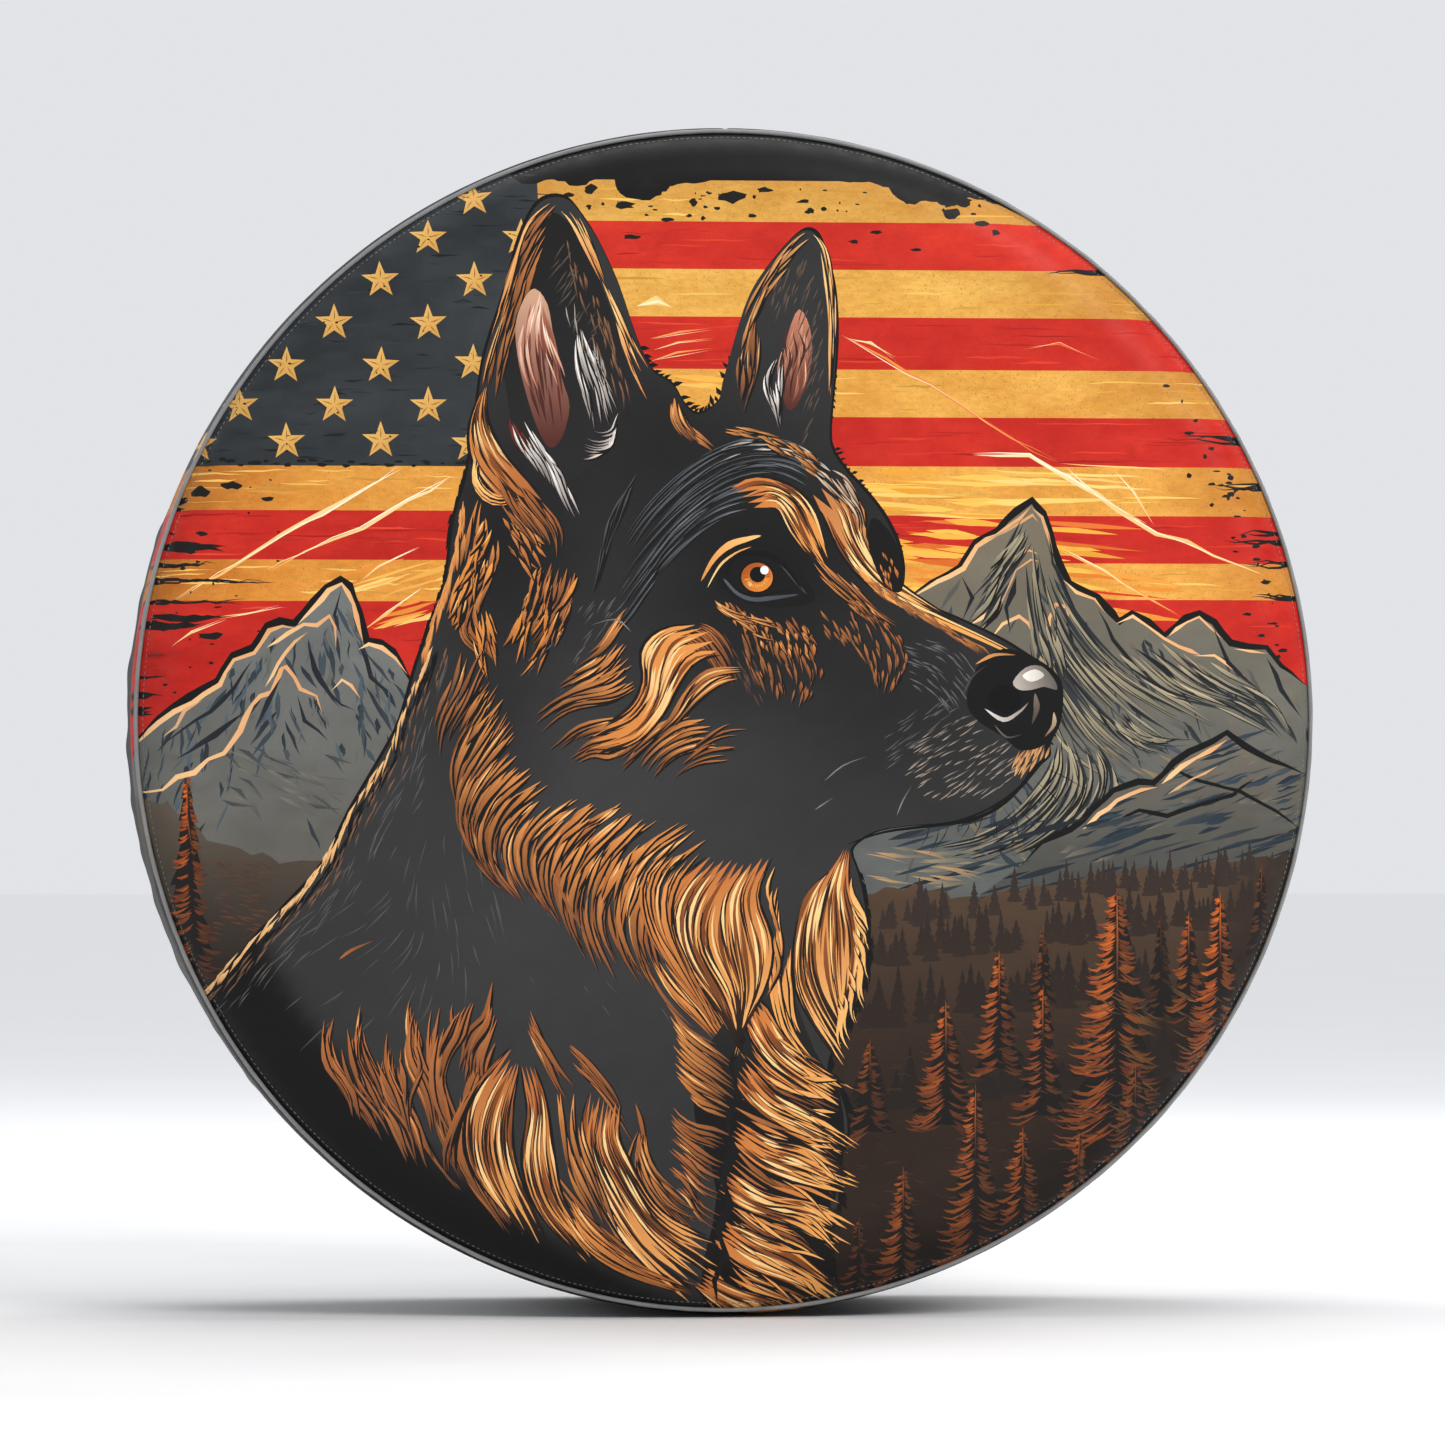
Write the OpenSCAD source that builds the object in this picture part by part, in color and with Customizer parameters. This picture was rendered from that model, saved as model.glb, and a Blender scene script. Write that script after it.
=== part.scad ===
// Soft spare tyre cover: printed leatherette face with a rounded shoulder, a
// piped seam, a two-piece side band that turns in behind the tyre, an elastic
// cord in the hem, and a sprung cord lock on the cord's loose ends.
// Millimetres. +Z up, the printed face looks along -Y, the mouth opens along +Y.
// The origin is on the cover's axis, in the mid-plane of the tyre it holds.
// Name endings: _d diameter, _r radius, _t thickness, _w width, _h height or depth,
// _a angle, _y place rearward (+Y), _f place forward (-Y).

/* [Tyre seat] */
// Inside diameter of the side band, which the tyre fills
seat_d = 882; // [860:1:900]
// Distance from the tyre's mid-plane to the front of the face
front_f = 162; // [150:1:170]
// Distance from the tyre's mid-plane to the inside of the turned-in back
rear_y = 140; // [125:1:145]
// Thickness of the coated cloth
cloth_t = 1.2; // [0.8:0.1:1.4]

/* [Face and seam] */
// Radius of the rounded shoulder between face and side band
shoulder_r = 42; // [36:1:50]
// Where the piped seam sits along the shoulder, from the flat face, in degrees
seam_a = 60; // [50:1:70]
// Thickness of the soft lining behind the face
lining_t = 0.8; // [0.5:0.1:1.2]
// Radius of the piping bead
bead_r = 1.6; // [1.4:0.1:2.2]
// Width of the turned-in seam allowance
allowance_w = 11; // [10:0.5:14]

/* [Hem] */
// Radius of the fold where the side band turns in behind the tyre
fold_r = 26; // [20:1:32]
// Inside radius of the gathered mouth, at rest
mouth_r = 364; // [350:1:374]
// Radial width of the casing that holds the elastic
casing_w = 20; // [20:1:24]
// Depth of the casing, front to back
casing_h = 9.6; // [9.6:0.1:11]
// Radius of the elastic cord
elastic_r = 2.5; // [2:0.1:2.5]

/* [Cord lock] */
// Length of the loose cord below its pivot
tail_len = 92; // [85:1:105]
// Distance of the lock below the cord's pivot, at rest
lock_drop = 44; // [40:1:48]
// Outside radius of the lock's barrel
lock_r = 9.5; // [9.2:0.1:11]
// Radius of the lock's sliding plunger
plunger_r = 7.44; // [7.4:0.01:7.48]

/* [Eyelets] */
// Bore radius of the drain eyelets
drain_r = 5; // [4:0.5:6]
// Angle of each drain eyelet from the lowest point
drain_a = 7; // [6:1:12]

/* [Hidden] */
$fn = 96;

gap = 0.06;                                     // between touching layers
thread_r = 0.35;
thread_lift = 0.4;                              // thread's centre above the cloth

seat_r = seat_d / 2;
outer_r = seat_r + cloth_t;
back_f = -rear_y - cloth_t;                     // outside of the turned-in back
// Centres of the shoulder's and the rear fold's arcs, as (radius, forward)
shoulder_mid = [outer_r - shoulder_r, front_f - shoulder_r];
fold_mid = [outer_r - fold_r, back_f + fold_r];
shoulder_in_r = shoulder_r - cloth_t;

// Seam, in its own frame: x along the shoulder, y outward from shoulder_mid
welt_w = 0.6;                                   // room for the piping's flange
allowance_edge = shoulder_r - allowance_w;      // inner edge of the allowance
bead_mid = [welt_w / 2, shoulder_r + bead_r + 0.15];

// Joints between the band's halves, at the top and the bottom
joint_angles = [90, 270];
joint_slit_a = 0.03;                            // each half stops this far short
joint_front_y = -shoulder_mid[1] + 2;
joint_rear_y = -fold_mid[1] - 1;

// Eyelets
eyelet_wall = 0.5;
eyelet_fit = 0.6;                               // hole radius beyond the bore
drain_y = 60;
drain_angles = [270 - drain_a, 270 + drain_a];
drain_flange_r = drain_r + 4;
exit_r = 6.5;                                   // bore of the cord's exit

// Hem casing, and the folded tape whose lips grip the band's edge
casing_out_r = mouth_r + casing_w;
casing_f = back_f + cloth_t + 0.6;              // front of the casing
exit_y = -casing_f + casing_h;                  // rear face of the casing
tape_t = 0.5;
tape_w = 11;
tape_back_f = back_f - gap - tape_t;

// Elastic cord: its ring, and the two strands that leave through the exit
ring_r = mouth_r + casing_w / 2;
ring_f = casing_f - casing_h / 2;
strand_x = elastic_r + 0.25;                    // half the spacing of the strands
strand_a = asin(strand_x / ring_r);
pivot_y = exit_y + 15.6;                        // where the loose cord hangs from
pivot_z = ring_r;
tail_end_z = pivot_z - tail_len;

// Cord lock, with y measured from the strands
barrel_rear_y = 8;
barrel_len = 22;
chamber_r = 7.5;
chamber_front_y = -12.5;
plunger_rear_y = 15.5;
plunger_len = 20.1;
head_r = lock_r - 0.6;
head_len = 3;
slot_w = 11.4;

function to_degrees(radians) = radians * 180 / PI;

// A profile point near the seam: along the shoulder, and out from its centre.
function seam_point(along, out) = shoulder_mid + out * [sin(seam_a), cos(seam_a)]
  + along * [cos(seam_a), -sin(seam_a)];

// Profile points on an arc, where angle 0 looks forward and 90 looks outward.
function arc(center, r, from_a, to_a, steps) =
  [for (i = [0:steps]) let (a = from_a + (to_a - from_a) * i / steps)
    center + r * [sin(a), cos(a)]];

// Turns a profile (radius, forward) about the cover's axis; 0 is +X, 90 is up.
module spin(from_a = 0, to_a = 360) {
  rotate([90, 0, 0]) rotate([0, 0, from_a])
    rotate_extrude(angle = to_a - from_a) children();
}

// Puts a shape modelled along +Z at an angle and depth, pointing outward.
module radial(angle, y, distance) {
  rotate([0, -angle, 0]) translate([distance, y, 0]) rotate([0, 90, 0]) children();
}

// Puts a profile drawn in the seam's frame in its place.
module seam_frame() {
  translate(shoulder_mid) rotate(-seam_a) children();
}

module face_panel() {
  color([0.13, 0.13, 0.14]) spin() polygon(concat(
    [[0, front_f]],
    arc(shoulder_mid, shoulder_r, 0, seam_a, 10),
    [seam_point(0, allowance_edge), seam_point(-cloth_t, allowance_edge)],
    arc(shoulder_mid, shoulder_in_r, seam_a - to_degrees(cloth_t / shoulder_in_r), 0, 10),
    [[0, front_f - cloth_t]]));
}

module face_lining() {
  front_r = shoulder_in_r - gap;
  back_r = front_r - lining_t;
  edge_a = seam_a - 6;
  color([0.32, 0.32, 0.33]) spin() polygon(concat(
    [[0, shoulder_mid[1] + front_r]],
    arc(shoulder_mid, front_r, 0, edge_a, 8),
    arc(shoulder_mid, back_r, edge_a, 0, 8),
    [[0, shoulder_mid[1] + back_r]]));
}

// Outside from the seam to the hem, then back along the inside.
module band_profile() {
  inner_x = welt_w + cloth_t;
  hem_r = casing_out_r + 0.6;
  polygon(concat(
    [seam_point(welt_w, allowance_edge)],
    arc(shoulder_mid, shoulder_r, seam_a + to_degrees(welt_w / shoulder_r), 90, 5),
    arc(fold_mid, fold_r, 90, 180, 8),
    [[hem_r, back_f], [hem_r, back_f + cloth_t]],
    arc(fold_mid, fold_r - cloth_t, 180, 90, 8),
    arc(shoulder_mid, shoulder_in_r, 90, seam_a + asin(inner_x / shoulder_in_r), 5),
    [seam_point(inner_x, allowance_edge)]));
}

module band(from_a, to_a, hole_a) {
  color([0.11, 0.11, 0.12]) difference() {
    spin(from_a + joint_slit_a, to_a - joint_slit_a) band_profile();
    radial(hole_a, drain_y, seat_r - 6) cylinder(r = drain_r + eyelet_fit, h = 12);
  }
}

// Left and right as seen from the front.
module band_left() {
  band(90, 270, 270 - drain_a);
}

module band_right() {
  band(-90, 90, -90 + drain_a);
}

module band_joint_tapes() {
  half_a = 1.6;
  for (a = joint_angles) color([0.16, 0.16, 0.17])
    spin(a - half_a, a + half_a) translate([seat_r - 0.9, -joint_rear_y])
      square([0.8, joint_rear_y - joint_front_y]);
}

// A row of thread on each side of each joint.
module band_joint_stitching() {
  for (a = joint_angles, side = [-1, 1]) color([0.5, 0.5, 0.5])
    rotate([0, -(a + side * 0.6), 0])
      translate([outer_r + thread_lift, joint_rear_y, 0]) rotate([90, 0, 0])
        cylinder(r = thread_r, h = joint_rear_y - joint_front_y);
}

// Hollow bead with a flange that runs in between the seam's two cloths.
module piping_cover() {
  color([0.42, 0.42, 0.43]) spin() seam_frame() difference() {
    union() {
      translate(bead_mid) circle(r = bead_r);
      translate([0.05, allowance_edge + 2]) square([welt_w - 0.1, allowance_w - 1.5]);
    }
    translate(bead_mid) circle(r = bead_r - 0.55);
  }
}

module piping_cord() {
  color([0.85, 0.84, 0.8]) spin() seam_frame()
    translate(bead_mid) circle(r = bead_r - 0.6);
}

// Channel over the raw edges of the seam allowance.
module seam_binding() {
  binding_t = 0.5;
  start_x = -cloth_t - gap;
  inside_w = welt_w + cloth_t + gap - start_x;
  floor_y = allowance_edge - 0.1;
  color([0.2, 0.2, 0.21]) spin() seam_frame() difference() {
    translate([start_x - binding_t, floor_y - binding_t])
      square([inside_w + 2 * binding_t, 5.6]);
    translate([start_x, floor_y]) square([inside_w, 6]);
  }
}

module face_topstitching() {
  from_seam = 6;
  color([0.45, 0.45, 0.45]) spin() seam_frame()
    translate([-from_seam, sqrt(pow(shoulder_r + thread_lift, 2) - pow(from_seam, 2))])
      circle(r = thread_r);
}

// Inside the band, low on the left.
module care_label() {
  color([0.86, 0.86, 0.84]) spin(251, 257)
    translate([seat_r - 0.7, -40]) square([0.4, 32]);
}

// Upper part of an eyelet's profile: a bevelled flange, then in to the bore.
function eyelet_flange(bore, flange_r, top, bevel_h) = [
  [bore + eyelet_wall, top - 0.9], [flange_r, top - 0.9], [flange_r, top - bevel_h],
  [flange_r - 0.7, top], [bore, top]];

module washer(bore, r, h) {
  difference() {
    cylinder(r = r, h = h);
    translate([0, 0, -1]) cylinder(r = bore + eyelet_fit, h = 3);
  }
}

// Barrel with a flange outside the band and a lip rolled over inside it.
module drain_eyelets() {
  inner_end = seat_r - 1.5;
  lip_r = drain_r + 2;
  lip_t = 0.45;
  for (a = drain_angles) color([0.75, 0.75, 0.77])
    radial(a, drain_y, 0) rotate_extrude() polygon(concat(
      [[drain_r, inner_end], [lip_r, inner_end], [lip_r, inner_end + lip_t],
        [drain_r + eyelet_wall, inner_end + lip_t]],
      eyelet_flange(drain_r, drain_flange_r, outer_r + 1.2, 0.35)));
}

module drain_washers() {
  for (a = drain_angles) color([0.7, 0.7, 0.72])
    radial(a, drain_y, seat_r - 0.95) washer(drain_r, drain_flange_r, 0.7);
}

// A folded tape: a hollow tube for the cord, and two lips that grip the band's edge.
module hem_casing() {
  color([0.1, 0.1, 0.11]) difference() {
    spin() difference() {
      union() {
        translate([mouth_r, casing_f - casing_h]) square([casing_w, casing_h]);
        translate([casing_out_r - 1, tape_back_f])
          square([tape_w, cloth_t + 2 * gap + 2 * tape_t]);
      }
      translate([mouth_r + cloth_t, casing_f - casing_h + cloth_t])
        square([casing_w - 2 * cloth_t, casing_h - 2 * cloth_t]);
      translate([casing_out_r + 0.4, back_f - gap]) square([tape_w, cloth_t + 2 * gap]);
    }
    translate([0, exit_y + 1, ring_r]) rotate([90, 0, 0])
      cylinder(r = exit_r + eyelet_fit, h = cloth_t + 2);
  }
}

module hem_stitching() {
  color([0.5, 0.5, 0.5]) spin()
    translate([casing_out_r + 5, tape_back_f - thread_lift]) circle(r = thread_r);
}

// One cord: a ring in the casing and both ends turned out through the exit.
module elastic_cord() {
  strand_z = sqrt(ring_r * ring_r - strand_x * strand_x);
  color([0.08, 0.08, 0.08]) union() {
    spin(90 + strand_a, 450 - strand_a) translate([ring_r, ring_f]) circle(r = elastic_r);
    for (side = [-1, 1]) translate([side * strand_x, -ring_f, strand_z])
      rotate([-90, 0, 0])
        cylinder(r = elastic_r - 0.2, h = pivot_y - elastic_r - 0.25 + ring_f);
  }
}

module cord_exit_eyelet() {
  front_y = exit_y - cloth_t - 0.7;
  color([0.75, 0.75, 0.77]) translate([0, 0, ring_r]) rotate([-90, 0, 0])
    rotate_extrude() polygon(concat(
      [[exit_r, front_y], [exit_r + eyelet_wall, front_y]],
      eyelet_flange(exit_r, exit_r + 3, exit_y + 1, 0.4)));
}

module cord_exit_washer() {
  color([0.7, 0.7, 0.72]) translate([0, exit_y - cloth_t - 0.1, ring_r])
    rotate([90, 0, 0]) washer(exit_r, exit_r + 2, 0.5);
}

// Two hanging strands with rounded tops.
module cord_tails() {
  for (side = [-1, 1]) color([0.09, 0.09, 0.09])
    translate([side * strand_x, pivot_y, pivot_z]) rotate([180, 0, 0]) rotate_extrude()
      polygon(concat([[0, tail_len], [elastic_r, tail_len]],
        [for (i = [0:7]) let (a = i * 90 / 8) elastic_r * [cos(a), -sin(a)]],
        [[0, -elastic_r]]));
}

// Flat-sided block with a blind hole for the end of each tail.
module cord_end_stop() {
  end_r = 4.8;
  end_x = 3.2;
  color([0.05, 0.05, 0.05]) difference() {
    translate([0, pivot_y, tail_end_z - 9]) linear_extrude(height = 17) union() {
      for (side = [-1, 1]) translate([side * end_x, 0]) circle(r = end_r);
      square([2 * end_x, 2 * end_r], center = true);
    }
    for (side = [-1, 1]) translate([side * strand_x, pivot_y, tail_end_z - 0.1])
      cylinder(r = elastic_r + gap, h = 20);
  }
}

// The lock's parts lie along Y, and both strands pass down through them at y 0.
module at_lock() {
  translate([0, pivot_y, pivot_z - lock_drop]) children();
}

module cord_slot(front_y, length_y) {
  translate([-slot_w / 2, front_y, -20]) cube([slot_w, length_y, 40]);
}

// Closed at the front, with its chamber open to the rear.
module lock_barrel() {
  chamber_open_y = barrel_rear_y + 1;
  color([0.05, 0.05, 0.055]) at_lock() difference() {
    translate([0, barrel_rear_y, 0]) rotate([90, 0, 0]) rotate_extrude()
      polygon([[0, 0], [lock_r - 0.6, 0], [lock_r, 0.6], [lock_r, barrel_len - 1.5],
        [lock_r - 1.5, barrel_len], [0, barrel_len]]);
    translate([0, chamber_open_y, 0]) rotate([90, 0, 0])
      cylinder(r = chamber_r, h = chamber_open_y - chamber_front_y);
    cord_slot(-2.7, 5.4);
  }
}

module lock_plunger() {
  color([0.12, 0.12, 0.13]) at_lock() difference() {
    translate([0, plunger_rear_y, 0]) rotate([90, 0, 0]) rotate_extrude()
      polygon([[0, 0], [lock_r - 2, 0], [head_r, 1], [head_r, head_len],
        [plunger_r, head_len], [plunger_r, plunger_len], [0, plunger_len]]);
    cord_slot(-2.6, 9.2);
  }
}

// Coil between the chamber's front wall and the plunger.
module lock_spring() {
  coils = 4;
  turn_rings = 18;        // rings in each turn
  sides = 8;              // points in each ring
  wire_r = 0.4;
  coil_r = 4.6;
  inset = wire_r + 0.05;
  front_y = chamber_front_y + inset;
  back_y = plunger_rear_y - plunger_len - inset;
  rings = coils * turn_rings;
  wire_points = [for (i = [0:rings], j = [0:sides - 1])
    let (turn_a = i * 360 / turn_rings, wire_a = j * 360 / sides,
      r = coil_r + wire_r * cos(wire_a),
      y = front_y + (back_y - front_y) * i / rings + wire_r * sin(wire_a))
    [r * cos(turn_a), y, r * sin(turn_a)]];
  side_faces = [for (i = [0:rings - 1], j = [0:sides - 1]) let (k = (j + 1) % sides)
    [i * sides + j, i * sides + k, (i + 1) * sides + k, (i + 1) * sides + j]];
  end_faces = [[for (j = [sides - 1:-1:0]) j], [for (j = [0:sides - 1]) rings * sides + j]];
  color([0.7, 0.7, 0.72]) at_lock()
    polyhedron(points = wire_points, faces = concat(side_faces, end_faces));
}

face_panel();
face_lining();
band_left();
band_right();
band_joint_tapes();
band_joint_stitching();
piping_cover();
piping_cord();
seam_binding();
face_topstitching();
care_label();
drain_eyelets();
drain_washers();
hem_casing();
hem_stitching();
elastic_cord();
cord_exit_eyelet();
cord_exit_washer();
cord_tails();
cord_end_stop();
lock_barrel();
lock_plunger();
lock_spring();
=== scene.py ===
"""A soft cover for a spare wheel, its face printed with a dog before a striped flag and mountains.

The cover stands upright about the Y axis: the printed face looks towards -Y, the open back
towards +Y, +Z is up and +X is to the right as seen from the front. Sizes are in metres.
"""

import math
import random
from collections import namedtuple

import bmesh
import bpy
import numpy as np
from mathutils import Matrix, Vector
from mathutils.geometry import delaunay_2d_cdt


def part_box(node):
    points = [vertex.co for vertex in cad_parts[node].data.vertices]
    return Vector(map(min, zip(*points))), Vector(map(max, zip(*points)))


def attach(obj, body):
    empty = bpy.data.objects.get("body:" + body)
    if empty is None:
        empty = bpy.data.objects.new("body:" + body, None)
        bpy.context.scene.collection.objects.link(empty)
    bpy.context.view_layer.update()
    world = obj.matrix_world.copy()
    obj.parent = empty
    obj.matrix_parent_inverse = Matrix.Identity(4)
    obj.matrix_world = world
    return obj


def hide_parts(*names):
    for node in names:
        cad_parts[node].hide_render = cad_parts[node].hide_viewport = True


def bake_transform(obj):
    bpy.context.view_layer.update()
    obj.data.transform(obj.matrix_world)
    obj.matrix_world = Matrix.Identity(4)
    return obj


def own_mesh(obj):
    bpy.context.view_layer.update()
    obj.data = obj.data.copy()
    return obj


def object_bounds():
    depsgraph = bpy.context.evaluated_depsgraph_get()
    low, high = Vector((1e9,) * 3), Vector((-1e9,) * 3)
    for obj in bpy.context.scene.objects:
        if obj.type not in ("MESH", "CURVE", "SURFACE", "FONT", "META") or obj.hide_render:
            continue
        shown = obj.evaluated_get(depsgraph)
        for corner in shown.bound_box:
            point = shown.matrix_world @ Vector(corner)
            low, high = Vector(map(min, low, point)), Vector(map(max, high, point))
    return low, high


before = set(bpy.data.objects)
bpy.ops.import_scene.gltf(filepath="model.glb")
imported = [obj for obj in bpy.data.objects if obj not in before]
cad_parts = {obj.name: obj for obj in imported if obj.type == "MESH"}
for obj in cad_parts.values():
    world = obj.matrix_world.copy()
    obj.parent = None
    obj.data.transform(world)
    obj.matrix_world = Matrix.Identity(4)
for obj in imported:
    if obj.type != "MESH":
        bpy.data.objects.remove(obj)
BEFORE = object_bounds()
scene = bpy.context.scene

# --- driving sizes, from the frame's own boxes


def middle(node, axis):
    low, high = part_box(node)
    return (float(low[axis]) + float(high[axis])) / 2


DEG = math.pi / 180
TURN = 2 * math.pi
TOP, BOTTOM = math.pi / 2, -math.pi / 2              # angles of the band's two joints
MM = 0.001
OUTER_R = float(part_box("band_right")[1][0])
FRONT = -float(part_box("face_panel")[0][1])           # distance of the face in front of the origin
BACK = float(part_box("band_right")[1][1])             # outside of the turned-in back
CLOTH = 0.0012
SHOULDER = 0.042                                     # bend between face and band
FLAT_R, SHOULDER_Y = OUTER_R - SHOULDER, -(FRONT - SHOULDER)
SEAM_ANGLE = 60 * DEG                                # the seam's place round the shoulder
SEAM_R = FLAT_R + SHOULDER * math.sin(SEAM_ANGLE)
FOLD = 0.026                                         # bend between band and turned-in back
FOLD_R, FOLD_Y = OUTER_R - FOLD, BACK - FOLD
MOUTH_R = 0.364
CASING_W = 0.020
CASING_R = MOUTH_R + CASING_W
CASING_Y0 = BACK - CLOTH - 0.0006
CASING_Y1 = float(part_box("hem_casing")[1][1])
CASING_MID = (CASING_Y0 + CASING_Y1) / 2
RING_R = MOUTH_R + CASING_W / 2                      # the elastic inside the casing
TAIL_Y = middle("cord_tails", 1)
TAIL_END = float(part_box("cord_tails")[0][2])
STRAND_X = 0.00275
CORD_R = 0.0025
LOCK_Z = middle("lock_barrel", 2)
DRAIN_ANGLE, DRAIN_Y = 7 * DEG, 0.060                # drain eyelets, either side of the bottom
TAPE_HALF = 1.6 * DEG
JOINT_STITCH = 0.6 * DEG

# --- noise on arrays


def lattice(ix, iy, iz, seed):
    h = (ix * 374761393 + iy * 668265263 + iz * 2147483647 + seed * 1274126177) & 0xFFFFFFFF
    h = ((h ^ (h >> 13)) * 1274126177) & 0xFFFFFFFF
    h = ((h ^ (h >> 16)) * 2246822519) & 0xFFFFFFFF
    return ((h ^ (h >> 15)) & 0xFFFF) / 65535.0


def noise(x, y, z=0.0, seed=0):
    """Smooth value noise from -1 to 1."""
    place = np.broadcast_arrays(*(np.asarray(v, float) for v in (x, y, z)))
    cell = [np.floor(v).astype(np.int64) for v in place]
    ease = [f * f * f * (f * (f * 6 - 15) + 10) for f in (v - i for v, i in zip(place, cell))]
    total = 0.0
    for a in (0, 1):
        for b in (0, 1):
            for c in (0, 1):
                weight = ((ease[0] if a else 1 - ease[0]) * (ease[1] if b else 1 - ease[1])
                          * (ease[2] if c else 1 - ease[2]))
                total = total + weight * lattice(cell[0] + a, cell[1] + b, cell[2] + c, seed)
    return total * 2 - 1


def fbm(x, y, z=0.0, octaves=3, seed=0):
    total, amp, amps = 0.0, 1.0, 0.0
    for o in range(octaves):
        k = 2 ** o
        total = total + amp * noise(np.asarray(x) * k, np.asarray(y) * k, np.asarray(z) * k,
                                    seed + 7 * o)
        amps += amp
        amp *= 0.5
    return total / amps


def step(x, a, b):
    t = np.clip((np.asarray(x, float) - a) / (b - a), 0, 1)
    return t * t * (3 - 2 * t)


# --- meshes


def settle(ob, node=None, slot=None, body="cover"):
    if body:
        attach(ob, body)
    if node:
        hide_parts(node)


def make(name, verts, faces, mats, node=None, slot=None, body="cover", mat_ids=None):
    """A mesh piece. faces is a list of arrays, one row of vertex numbers for each face."""
    me = bpy.data.meshes.new(name)
    verts = np.asarray(verts, np.float64).reshape(-1, 3)
    me.vertices.add(len(verts))
    me.vertices.foreach_set("co", verts.astype(np.float32).ravel())
    loops, starts, totals, at = [], [], [], 0
    for f in faces:
        f = np.asarray(f, np.int32)
        size = f.shape[1]
        loops.append(f.ravel())
        starts.append(at + np.arange(len(f)) * size)
        totals.append(np.full(len(f), size))
        at += f.size
    loops, starts, totals = (np.concatenate(v) for v in (loops, starts, totals))
    me.loops.add(len(loops))
    me.loops.foreach_set("vertex_index", loops.astype(np.int32))
    me.polygons.add(len(starts))
    me.polygons.foreach_set("loop_start", starts.astype(np.int32))
    me.polygons.foreach_set("loop_total", totals.astype(np.int32))
    for m in mats:
        me.materials.append(m)
    if mat_ids is not None:
        me.polygons.foreach_set("material_index", np.asarray(mat_ids, np.int32))
    me.update(calc_edges=True)
    me.validate(clean_customdata=False)
    me.polygons.foreach_set("use_smooth", np.full(len(me.polygons), True))
    ob = bpy.data.objects.new(name, me)
    scene.collection.objects.link(ob)
    settle(ob, node, slot, body)
    return ob


def quads(nu, nv, close_u=False, close_v=False, base=0, flip=False):
    """Quads over an nu by nv grid of points, stored row by row."""
    rows = np.arange(nu if close_u else nu - 1)
    cols = np.arange(nv if close_v else nv - 1)
    U, V = np.meshgrid(rows, cols, indexing="ij")
    after_u, after_v = (U + 1) % nu, (V + 1) % nv
    q = np.stack([U * nv + V, after_u * nv + V, after_u * nv + after_v, U * nv + after_v], -1)
    q = q.reshape(-1, 4) + base
    return q[:, ::-1] if flip else q


def cap(n, base=0, flip=False):
    """One face over a ring of n points."""
    ring = np.arange(n)
    return ((ring[::-1] if flip else ring) + base)[None, :]


def polar(r, y, th):
    """Radius, depth and angle (counter-clockwise from +X, seen from the front) to points."""
    r, y, th = np.broadcast_arrays(r, y, th)
    return np.stack([r * np.cos(th), y, r * np.sin(th)], -1)


def revolve(profile, n, shift):
    """A closed (r, y) profile turned about the cover's axis; shift gives moves in r and y."""
    prof = np.asarray(profile, float)
    R, T = np.meshgrid(prof[:, 0], np.linspace(0, TURN, n, endpoint=False), indexing="ij")
    Y = np.repeat(prof[:, 1][:, None], n, 1)
    dr, dy = shift(R, Y, T)
    return polar(R + dr, Y + dy, T), quads(len(prof), n, True, True)


def unit(v):
    return v / np.linalg.norm(v, axis=-1, keepdims=True)


def tube(path, radius, sides, bump=None):
    """A capped tube swept along points; bump(i, angle) adds to its radius."""
    P = np.asarray(path, float)
    n = len(P)
    T = unit(np.gradient(P, axis=0))
    up = np.array([0.0, 1.0, 0.0]) if abs(T[0][1]) < 0.9 else np.array([1.0, 0.0, 0.0])
    N = np.zeros_like(P)
    N[0] = unit(up - T[0] * up.dot(T[0]))
    for i in range(1, n):
        N[i] = unit(N[i - 1] - T[i] * N[i - 1].dot(T[i]))
    B = np.cross(T, N)
    a = np.arange(sides) * 2 * math.pi / sides
    rad = radius * np.ones((n, sides))
    if bump is not None:
        rad = rad + bump(np.arange(n)[:, None], a[None, :])
    V = P[:, None, :] + rad[..., None] * (np.cos(a)[None, :, None] * N[:, None, :]
                                          + np.sin(a)[None, :, None] * B[:, None, :])
    return V.reshape(-1, 3), [quads(n, sides, False, True, flip=True), cap(sides),
                              cap(sides, (n - 1) * sides, True)]


def joined(parts):
    """Several (verts, [faces]) as one."""
    V, F, at = [], [], 0
    for v, faces in parts:
        v = np.asarray(v).reshape(-1, 3)
        V.append(v)
        F += [np.asarray(f) + at for f in faces]
        at += len(v)
    return np.concatenate(V), F


def stitch_run(pos, tan, nor, length, radius):
    """Separate stitches: short threads whose ends dip into the cloth."""
    sides, rings, lift, sink = 6, 6, 0.35, 0.0003
    side = np.cross(tan, nor)
    u = np.linspace(-1, 1, rings)
    height = -sink + (sink + radius * lift) * (1 - u ** 4)
    centre = (pos[:, None, :] + tan[:, None, :] * (u * length / 2)[None, :, None]
              + nor[:, None, :] * height[None, :, None])
    rad = radius * np.sqrt(np.clip(1 - (np.abs(u) ** 6) * 0.85, 0.05, 1))
    a = np.arange(sides) * 2 * math.pi / sides
    ring = (np.cos(a)[None, None, :, None] * side[:, None, None, :]
            + 0.85 * np.sin(a)[None, None, :, None] * nor[:, None, None, :])
    V = centre[:, :, None, :] + rad[None, :, None, None] * ring
    first = np.arange(len(pos)) * rings * sides
    Q = (quads(rings, sides, False, True)[None] + first[:, None, None]).reshape(-1, 4)
    C = np.concatenate([cap(sides, flip=True) + first[:, None],
                        cap(sides, (rings - 1) * sides) + first[:, None]])
    return V.reshape(-1, 3), [Q, C]


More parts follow.
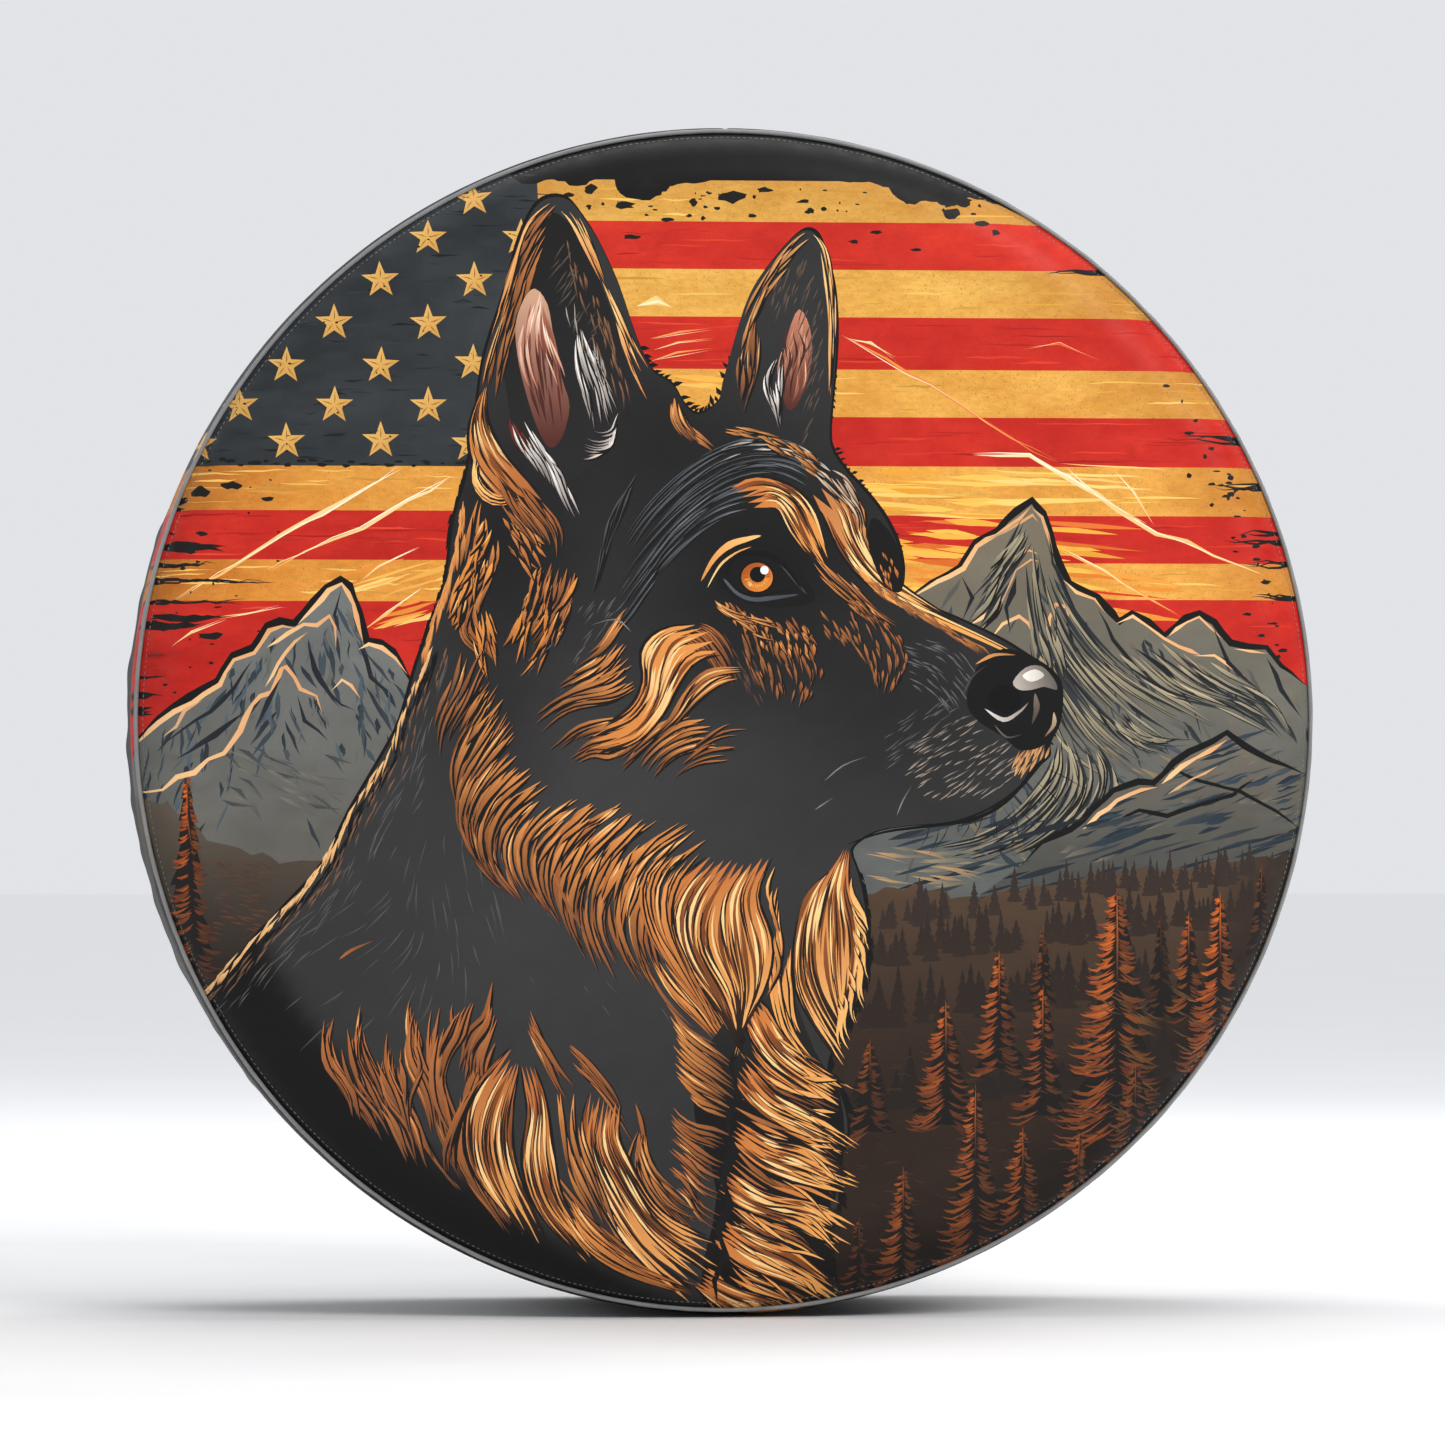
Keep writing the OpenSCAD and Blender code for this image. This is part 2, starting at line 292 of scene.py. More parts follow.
def slab(upper, lower):
    """Two grids of points joined along their edges."""
    nu, nv = upper.shape[:2]
    k = nu * nv
    i, j, z = np.arange(nu) * nv, np.arange(nv), (nu - 1) * nv
    far = i + nv - 1
    edges = [(i[:-1], i[:-1] + k, i[1:] + k, i[1:]), (far[:-1], far[1:], far[1:] + k, far[:-1] + k),
             (j[:-1], j[1:], j[1:] + k, j[:-1] + k),
             (j[:-1] + z, j[:-1] + z + k, j[1:] + z + k, j[1:] + z)]
    V = np.concatenate([upper.reshape(-1, 3), lower.reshape(-1, 3)])
    faces = [quads(nu, nv), quads(nu, nv, base=k, flip=True)]
    return V, faces + [np.stack(e, -1) for e in edges]


def linear(c):
    """sRGB from 0 to 255, to linear."""
    c = np.asarray(c, float) / 255
    return np.where(c <= 0.04045, c / 12.92, ((c + 0.055) / 1.055) ** 2.4)


# --- materials


class Nodes:
    def __init__(self, name):
        self.m = bpy.data.materials.new(name)
        self.m.use_nodes = True
        self.t = self.m.node_tree
        self.t.nodes.clear()
        out = self.t.nodes.new("ShaderNodeOutputMaterial")
        self.b = self.t.nodes.new("ShaderNodeBsdfPrincipled")
        self.t.links.new(self.b.outputs[0], out.inputs[0])
        self.co = self.t.nodes.new("ShaderNodeTexCoord").outputs["Object"]

    def put(self, socket, v):
        if isinstance(v, bpy.types.NodeSocket):
            self.t.links.new(v, socket)
        elif isinstance(v, (tuple, list)) and len(v) == 3 and socket.type == "RGBA":
            socket.default_value = (*v, 1)
        else:
            socket.default_value = v

    def node(self, kind, inputs, **settings):
        n = self.t.nodes.new("ShaderNode" + kind)
        for k, v in settings.items():
            setattr(n, k, v)
        for k, v in inputs.items():
            self.put(n.inputs[k], v)
        return n.outputs

    def finish(self, **kw):
        for k, v in kw.items():
            self.put(self.b.inputs[k.replace("_", " ")], v)
        return self.m

    def scaled(self, x, y, z):
        return self.node("VectorMath", {0: self.co, 1: (x, y, z)}, operation="MULTIPLY")[0]

    def noise(self, scale, detail, rough, vec=None, dist=0.0):
        return self.node("TexNoise", {"Vector": vec or self.co, "Scale": scale, "Detail": detail,
                                      "Roughness": rough, "Distortion": dist})["Fac"]

    def wave(self, scale, axis, dist, detail, detail_scale=1.0):
        return self.node("TexWave", {"Vector": self.co, "Scale": scale, "Distortion": dist,
                                     "Detail": detail, "Detail Scale": detail_scale},
                         bands_direction=axis)["Fac"]

    def math(self, op, a, b, clamp=False):
        return self.node("Math", {0: a, 1: b}, operation=op, use_clamp=clamp)[0]

    def ramp(self, fac, span, to=(0.0, 1.0)):
        return self.node("MapRange", {"Value": fac, "From Min": span[0], "From Max": span[1],
                                      "To Min": to[0], "To Max": to[1]})["Result"]

    def mix(self, fac, a, b, kind="MIX"):
        n = self.t.nodes.new("ShaderNodeMix")
        n.data_type = "RGBA"
        n.blend_type = kind
        for k, v in ((0, fac), (6, a), (7, b)):
            self.put(n.inputs[k], v)
        return n.outputs[2]

    def tint(self, colour, by):
        return self.mix(1.0, colour, by, "MULTIPLY")

    def bump(self, height, strength, distance, under=None):
        inputs = {"Strength": strength, "Distance": distance, "Height": height}
        if under is not None:
            inputs["Normal"] = under
        return self.node("Bump", inputs)[0]

    def pebbles(self):
        """Height of a fine leather grain."""
        pebble = self.node("TexVoronoi", {"Vector": self.co, "Scale": 720},
                           feature="SMOOTH_F1")["Distance"]
        fine = self.noise(2400, detail=2, rough=0.5)
        return self.math("ADD", self.math("MULTIPLY", pebble, 0.8),
                         self.math("MULTIPLY", fine, 0.3))


def srgb(r, g, b):
    return tuple(float(v) for v in linear((r, g, b)))


def times(colour, k, lift=0.0):
    return tuple(min(1, v * k + lift) for v in colour)


MID = (0.3, 0.7)                                     # the range most noises are spread over


def leather_print(name, grain, coat, rough):
    """Printed synthetic leather: the colour is the mesh's own, under a fine pebble grain.

    The alpha of the colour attribute says how worn the print is."""
    n = Nodes(name)
    attr = n.node("Attribute", {}, attribute_name="Print")
    col, alpha = attr["Color"], attr["Alpha"]
    speck = n.noise(1500, detail=3, rough=0.6)
    mottle = n.noise(60, detail=6, rough=0.62)
    patches = n.ramp(n.noise(210, detail=8, rough=0.72, vec=n.scaled(0.55, 1, 1.25)), (0.40, 0.60))
    worn = n.math("MULTIPLY", patches, alpha, True)
    c = n.mix(n.ramp(mottle, MID, to=(0.0, 0.14)), col, n.tint(col, (0.72, 0.72, 0.72)))
    unworn = n.math("MULTIPLY", n.math("SUBTRACT", 1.0, worn), n.math("MULTIPLY", alpha, 0.42))
    c = n.mix(unworn, c, n.tint(c, (0.60, 0.50, 0.42)))
    dots = n.math("MULTIPLY", n.ramp(n.noise(820, detail=2, rough=0.5), (0.62, 0.72)),
                  n.math("MULTIPLY", alpha, 0.55), True)
    c = n.mix(dots, c, (0.03, 0.026, 0.022))
    c = n.mix(n.ramp(speck, (0.35, 0.65), to=(0.0, 0.16)), c, n.tint(c, (0.75, 0.75, 0.75)))
    height = n.pebbles()
    normal = n.bump(n.noise(26, detail=4, rough=0.5), strength=0.25, distance=0.0012)
    normal = n.bump(height, strength=0.30 * grain, distance=0.00022, under=normal)
    roughness = n.math("ADD", n.ramp(mottle, MID, to=(rough - 0.05, rough + 0.06)),
                       n.ramp(speck, MID, to=(-0.04, 0.05)))
    return n.finish(Base_Color=c, Roughness=roughness, Normal=normal, Specular_IOR_Level=0.15,
                    Coat_Weight=coat * 0.5, Coat_Roughness=0.42)


def leather_plain(name, base, rough):
    n = Nodes(name)
    mottle = n.noise(45, detail=5, rough=0.6)
    c = n.mix(n.ramp(mottle, MID), base, times(base, 1.35))
    wide = n.bump(n.noise(24, detail=4, rough=0.5), strength=0.25, distance=0.0012)
    normal = n.bump(n.pebbles(), strength=0.34, distance=0.00022, under=wide)
    return n.finish(Base_Color=c, Roughness=n.ramp(mottle, MID, to=(rough - 0.06, rough + 0.06)),
                    Normal=normal, Specular_IOR_Level=0.45, Sheen_Weight=0.05)


def woven(name, base, pitch, rough, contrast, sheen, bump, axes):
    """A plain weave with fibres and faint unevenness; contrast darkens its gaps as painted shade
    between the yarns.
    """
    n = Nodes(name)
    bands = 1.0 / (pitch * 2) / 3.1831 * 10          # wave scale for this pitch
    wobble = n.noise(500, detail=2, rough=0.5)
    weave = n.math("MAXIMUM", *(n.wave(bands, ax, dist=0.6, detail=2, detail_scale=2)
                                for ax in axes))
    uneven = n.noise(35, detail=5, rough=0.6)
    # painted shade: the gaps of the weave, low in the bump, are darker
    c = n.mix(n.ramp(weave, (0.35, 0.95)), times(base, contrast), base)
    c = n.mix(n.ramp(uneven, MID, to=(0.0, 0.35)), c, n.tint(c, (0.7, 0.7, 0.72)))
    fibres = n.ramp(n.noise(2600, detail=2, rough=0.5), (0.55, 0.75), to=(0.0, 0.3))
    c = n.mix(fibres, c, times(base, 1.7, lift=0.01))
    normal = n.bump(n.math("ADD", weave, n.math("MULTIPLY", wobble, 0.4)), bump, pitch * 0.35)
    return n.finish(Base_Color=c,
                    Roughness=n.ramp(uneven, MID, to=(rough - 0.05, min(1, rough + 0.05))),
                    Normal=normal, Specular_IOR_Level=0.25, Sheen_Weight=sheen,
                    Sheen_Roughness=0.6)


def fleece(name, base):
    """Brushed knit: short fibres laid in soft clumps."""
    n = Nodes(name)
    clumps = n.noise(190, detail=6, rough=0.68, dist=1.2)
    fibre = n.noise(1500, detail=4, rough=0.7, vec=n.scaled(1, 1, 0.35), dist=2.0)
    big = n.noise(14, detail=4, rough=0.55)
    # painted shade and highlight: the clumps darker in their hollows and lighter on top, and the
    # raised fibres lighter, as in the bump
    c = n.mix(n.ramp(clumps, (0.35, 0.68)), times(base, 0.62), times(base, 1.3))
    c = n.mix(n.ramp(fibre, (0.4, 0.7), to=(0, 0.45)), c, times(base, 1.8))
    c = n.mix(n.ramp(big, MID, to=(0, 0.3)), c, n.tint(c, (0.72, 0.72, 0.74)))
    soft = n.bump(clumps, strength=0.55, distance=0.0011)
    return n.finish(Base_Color=c, Roughness=n.ramp(clumps, MID, to=(0.88, 1.0)),
                    Normal=n.bump(fibre, strength=0.6, distance=0.0004, under=soft),
                    Specular_IOR_Level=0.15, Sheen_Weight=0.6, Sheen_Roughness=0.45)


def thread(name, base):
    n = Nodes(name)
    ply = n.wave(900, "DIAGONAL", dist=1.0, detail=1)
    v = n.noise(700, detail=3, rough=0.5)
    # painted shade: the grooves between the plies, low in the bump, are darker
    c = n.mix(n.ramp(ply, (0.3, 0.8)), times(base, 0.55), base)
    c = n.mix(n.ramp(v, (0.35, 0.65), to=(0, 0.5)), c, times(base, 1.4))
    return n.finish(Base_Color=c, Roughness=n.ramp(v, MID, to=(0.55 - 0.08, 0.55 + 0.1)),
                    Normal=n.bump(ply, strength=0.4, distance=0.00008),
                    Specular_IOR_Level=0.4, Sheen_Weight=0.2)


def metal(name, base, rough):
    n = Nodes(name)
    v = n.noise(260, detail=6, rough=0.7)
    fine = n.noise(3000, detail=2, rough=0.6, vec=n.scaled(1, 0.2, 1))
    roughness = n.math("ADD", n.ramp(v, MID, to=(rough - 0.08, rough + 0.1)),
                       n.ramp(fine, MID, to=(-0.03, 0.04)))
    return n.finish(Base_Color=n.mix(n.ramp(v, (0.35, 0.7)), base, times(base, 0.8)), Metallic=1.0,
                    Roughness=roughness, Normal=n.bump(fine, strength=0.12, distance=0.00004))


def plastic(name, base, rough, texture):
    n = Nodes(name)
    v = n.noise(90, detail=4, rough=0.55)
    fine = n.noise(2200, detail=3, rough=0.6)
    roughness = n.math("ADD", n.ramp(v, MID, to=(rough - 0.05, rough + 0.05)),
                       n.ramp(fine, MID, to=(-0.05, 0.05)))
    return n.finish(Base_Color=n.mix(n.ramp(v, MID), base, times(base, 1.35)), Roughness=roughness,
                    Normal=n.bump(fine, strength=texture, distance=0.00006),
                    Specular_IOR_Level=0.5)


def cord_skin(name, base):
    n = Nodes(name)
    v = n.noise(1300, detail=4, rough=0.6)
    wide = n.noise(120, detail=4, rough=0.5)
    # painted shade and highlight: the braid darker where its bump is low and lighter where it is
    # raised
    return n.finish(Base_Color=n.mix(n.ramp(v, (0.35, 0.7)), times(base, 0.6), times(base, 1.9)),
                    Roughness=n.ramp(wide, MID, to=(0.55, 0.72)),
                    Normal=n.bump(v, strength=0.5, distance=0.00012),
                    Specular_IOR_Level=0.35, Sheen_Weight=0.3)


def cloth(name, rgb, pitch, axes, rough=0.85, contrast=0.5, sheen=0.25, bump=0.6):
    return woven(name, srgb(*rgb), pitch, rough, contrast, sheen, bump, axes)


M = {
    "print": leather_print("printed leatherette", grain=1.0, coat=0.1, rough=0.5),
    "print_band": leather_print("printed band leatherette", grain=1.1, coat=0.08, rough=0.48),
    "backing": cloth("knit backing", (58, 58, 60), 0.0009, "XY", 0.92, sheen=0.3, bump=0.5),
    "face_back": cloth("face backing", (60, 60, 62), 0.0009, "XZ", 0.92, sheen=0.3, bump=0.5),
    "fleece": fleece("lining fleece", srgb(92, 92, 94)),
    "tape": cloth("joint tape", (46, 46, 48), 0.0007, "YZ", sheen=0.2),
    "thread": thread("stitching thread", srgb(118, 118, 116)),
    "thread_dark": thread("hem thread", srgb(96, 96, 96)),
    # the piping's mid grey is a painted highlight, standing for the sheen along a darker bead
    "piping": leather_plain("piping skin", srgb(118, 118, 118), rough=0.40),
    "core": cloth("piping core", (206, 203, 194), 0.0006, "XY", 0.9, contrast=0.6, sheen=0.2),
    "binding": cloth("edge binding", (56, 56, 58), 0.0006, "XZ"),
    "label": cloth("label cloth", (222, 220, 214), 0.00035, "YZ", 0.7, contrast=0.86, sheen=0.15,
                   bump=0.35),
    "metal": metal("eyelet metal", (0.72, 0.71, 0.70), rough=0.27),
    "hem": cloth("hem tape", (40, 40, 43), 0.0007, "XZ", 0.82, contrast=0.48, bump=0.7),
    "elastic": cord_skin("braided elastic", srgb(34, 34, 36)),
    "lock": plastic("lock plastic", srgb(26, 26, 28), rough=0.40, texture=0.3),
    "button": plastic("button plastic", srgb(38, 38, 40), rough=0.34, texture=0.22),
    "spring": metal("spring wire", (0.66, 0.66, 0.68), rough=0.22),
}

# --- the printed picture
# It is drawn as flat shapes on a square grid, x to the right and y down. Later shapes cover
# earlier ones. Paths are texts of "x,y" points; where several are given, each has a line.
GRID = 0.0011752                                     # one step of the grid
GRID_X, GRID_Y = 752.0, 611.0                        # the face's centre on the grid

rnd = random.Random(20)
uniform = rnd.uniform
Shape = namedtuple("Shape", "outline colour0 colour1 point0 point1 field")
SHAPES = []
DARK = (20, 19, 19)


def shake(a):
    return uniform(-a, a)


def pts(text):
    """Points from a text; a list passes through."""
    if not isinstance(text, str):
        return text
    return [tuple(float(v) for v in word.split(",")) for word in text.split()]


def paths(text):
    return [pts(line) for line in text.split("\n")] if isinstance(text, str) else text


def shape(poly, c0, c1=None, p0=None, p1=None):
    """A polygon shaded from colour c0 at p0 to c1 at p1."""
    if p0 is None:
        p0, p1 = poly[0], poly[len(poly) // 2]
    SHAPES.append(Shape(poly, c0, c0 if c1 is None else c1, p0, p1, None))


def patch(field, poly):
    """A large area whose colour is set by field_colour."""
    SHAPES.append(Shape(poly, DARK, DARK, poly[0], poly[1], field))


def box(x0, y0, x1, y1):
    return [(x0, y0), (x1, y0), (x1, y1), (x0, y1)]


def smooth(points, per=5, closed=False):
    """A Catmull-Rom curve through points."""
    out, n = [], len(points)
    for i in range(n if closed else n - 1):
        p0 = points[(i - 1) % n] if closed or i > 0 else points[i]
        p1, p2 = points[i], points[(i + 1) % n]
        p3 = points[(i + 2) % n] if closed or i + 2 < n else p2
        for k in range(per):
            t = k / per
            out.append(tuple(0.5 * (2 * p1[j] + (p2[j] - p0[j]) * t
                                    + (2 * p0[j] - 5 * p1[j] + 4 * p2[j] - p3[j]) * t * t
                                    + (3 * p1[j] - p0[j] - 3 * p2[j] + p3[j]) * t ** 3)
                             for j in (0, 1)))
    if not closed:
        out.append(tuple(points[-1]))
    return out


def resample(points, gap):
    out = [points[0]]
    for a, b in zip(points, points[1:]):
        n = max(1, int(math.dist(a, b) / gap))
        for k in range(1, n + 1):
            out.append((a[0] + (b[0] - a[0]) * k / n, a[1] + (b[1] - a[1]) * k / n))
    return out


def rough(points, amp, gap=4.0):
    return [(x + shake(amp), y + shake(amp)) for x, y in resample(points, gap)]


def heading(a, b):
    dx, dy = b[0] - a[0], b[1] - a[1]
    d = math.hypot(dx, dy) or 1.0
    return dx / d, dy / d


def stroke(path, width, c0, c1=None, peak=0.4, sharp=0.8, flat=False, jitter=0.0):
    """A tapered stroke along path: pointed at both ends, widest at peak."""
    n = len(path)
    left, right = [], []
    for i, (x, y) in enumerate(path):
        a, b = path[max(0, i - 1)], path[min(n - 1, i + 1)]
        dx, dy = b[0] - a[0], b[1] - a[1]
        d = math.hypot(dx, dy) or 1.0
        t = i / (n - 1)
        if i in (0, n - 1):
            left.append((x, y))
            continue
        f = (t / peak) ** sharp if t < peak else ((1 - t) / (1 - peak)) ** sharp
        if flat:
            f = min(1.0, min(t, 1 - t) * 7)
        f *= 0.5 * width * (1 + shake(jitter))
        left.append((x - dy / d * f, y + dx / d * f))
        right.append((x + dy / d * f, y - dx / d * f))
    shape(left + right[::-1], c0, c1, path[0], path[-1])


def sweep(text, width, c0, c1=None, peak=0.4, sharp=0.8, per=4):
    stroke(smooth(pts(text), per), width, c0, c1, peak, sharp)


def blob(text, *colours):
    shape(smooth(pts(text), 3, True), *colours)


def mix(a, b, t):
    return tuple(a[i] + (b[i] - a[i]) * t for i in range(3))


def vary(c, s):
    """The colour c made a little lighter or darker."""
    k = shake(s)
    return tuple(max(0, min(255, v + k * (0.6 + 0.4 * v / 255))) for v in c)


def inside(p, poly):
    x, y = p
    c = False
    j = len(poly) - 1
    for i in range(len(poly)):
        xi, yi = poly[i]
        xj, yj = poly[j]
        if (yi > y) != (yj > y) and x < (xj - xi) * (y - yi) / (yj - yi) + xi:
            c = not c
        j = i
    return c


def flow(guides):
    """A field of directions led by guides of x, y, dx, dy."""
    def f(x, y):
        sx = sy = 0.0
        for gx, gy, dx, dy in guides:
            weight = 1.0 / ((x - gx) ** 2 + (y - gy) ** 2 + 40) ** 1.6
            d = math.hypot(dx, dy)
            sx += weight * dx / d
            sy += weight * dy / d
        d = math.hypot(sx, sy) or 1.0
        return sx / d, sy / d
    return f


def spread(poly, n, tries):
    """n well-spaced points inside poly."""
    xs, ys = zip(*poly)
    points = []
    miss = 0
    while len(points) < n and miss < 4000:
        best, best_d = None, -1
        for _ in range(tries):
            p = (uniform(min(xs), max(xs)), uniform(min(ys), max(ys)))
            if not inside(p, poly):
                miss += 1
                continue
            d = min(((p[0] - q[0]) ** 2 + (p[1] - q[1]) ** 2 for q in points[-160:]), default=1e9)
            if d > best_d:
                best, best_d = p, d
        if best:
            points.append(best)
    return points


def trace(p, f, length, k, bending):
    path = [p]
    x, y = p
    s = length / k
    bend = shake(bending)
    for i in range(k):
        dx, dy = f(x, y)
        c, sn = math.cos(bend * i / k), math.sin(bend * i / k)
        x, y = x + s * (dx * c - dy * sn), y + s * (dx * sn + dy * c)
        path.append((x, y))
    return path


FUR_GOLD = ((238, 160, 72), (196, 116, 52))
FUR_TAN = ((214, 138, 70), (160, 92, 46))


def fur(outline, guides, n, length, width, tones=(FUR_GOLD, FUR_TAN), shine=0.12):
    """Locks of fur that follow the guides: warm strokes, dark cuts and a few bright hairs."""
    guides = pts(guides)
    f = flow(guides)
    points = spread(pts(outline), n, 7)
    # the locks nearest the tips of the flow are laid first, so each root covers the tip above it
    points.sort(key=lambda p: -(p[0] * guides[0][2] + p[1] * guides[0][3]))
    for p in points:
        tone = rnd.choice(tones)
        l = length * uniform(0.6, 1.25)
        path = trace(p, f, l, 6, 0.5)
        w = width * uniform(0.65, 1.25)
        stroke([(x + 0.9, y + 0.9) for x, y in path], w + 1.5, DARK)
        stroke(path, w, vary(tone[0], 14), vary(tone[1], 14), uniform(0.3, 0.5))
        if rnd.random() < 0.45:
            off = w * shake(0.3)
            cut = [(x + off, y + off * 0.5) for x, y in trace(p, f, l * 0.8, 5, 0.5)]
            stroke(cut, max(0.7, w * 0.28), mix(tone[1], DARK, 0.6), DARK, 0.5)
        if rnd.random() < shine:
            stroke(trace(p, f, l * uniform(0.5, 0.8), 5, 0.5), max(0.8, w * 0.36),
                   (255, 226, 160), tone[0], 0.5)


def hairs(outline, guides, n, length, width, c0, c1):
    f = flow(pts(guides))
    for p in spread(pts(outline), n, 3):
        stroke(trace(p, f, length * uniform(0.5, 1.2), 5, 0.4), width * uniform(0.6, 1.2),
               vary(c0, 10), vary(c1, 6), 0.45)


def even(points):
    """21 points at equal distances along a smooth path."""
    q = smooth(points, 6)
    s = [0.0]
    for a, b in zip(q, q[1:]):
        s.append(s[-1] + math.dist(a, b))
    xs, ys = zip(*q)
    return [(float(np.interp(s[-1] * k / 20, s, xs)), float(np.interp(s[-1] * k / 20, s, ys)))
            for k in range(21)]


def bundle(guides):
    """Point (u, t) of a lock: u across the guides from 0 to 1, t along them from 0 to 1."""
    G = [even(g) for g in paths(guides)]
    sway, phase, rate = uniform(0.8, 2.0), uniform(0, 6.28), uniform(5.5, 8.5)

    def at(u, t):
        v = min(max(u, 0.0), 1.0) * (len(G) - 1)
        k = min(int(v), len(G) - 2)
        f = v - k
        w = min(max(t, 0.0), 1.0) * 20
        i = min(int(w), 19)
        h = w - i + (max(t - 1, 0) * 20)
        p = [[g[i][j] + (g[i + 1][j] - g[i][j]) * h for j in (0, 1)] for g in (G[k], G[k + 1])]
        b = phase + rate * t + 2.6 * u
        return (p[0][0] + (p[1][0] - p[0][0]) * f + sway * math.sin(b),
                p[0][1] + (p[1][1] - p[0][1]) * f + 0.6 * sway * math.cos(b))
    return at


def wisp(at, u, t0, t1, width, c0, c1, slip=0.0, dark=0, peak=0.35):
    """One hair of a bundle, over a dark stroke wider by dark."""
    path = [at(u + slip * j / 8, t0 + (t1 - t0) * j / 8) for j in range(9)]
    if dark:
        stroke([(x + 0.7, y + 0.6) for x, y in path], width + dark, DARK, DARK, peak)
    stroke(path, width, c0, c1, peak)


def strands(guides, n, width, tones, length=(0.45, 0.8), span=(0.0, 1.0), light=0.14, dark=1.6,
            slip=0.05, cream=(252, 214, 150)):
    """Long thin strands that follow the guides, laid side by side with dark gaps between them.

    length is a strand's share of the guides, span the part they lie in, light the share of
    strands that carry a cream hair."""
    c0, c1 = tones
    at = bundle(guides)
    order = list(range(n))
    rnd.shuffle(order)
    for i in order:
        u = (i + 0.5 + shake(0.35)) / n
        m = uniform(*length) * (span[1] - span[0])
        t0 = span[0] + rnd.random() * max(0.0, span[1] - span[0] - m)
        t1 = min(1.06, t0 + m)
        wisp(at, u, t0, t1, width * uniform(0.6, 1.25), vary(c0, 14), vary(c1, 10),
             shake(slip), dark, uniform(0.3, 0.55))
        if rnd.random() < light:
            wisp(at, u + shake(0.01), t0 + 0.1 * m, t1 - 0.25 * m, width * 0.42, cream, c0)


def clump(guides, tones, cuts, lights, tips, cut=1.5, shine=1.7, reach=1.08):
    """A full lock: a solid body with pointed tips, dark cuts along it and bright hairs."""
    cream, deep = (255, 226, 162), (150, 82, 38)
    at = bundle(guides)
    left = [at(0, t / 14) for t in range(1, 14)]
    right = [at(1, t / 14) for t in range(13, 0, -1)]
    end, root = [], []
    for k in range(tips * 2 + 1):
        u = k / (tips * 2)
        end.append(at(u, uniform(0.98, reach) if k % 2 else uniform(0.80, 0.90)))
        root.append(at(1 - u, uniform(-0.02, 0.03) if k % 2 else uniform(0.10, 0.2)))
    for u in (0.0, 1.0):
        stroke([at(u, t / 12) for t in range(13)], 4.4, DARK, DARK, 0.4, 0.5)
    shape(left + end + right + root, *tones, at(0.5, 0.05), at(0.5, 0.95))
    for _ in range(cuts):                            # shade first, then cuts, then light
        u = rnd.random()
        t0 = uniform(0.0, 0.5)
        wisp(at, u, t0, min(1.0, t0 + uniform(0.3, 0.6)), cut * uniform(1.2, 2.4),
             vary(deep, 12), mix(deep, DARK, 0.4), shake(0.05))
    for i in range(cuts):
        u = (i + uniform(0.2, 0.8)) / cuts
        t0 = uniform(0.0, 0.45)
        wisp(at, u, t0, min(1.02, t0 + uniform(0.35, 0.65)), cut * uniform(0.7, 1.3), DARK,
             (46, 30, 22), shake(0.05), peak=0.6)
    for _ in range(cuts // 2):
        wisp(at, rnd.random(), uniform(0.62, 0.78), 1.05, cut * uniform(1.0, 2.0), (70, 40, 24),
             DARK, peak=0.75)
    for i in range(lights):
        u = (i + uniform(0.1, 0.9)) / lights
        t0 = uniform(0.05, 0.5)
        wisp(at, u, t0, min(1.02, t0 + uniform(0.2, 0.5)), shine * uniform(0.6, 1.3), cream,
             mix(cream, tones[1], 0.6), shake(0.03), peak=0.5)


# strand colours, root and tip
GOLD = ((226, 146, 74), (164, 96, 48))
BROWN = ((186, 112, 58), (112, 68, 40))
GOLD_BROWN = (GOLD[0], BROWN[1])
WHITE = ((240, 232, 224), (126, 118, 114))

# - sky: a striped flag
patch("black", box(330, 190, 1165, 1030))
RIGHT = [271, 297, 327, 357, 390, 420, 451, 482, 512, 535, 640]     # edges of the stripes
LEFT = [425, 452, 480, 511, 537, 700]
for i in range(10):
    patch("red" if i % 2 else "gold", box(630, RIGHT[i], 1150, RIGHT[i + 1] + 2))
for i, kind in enumerate(("canton", "gold", "red", "gold", "red")):
    patch(kind, box(352, LEFT[i], 640, LEFT[i + 1] + 2))
patch("canton", rough(pts("352,232 500,232 631,248"), 1) + pts("636,452 352,452"))


def streaks(xs, ys, n, lengths, width, cols, slope=0.0):
    """Worn marks across the stripes."""
    for _ in range(n):
        x, y, l = uniform(*xs), uniform(*ys), uniform(*lengths)
        s = slope + shake(0.03)
        path = [(x + l * k / 5, y + l * k / 5 * s + shake(0.5)) for k in range(6)]
        c = vary(rnd.choice(cols), 12)
        stroke(path, width * uniform(0.5, 1.3), c, c, uniform(0.3, 0.7), 0.7)


for i in range(10):                                  # grain inside the stripes
    streaks((660, 1080), (RIGHT[i] + 3, RIGHT[i + 1] - 3), 26, (12, 60), 1.3,
            [(170, 30, 24), (216, 58, 36), (186, 36, 28)] if i % 2
            else [(206, 150, 60), (240, 196, 98), (214, 158, 62)])
for i in range(1, 5):
    streaks((380, 560), (LEFT[i] + 3, min(LEFT[i + 1], 640) - 3), 22, (10, 50), 1.3,
            [(210, 150, 62), (242, 194, 100)] if i % 2 else [(170, 32, 26), (218, 64, 40)])
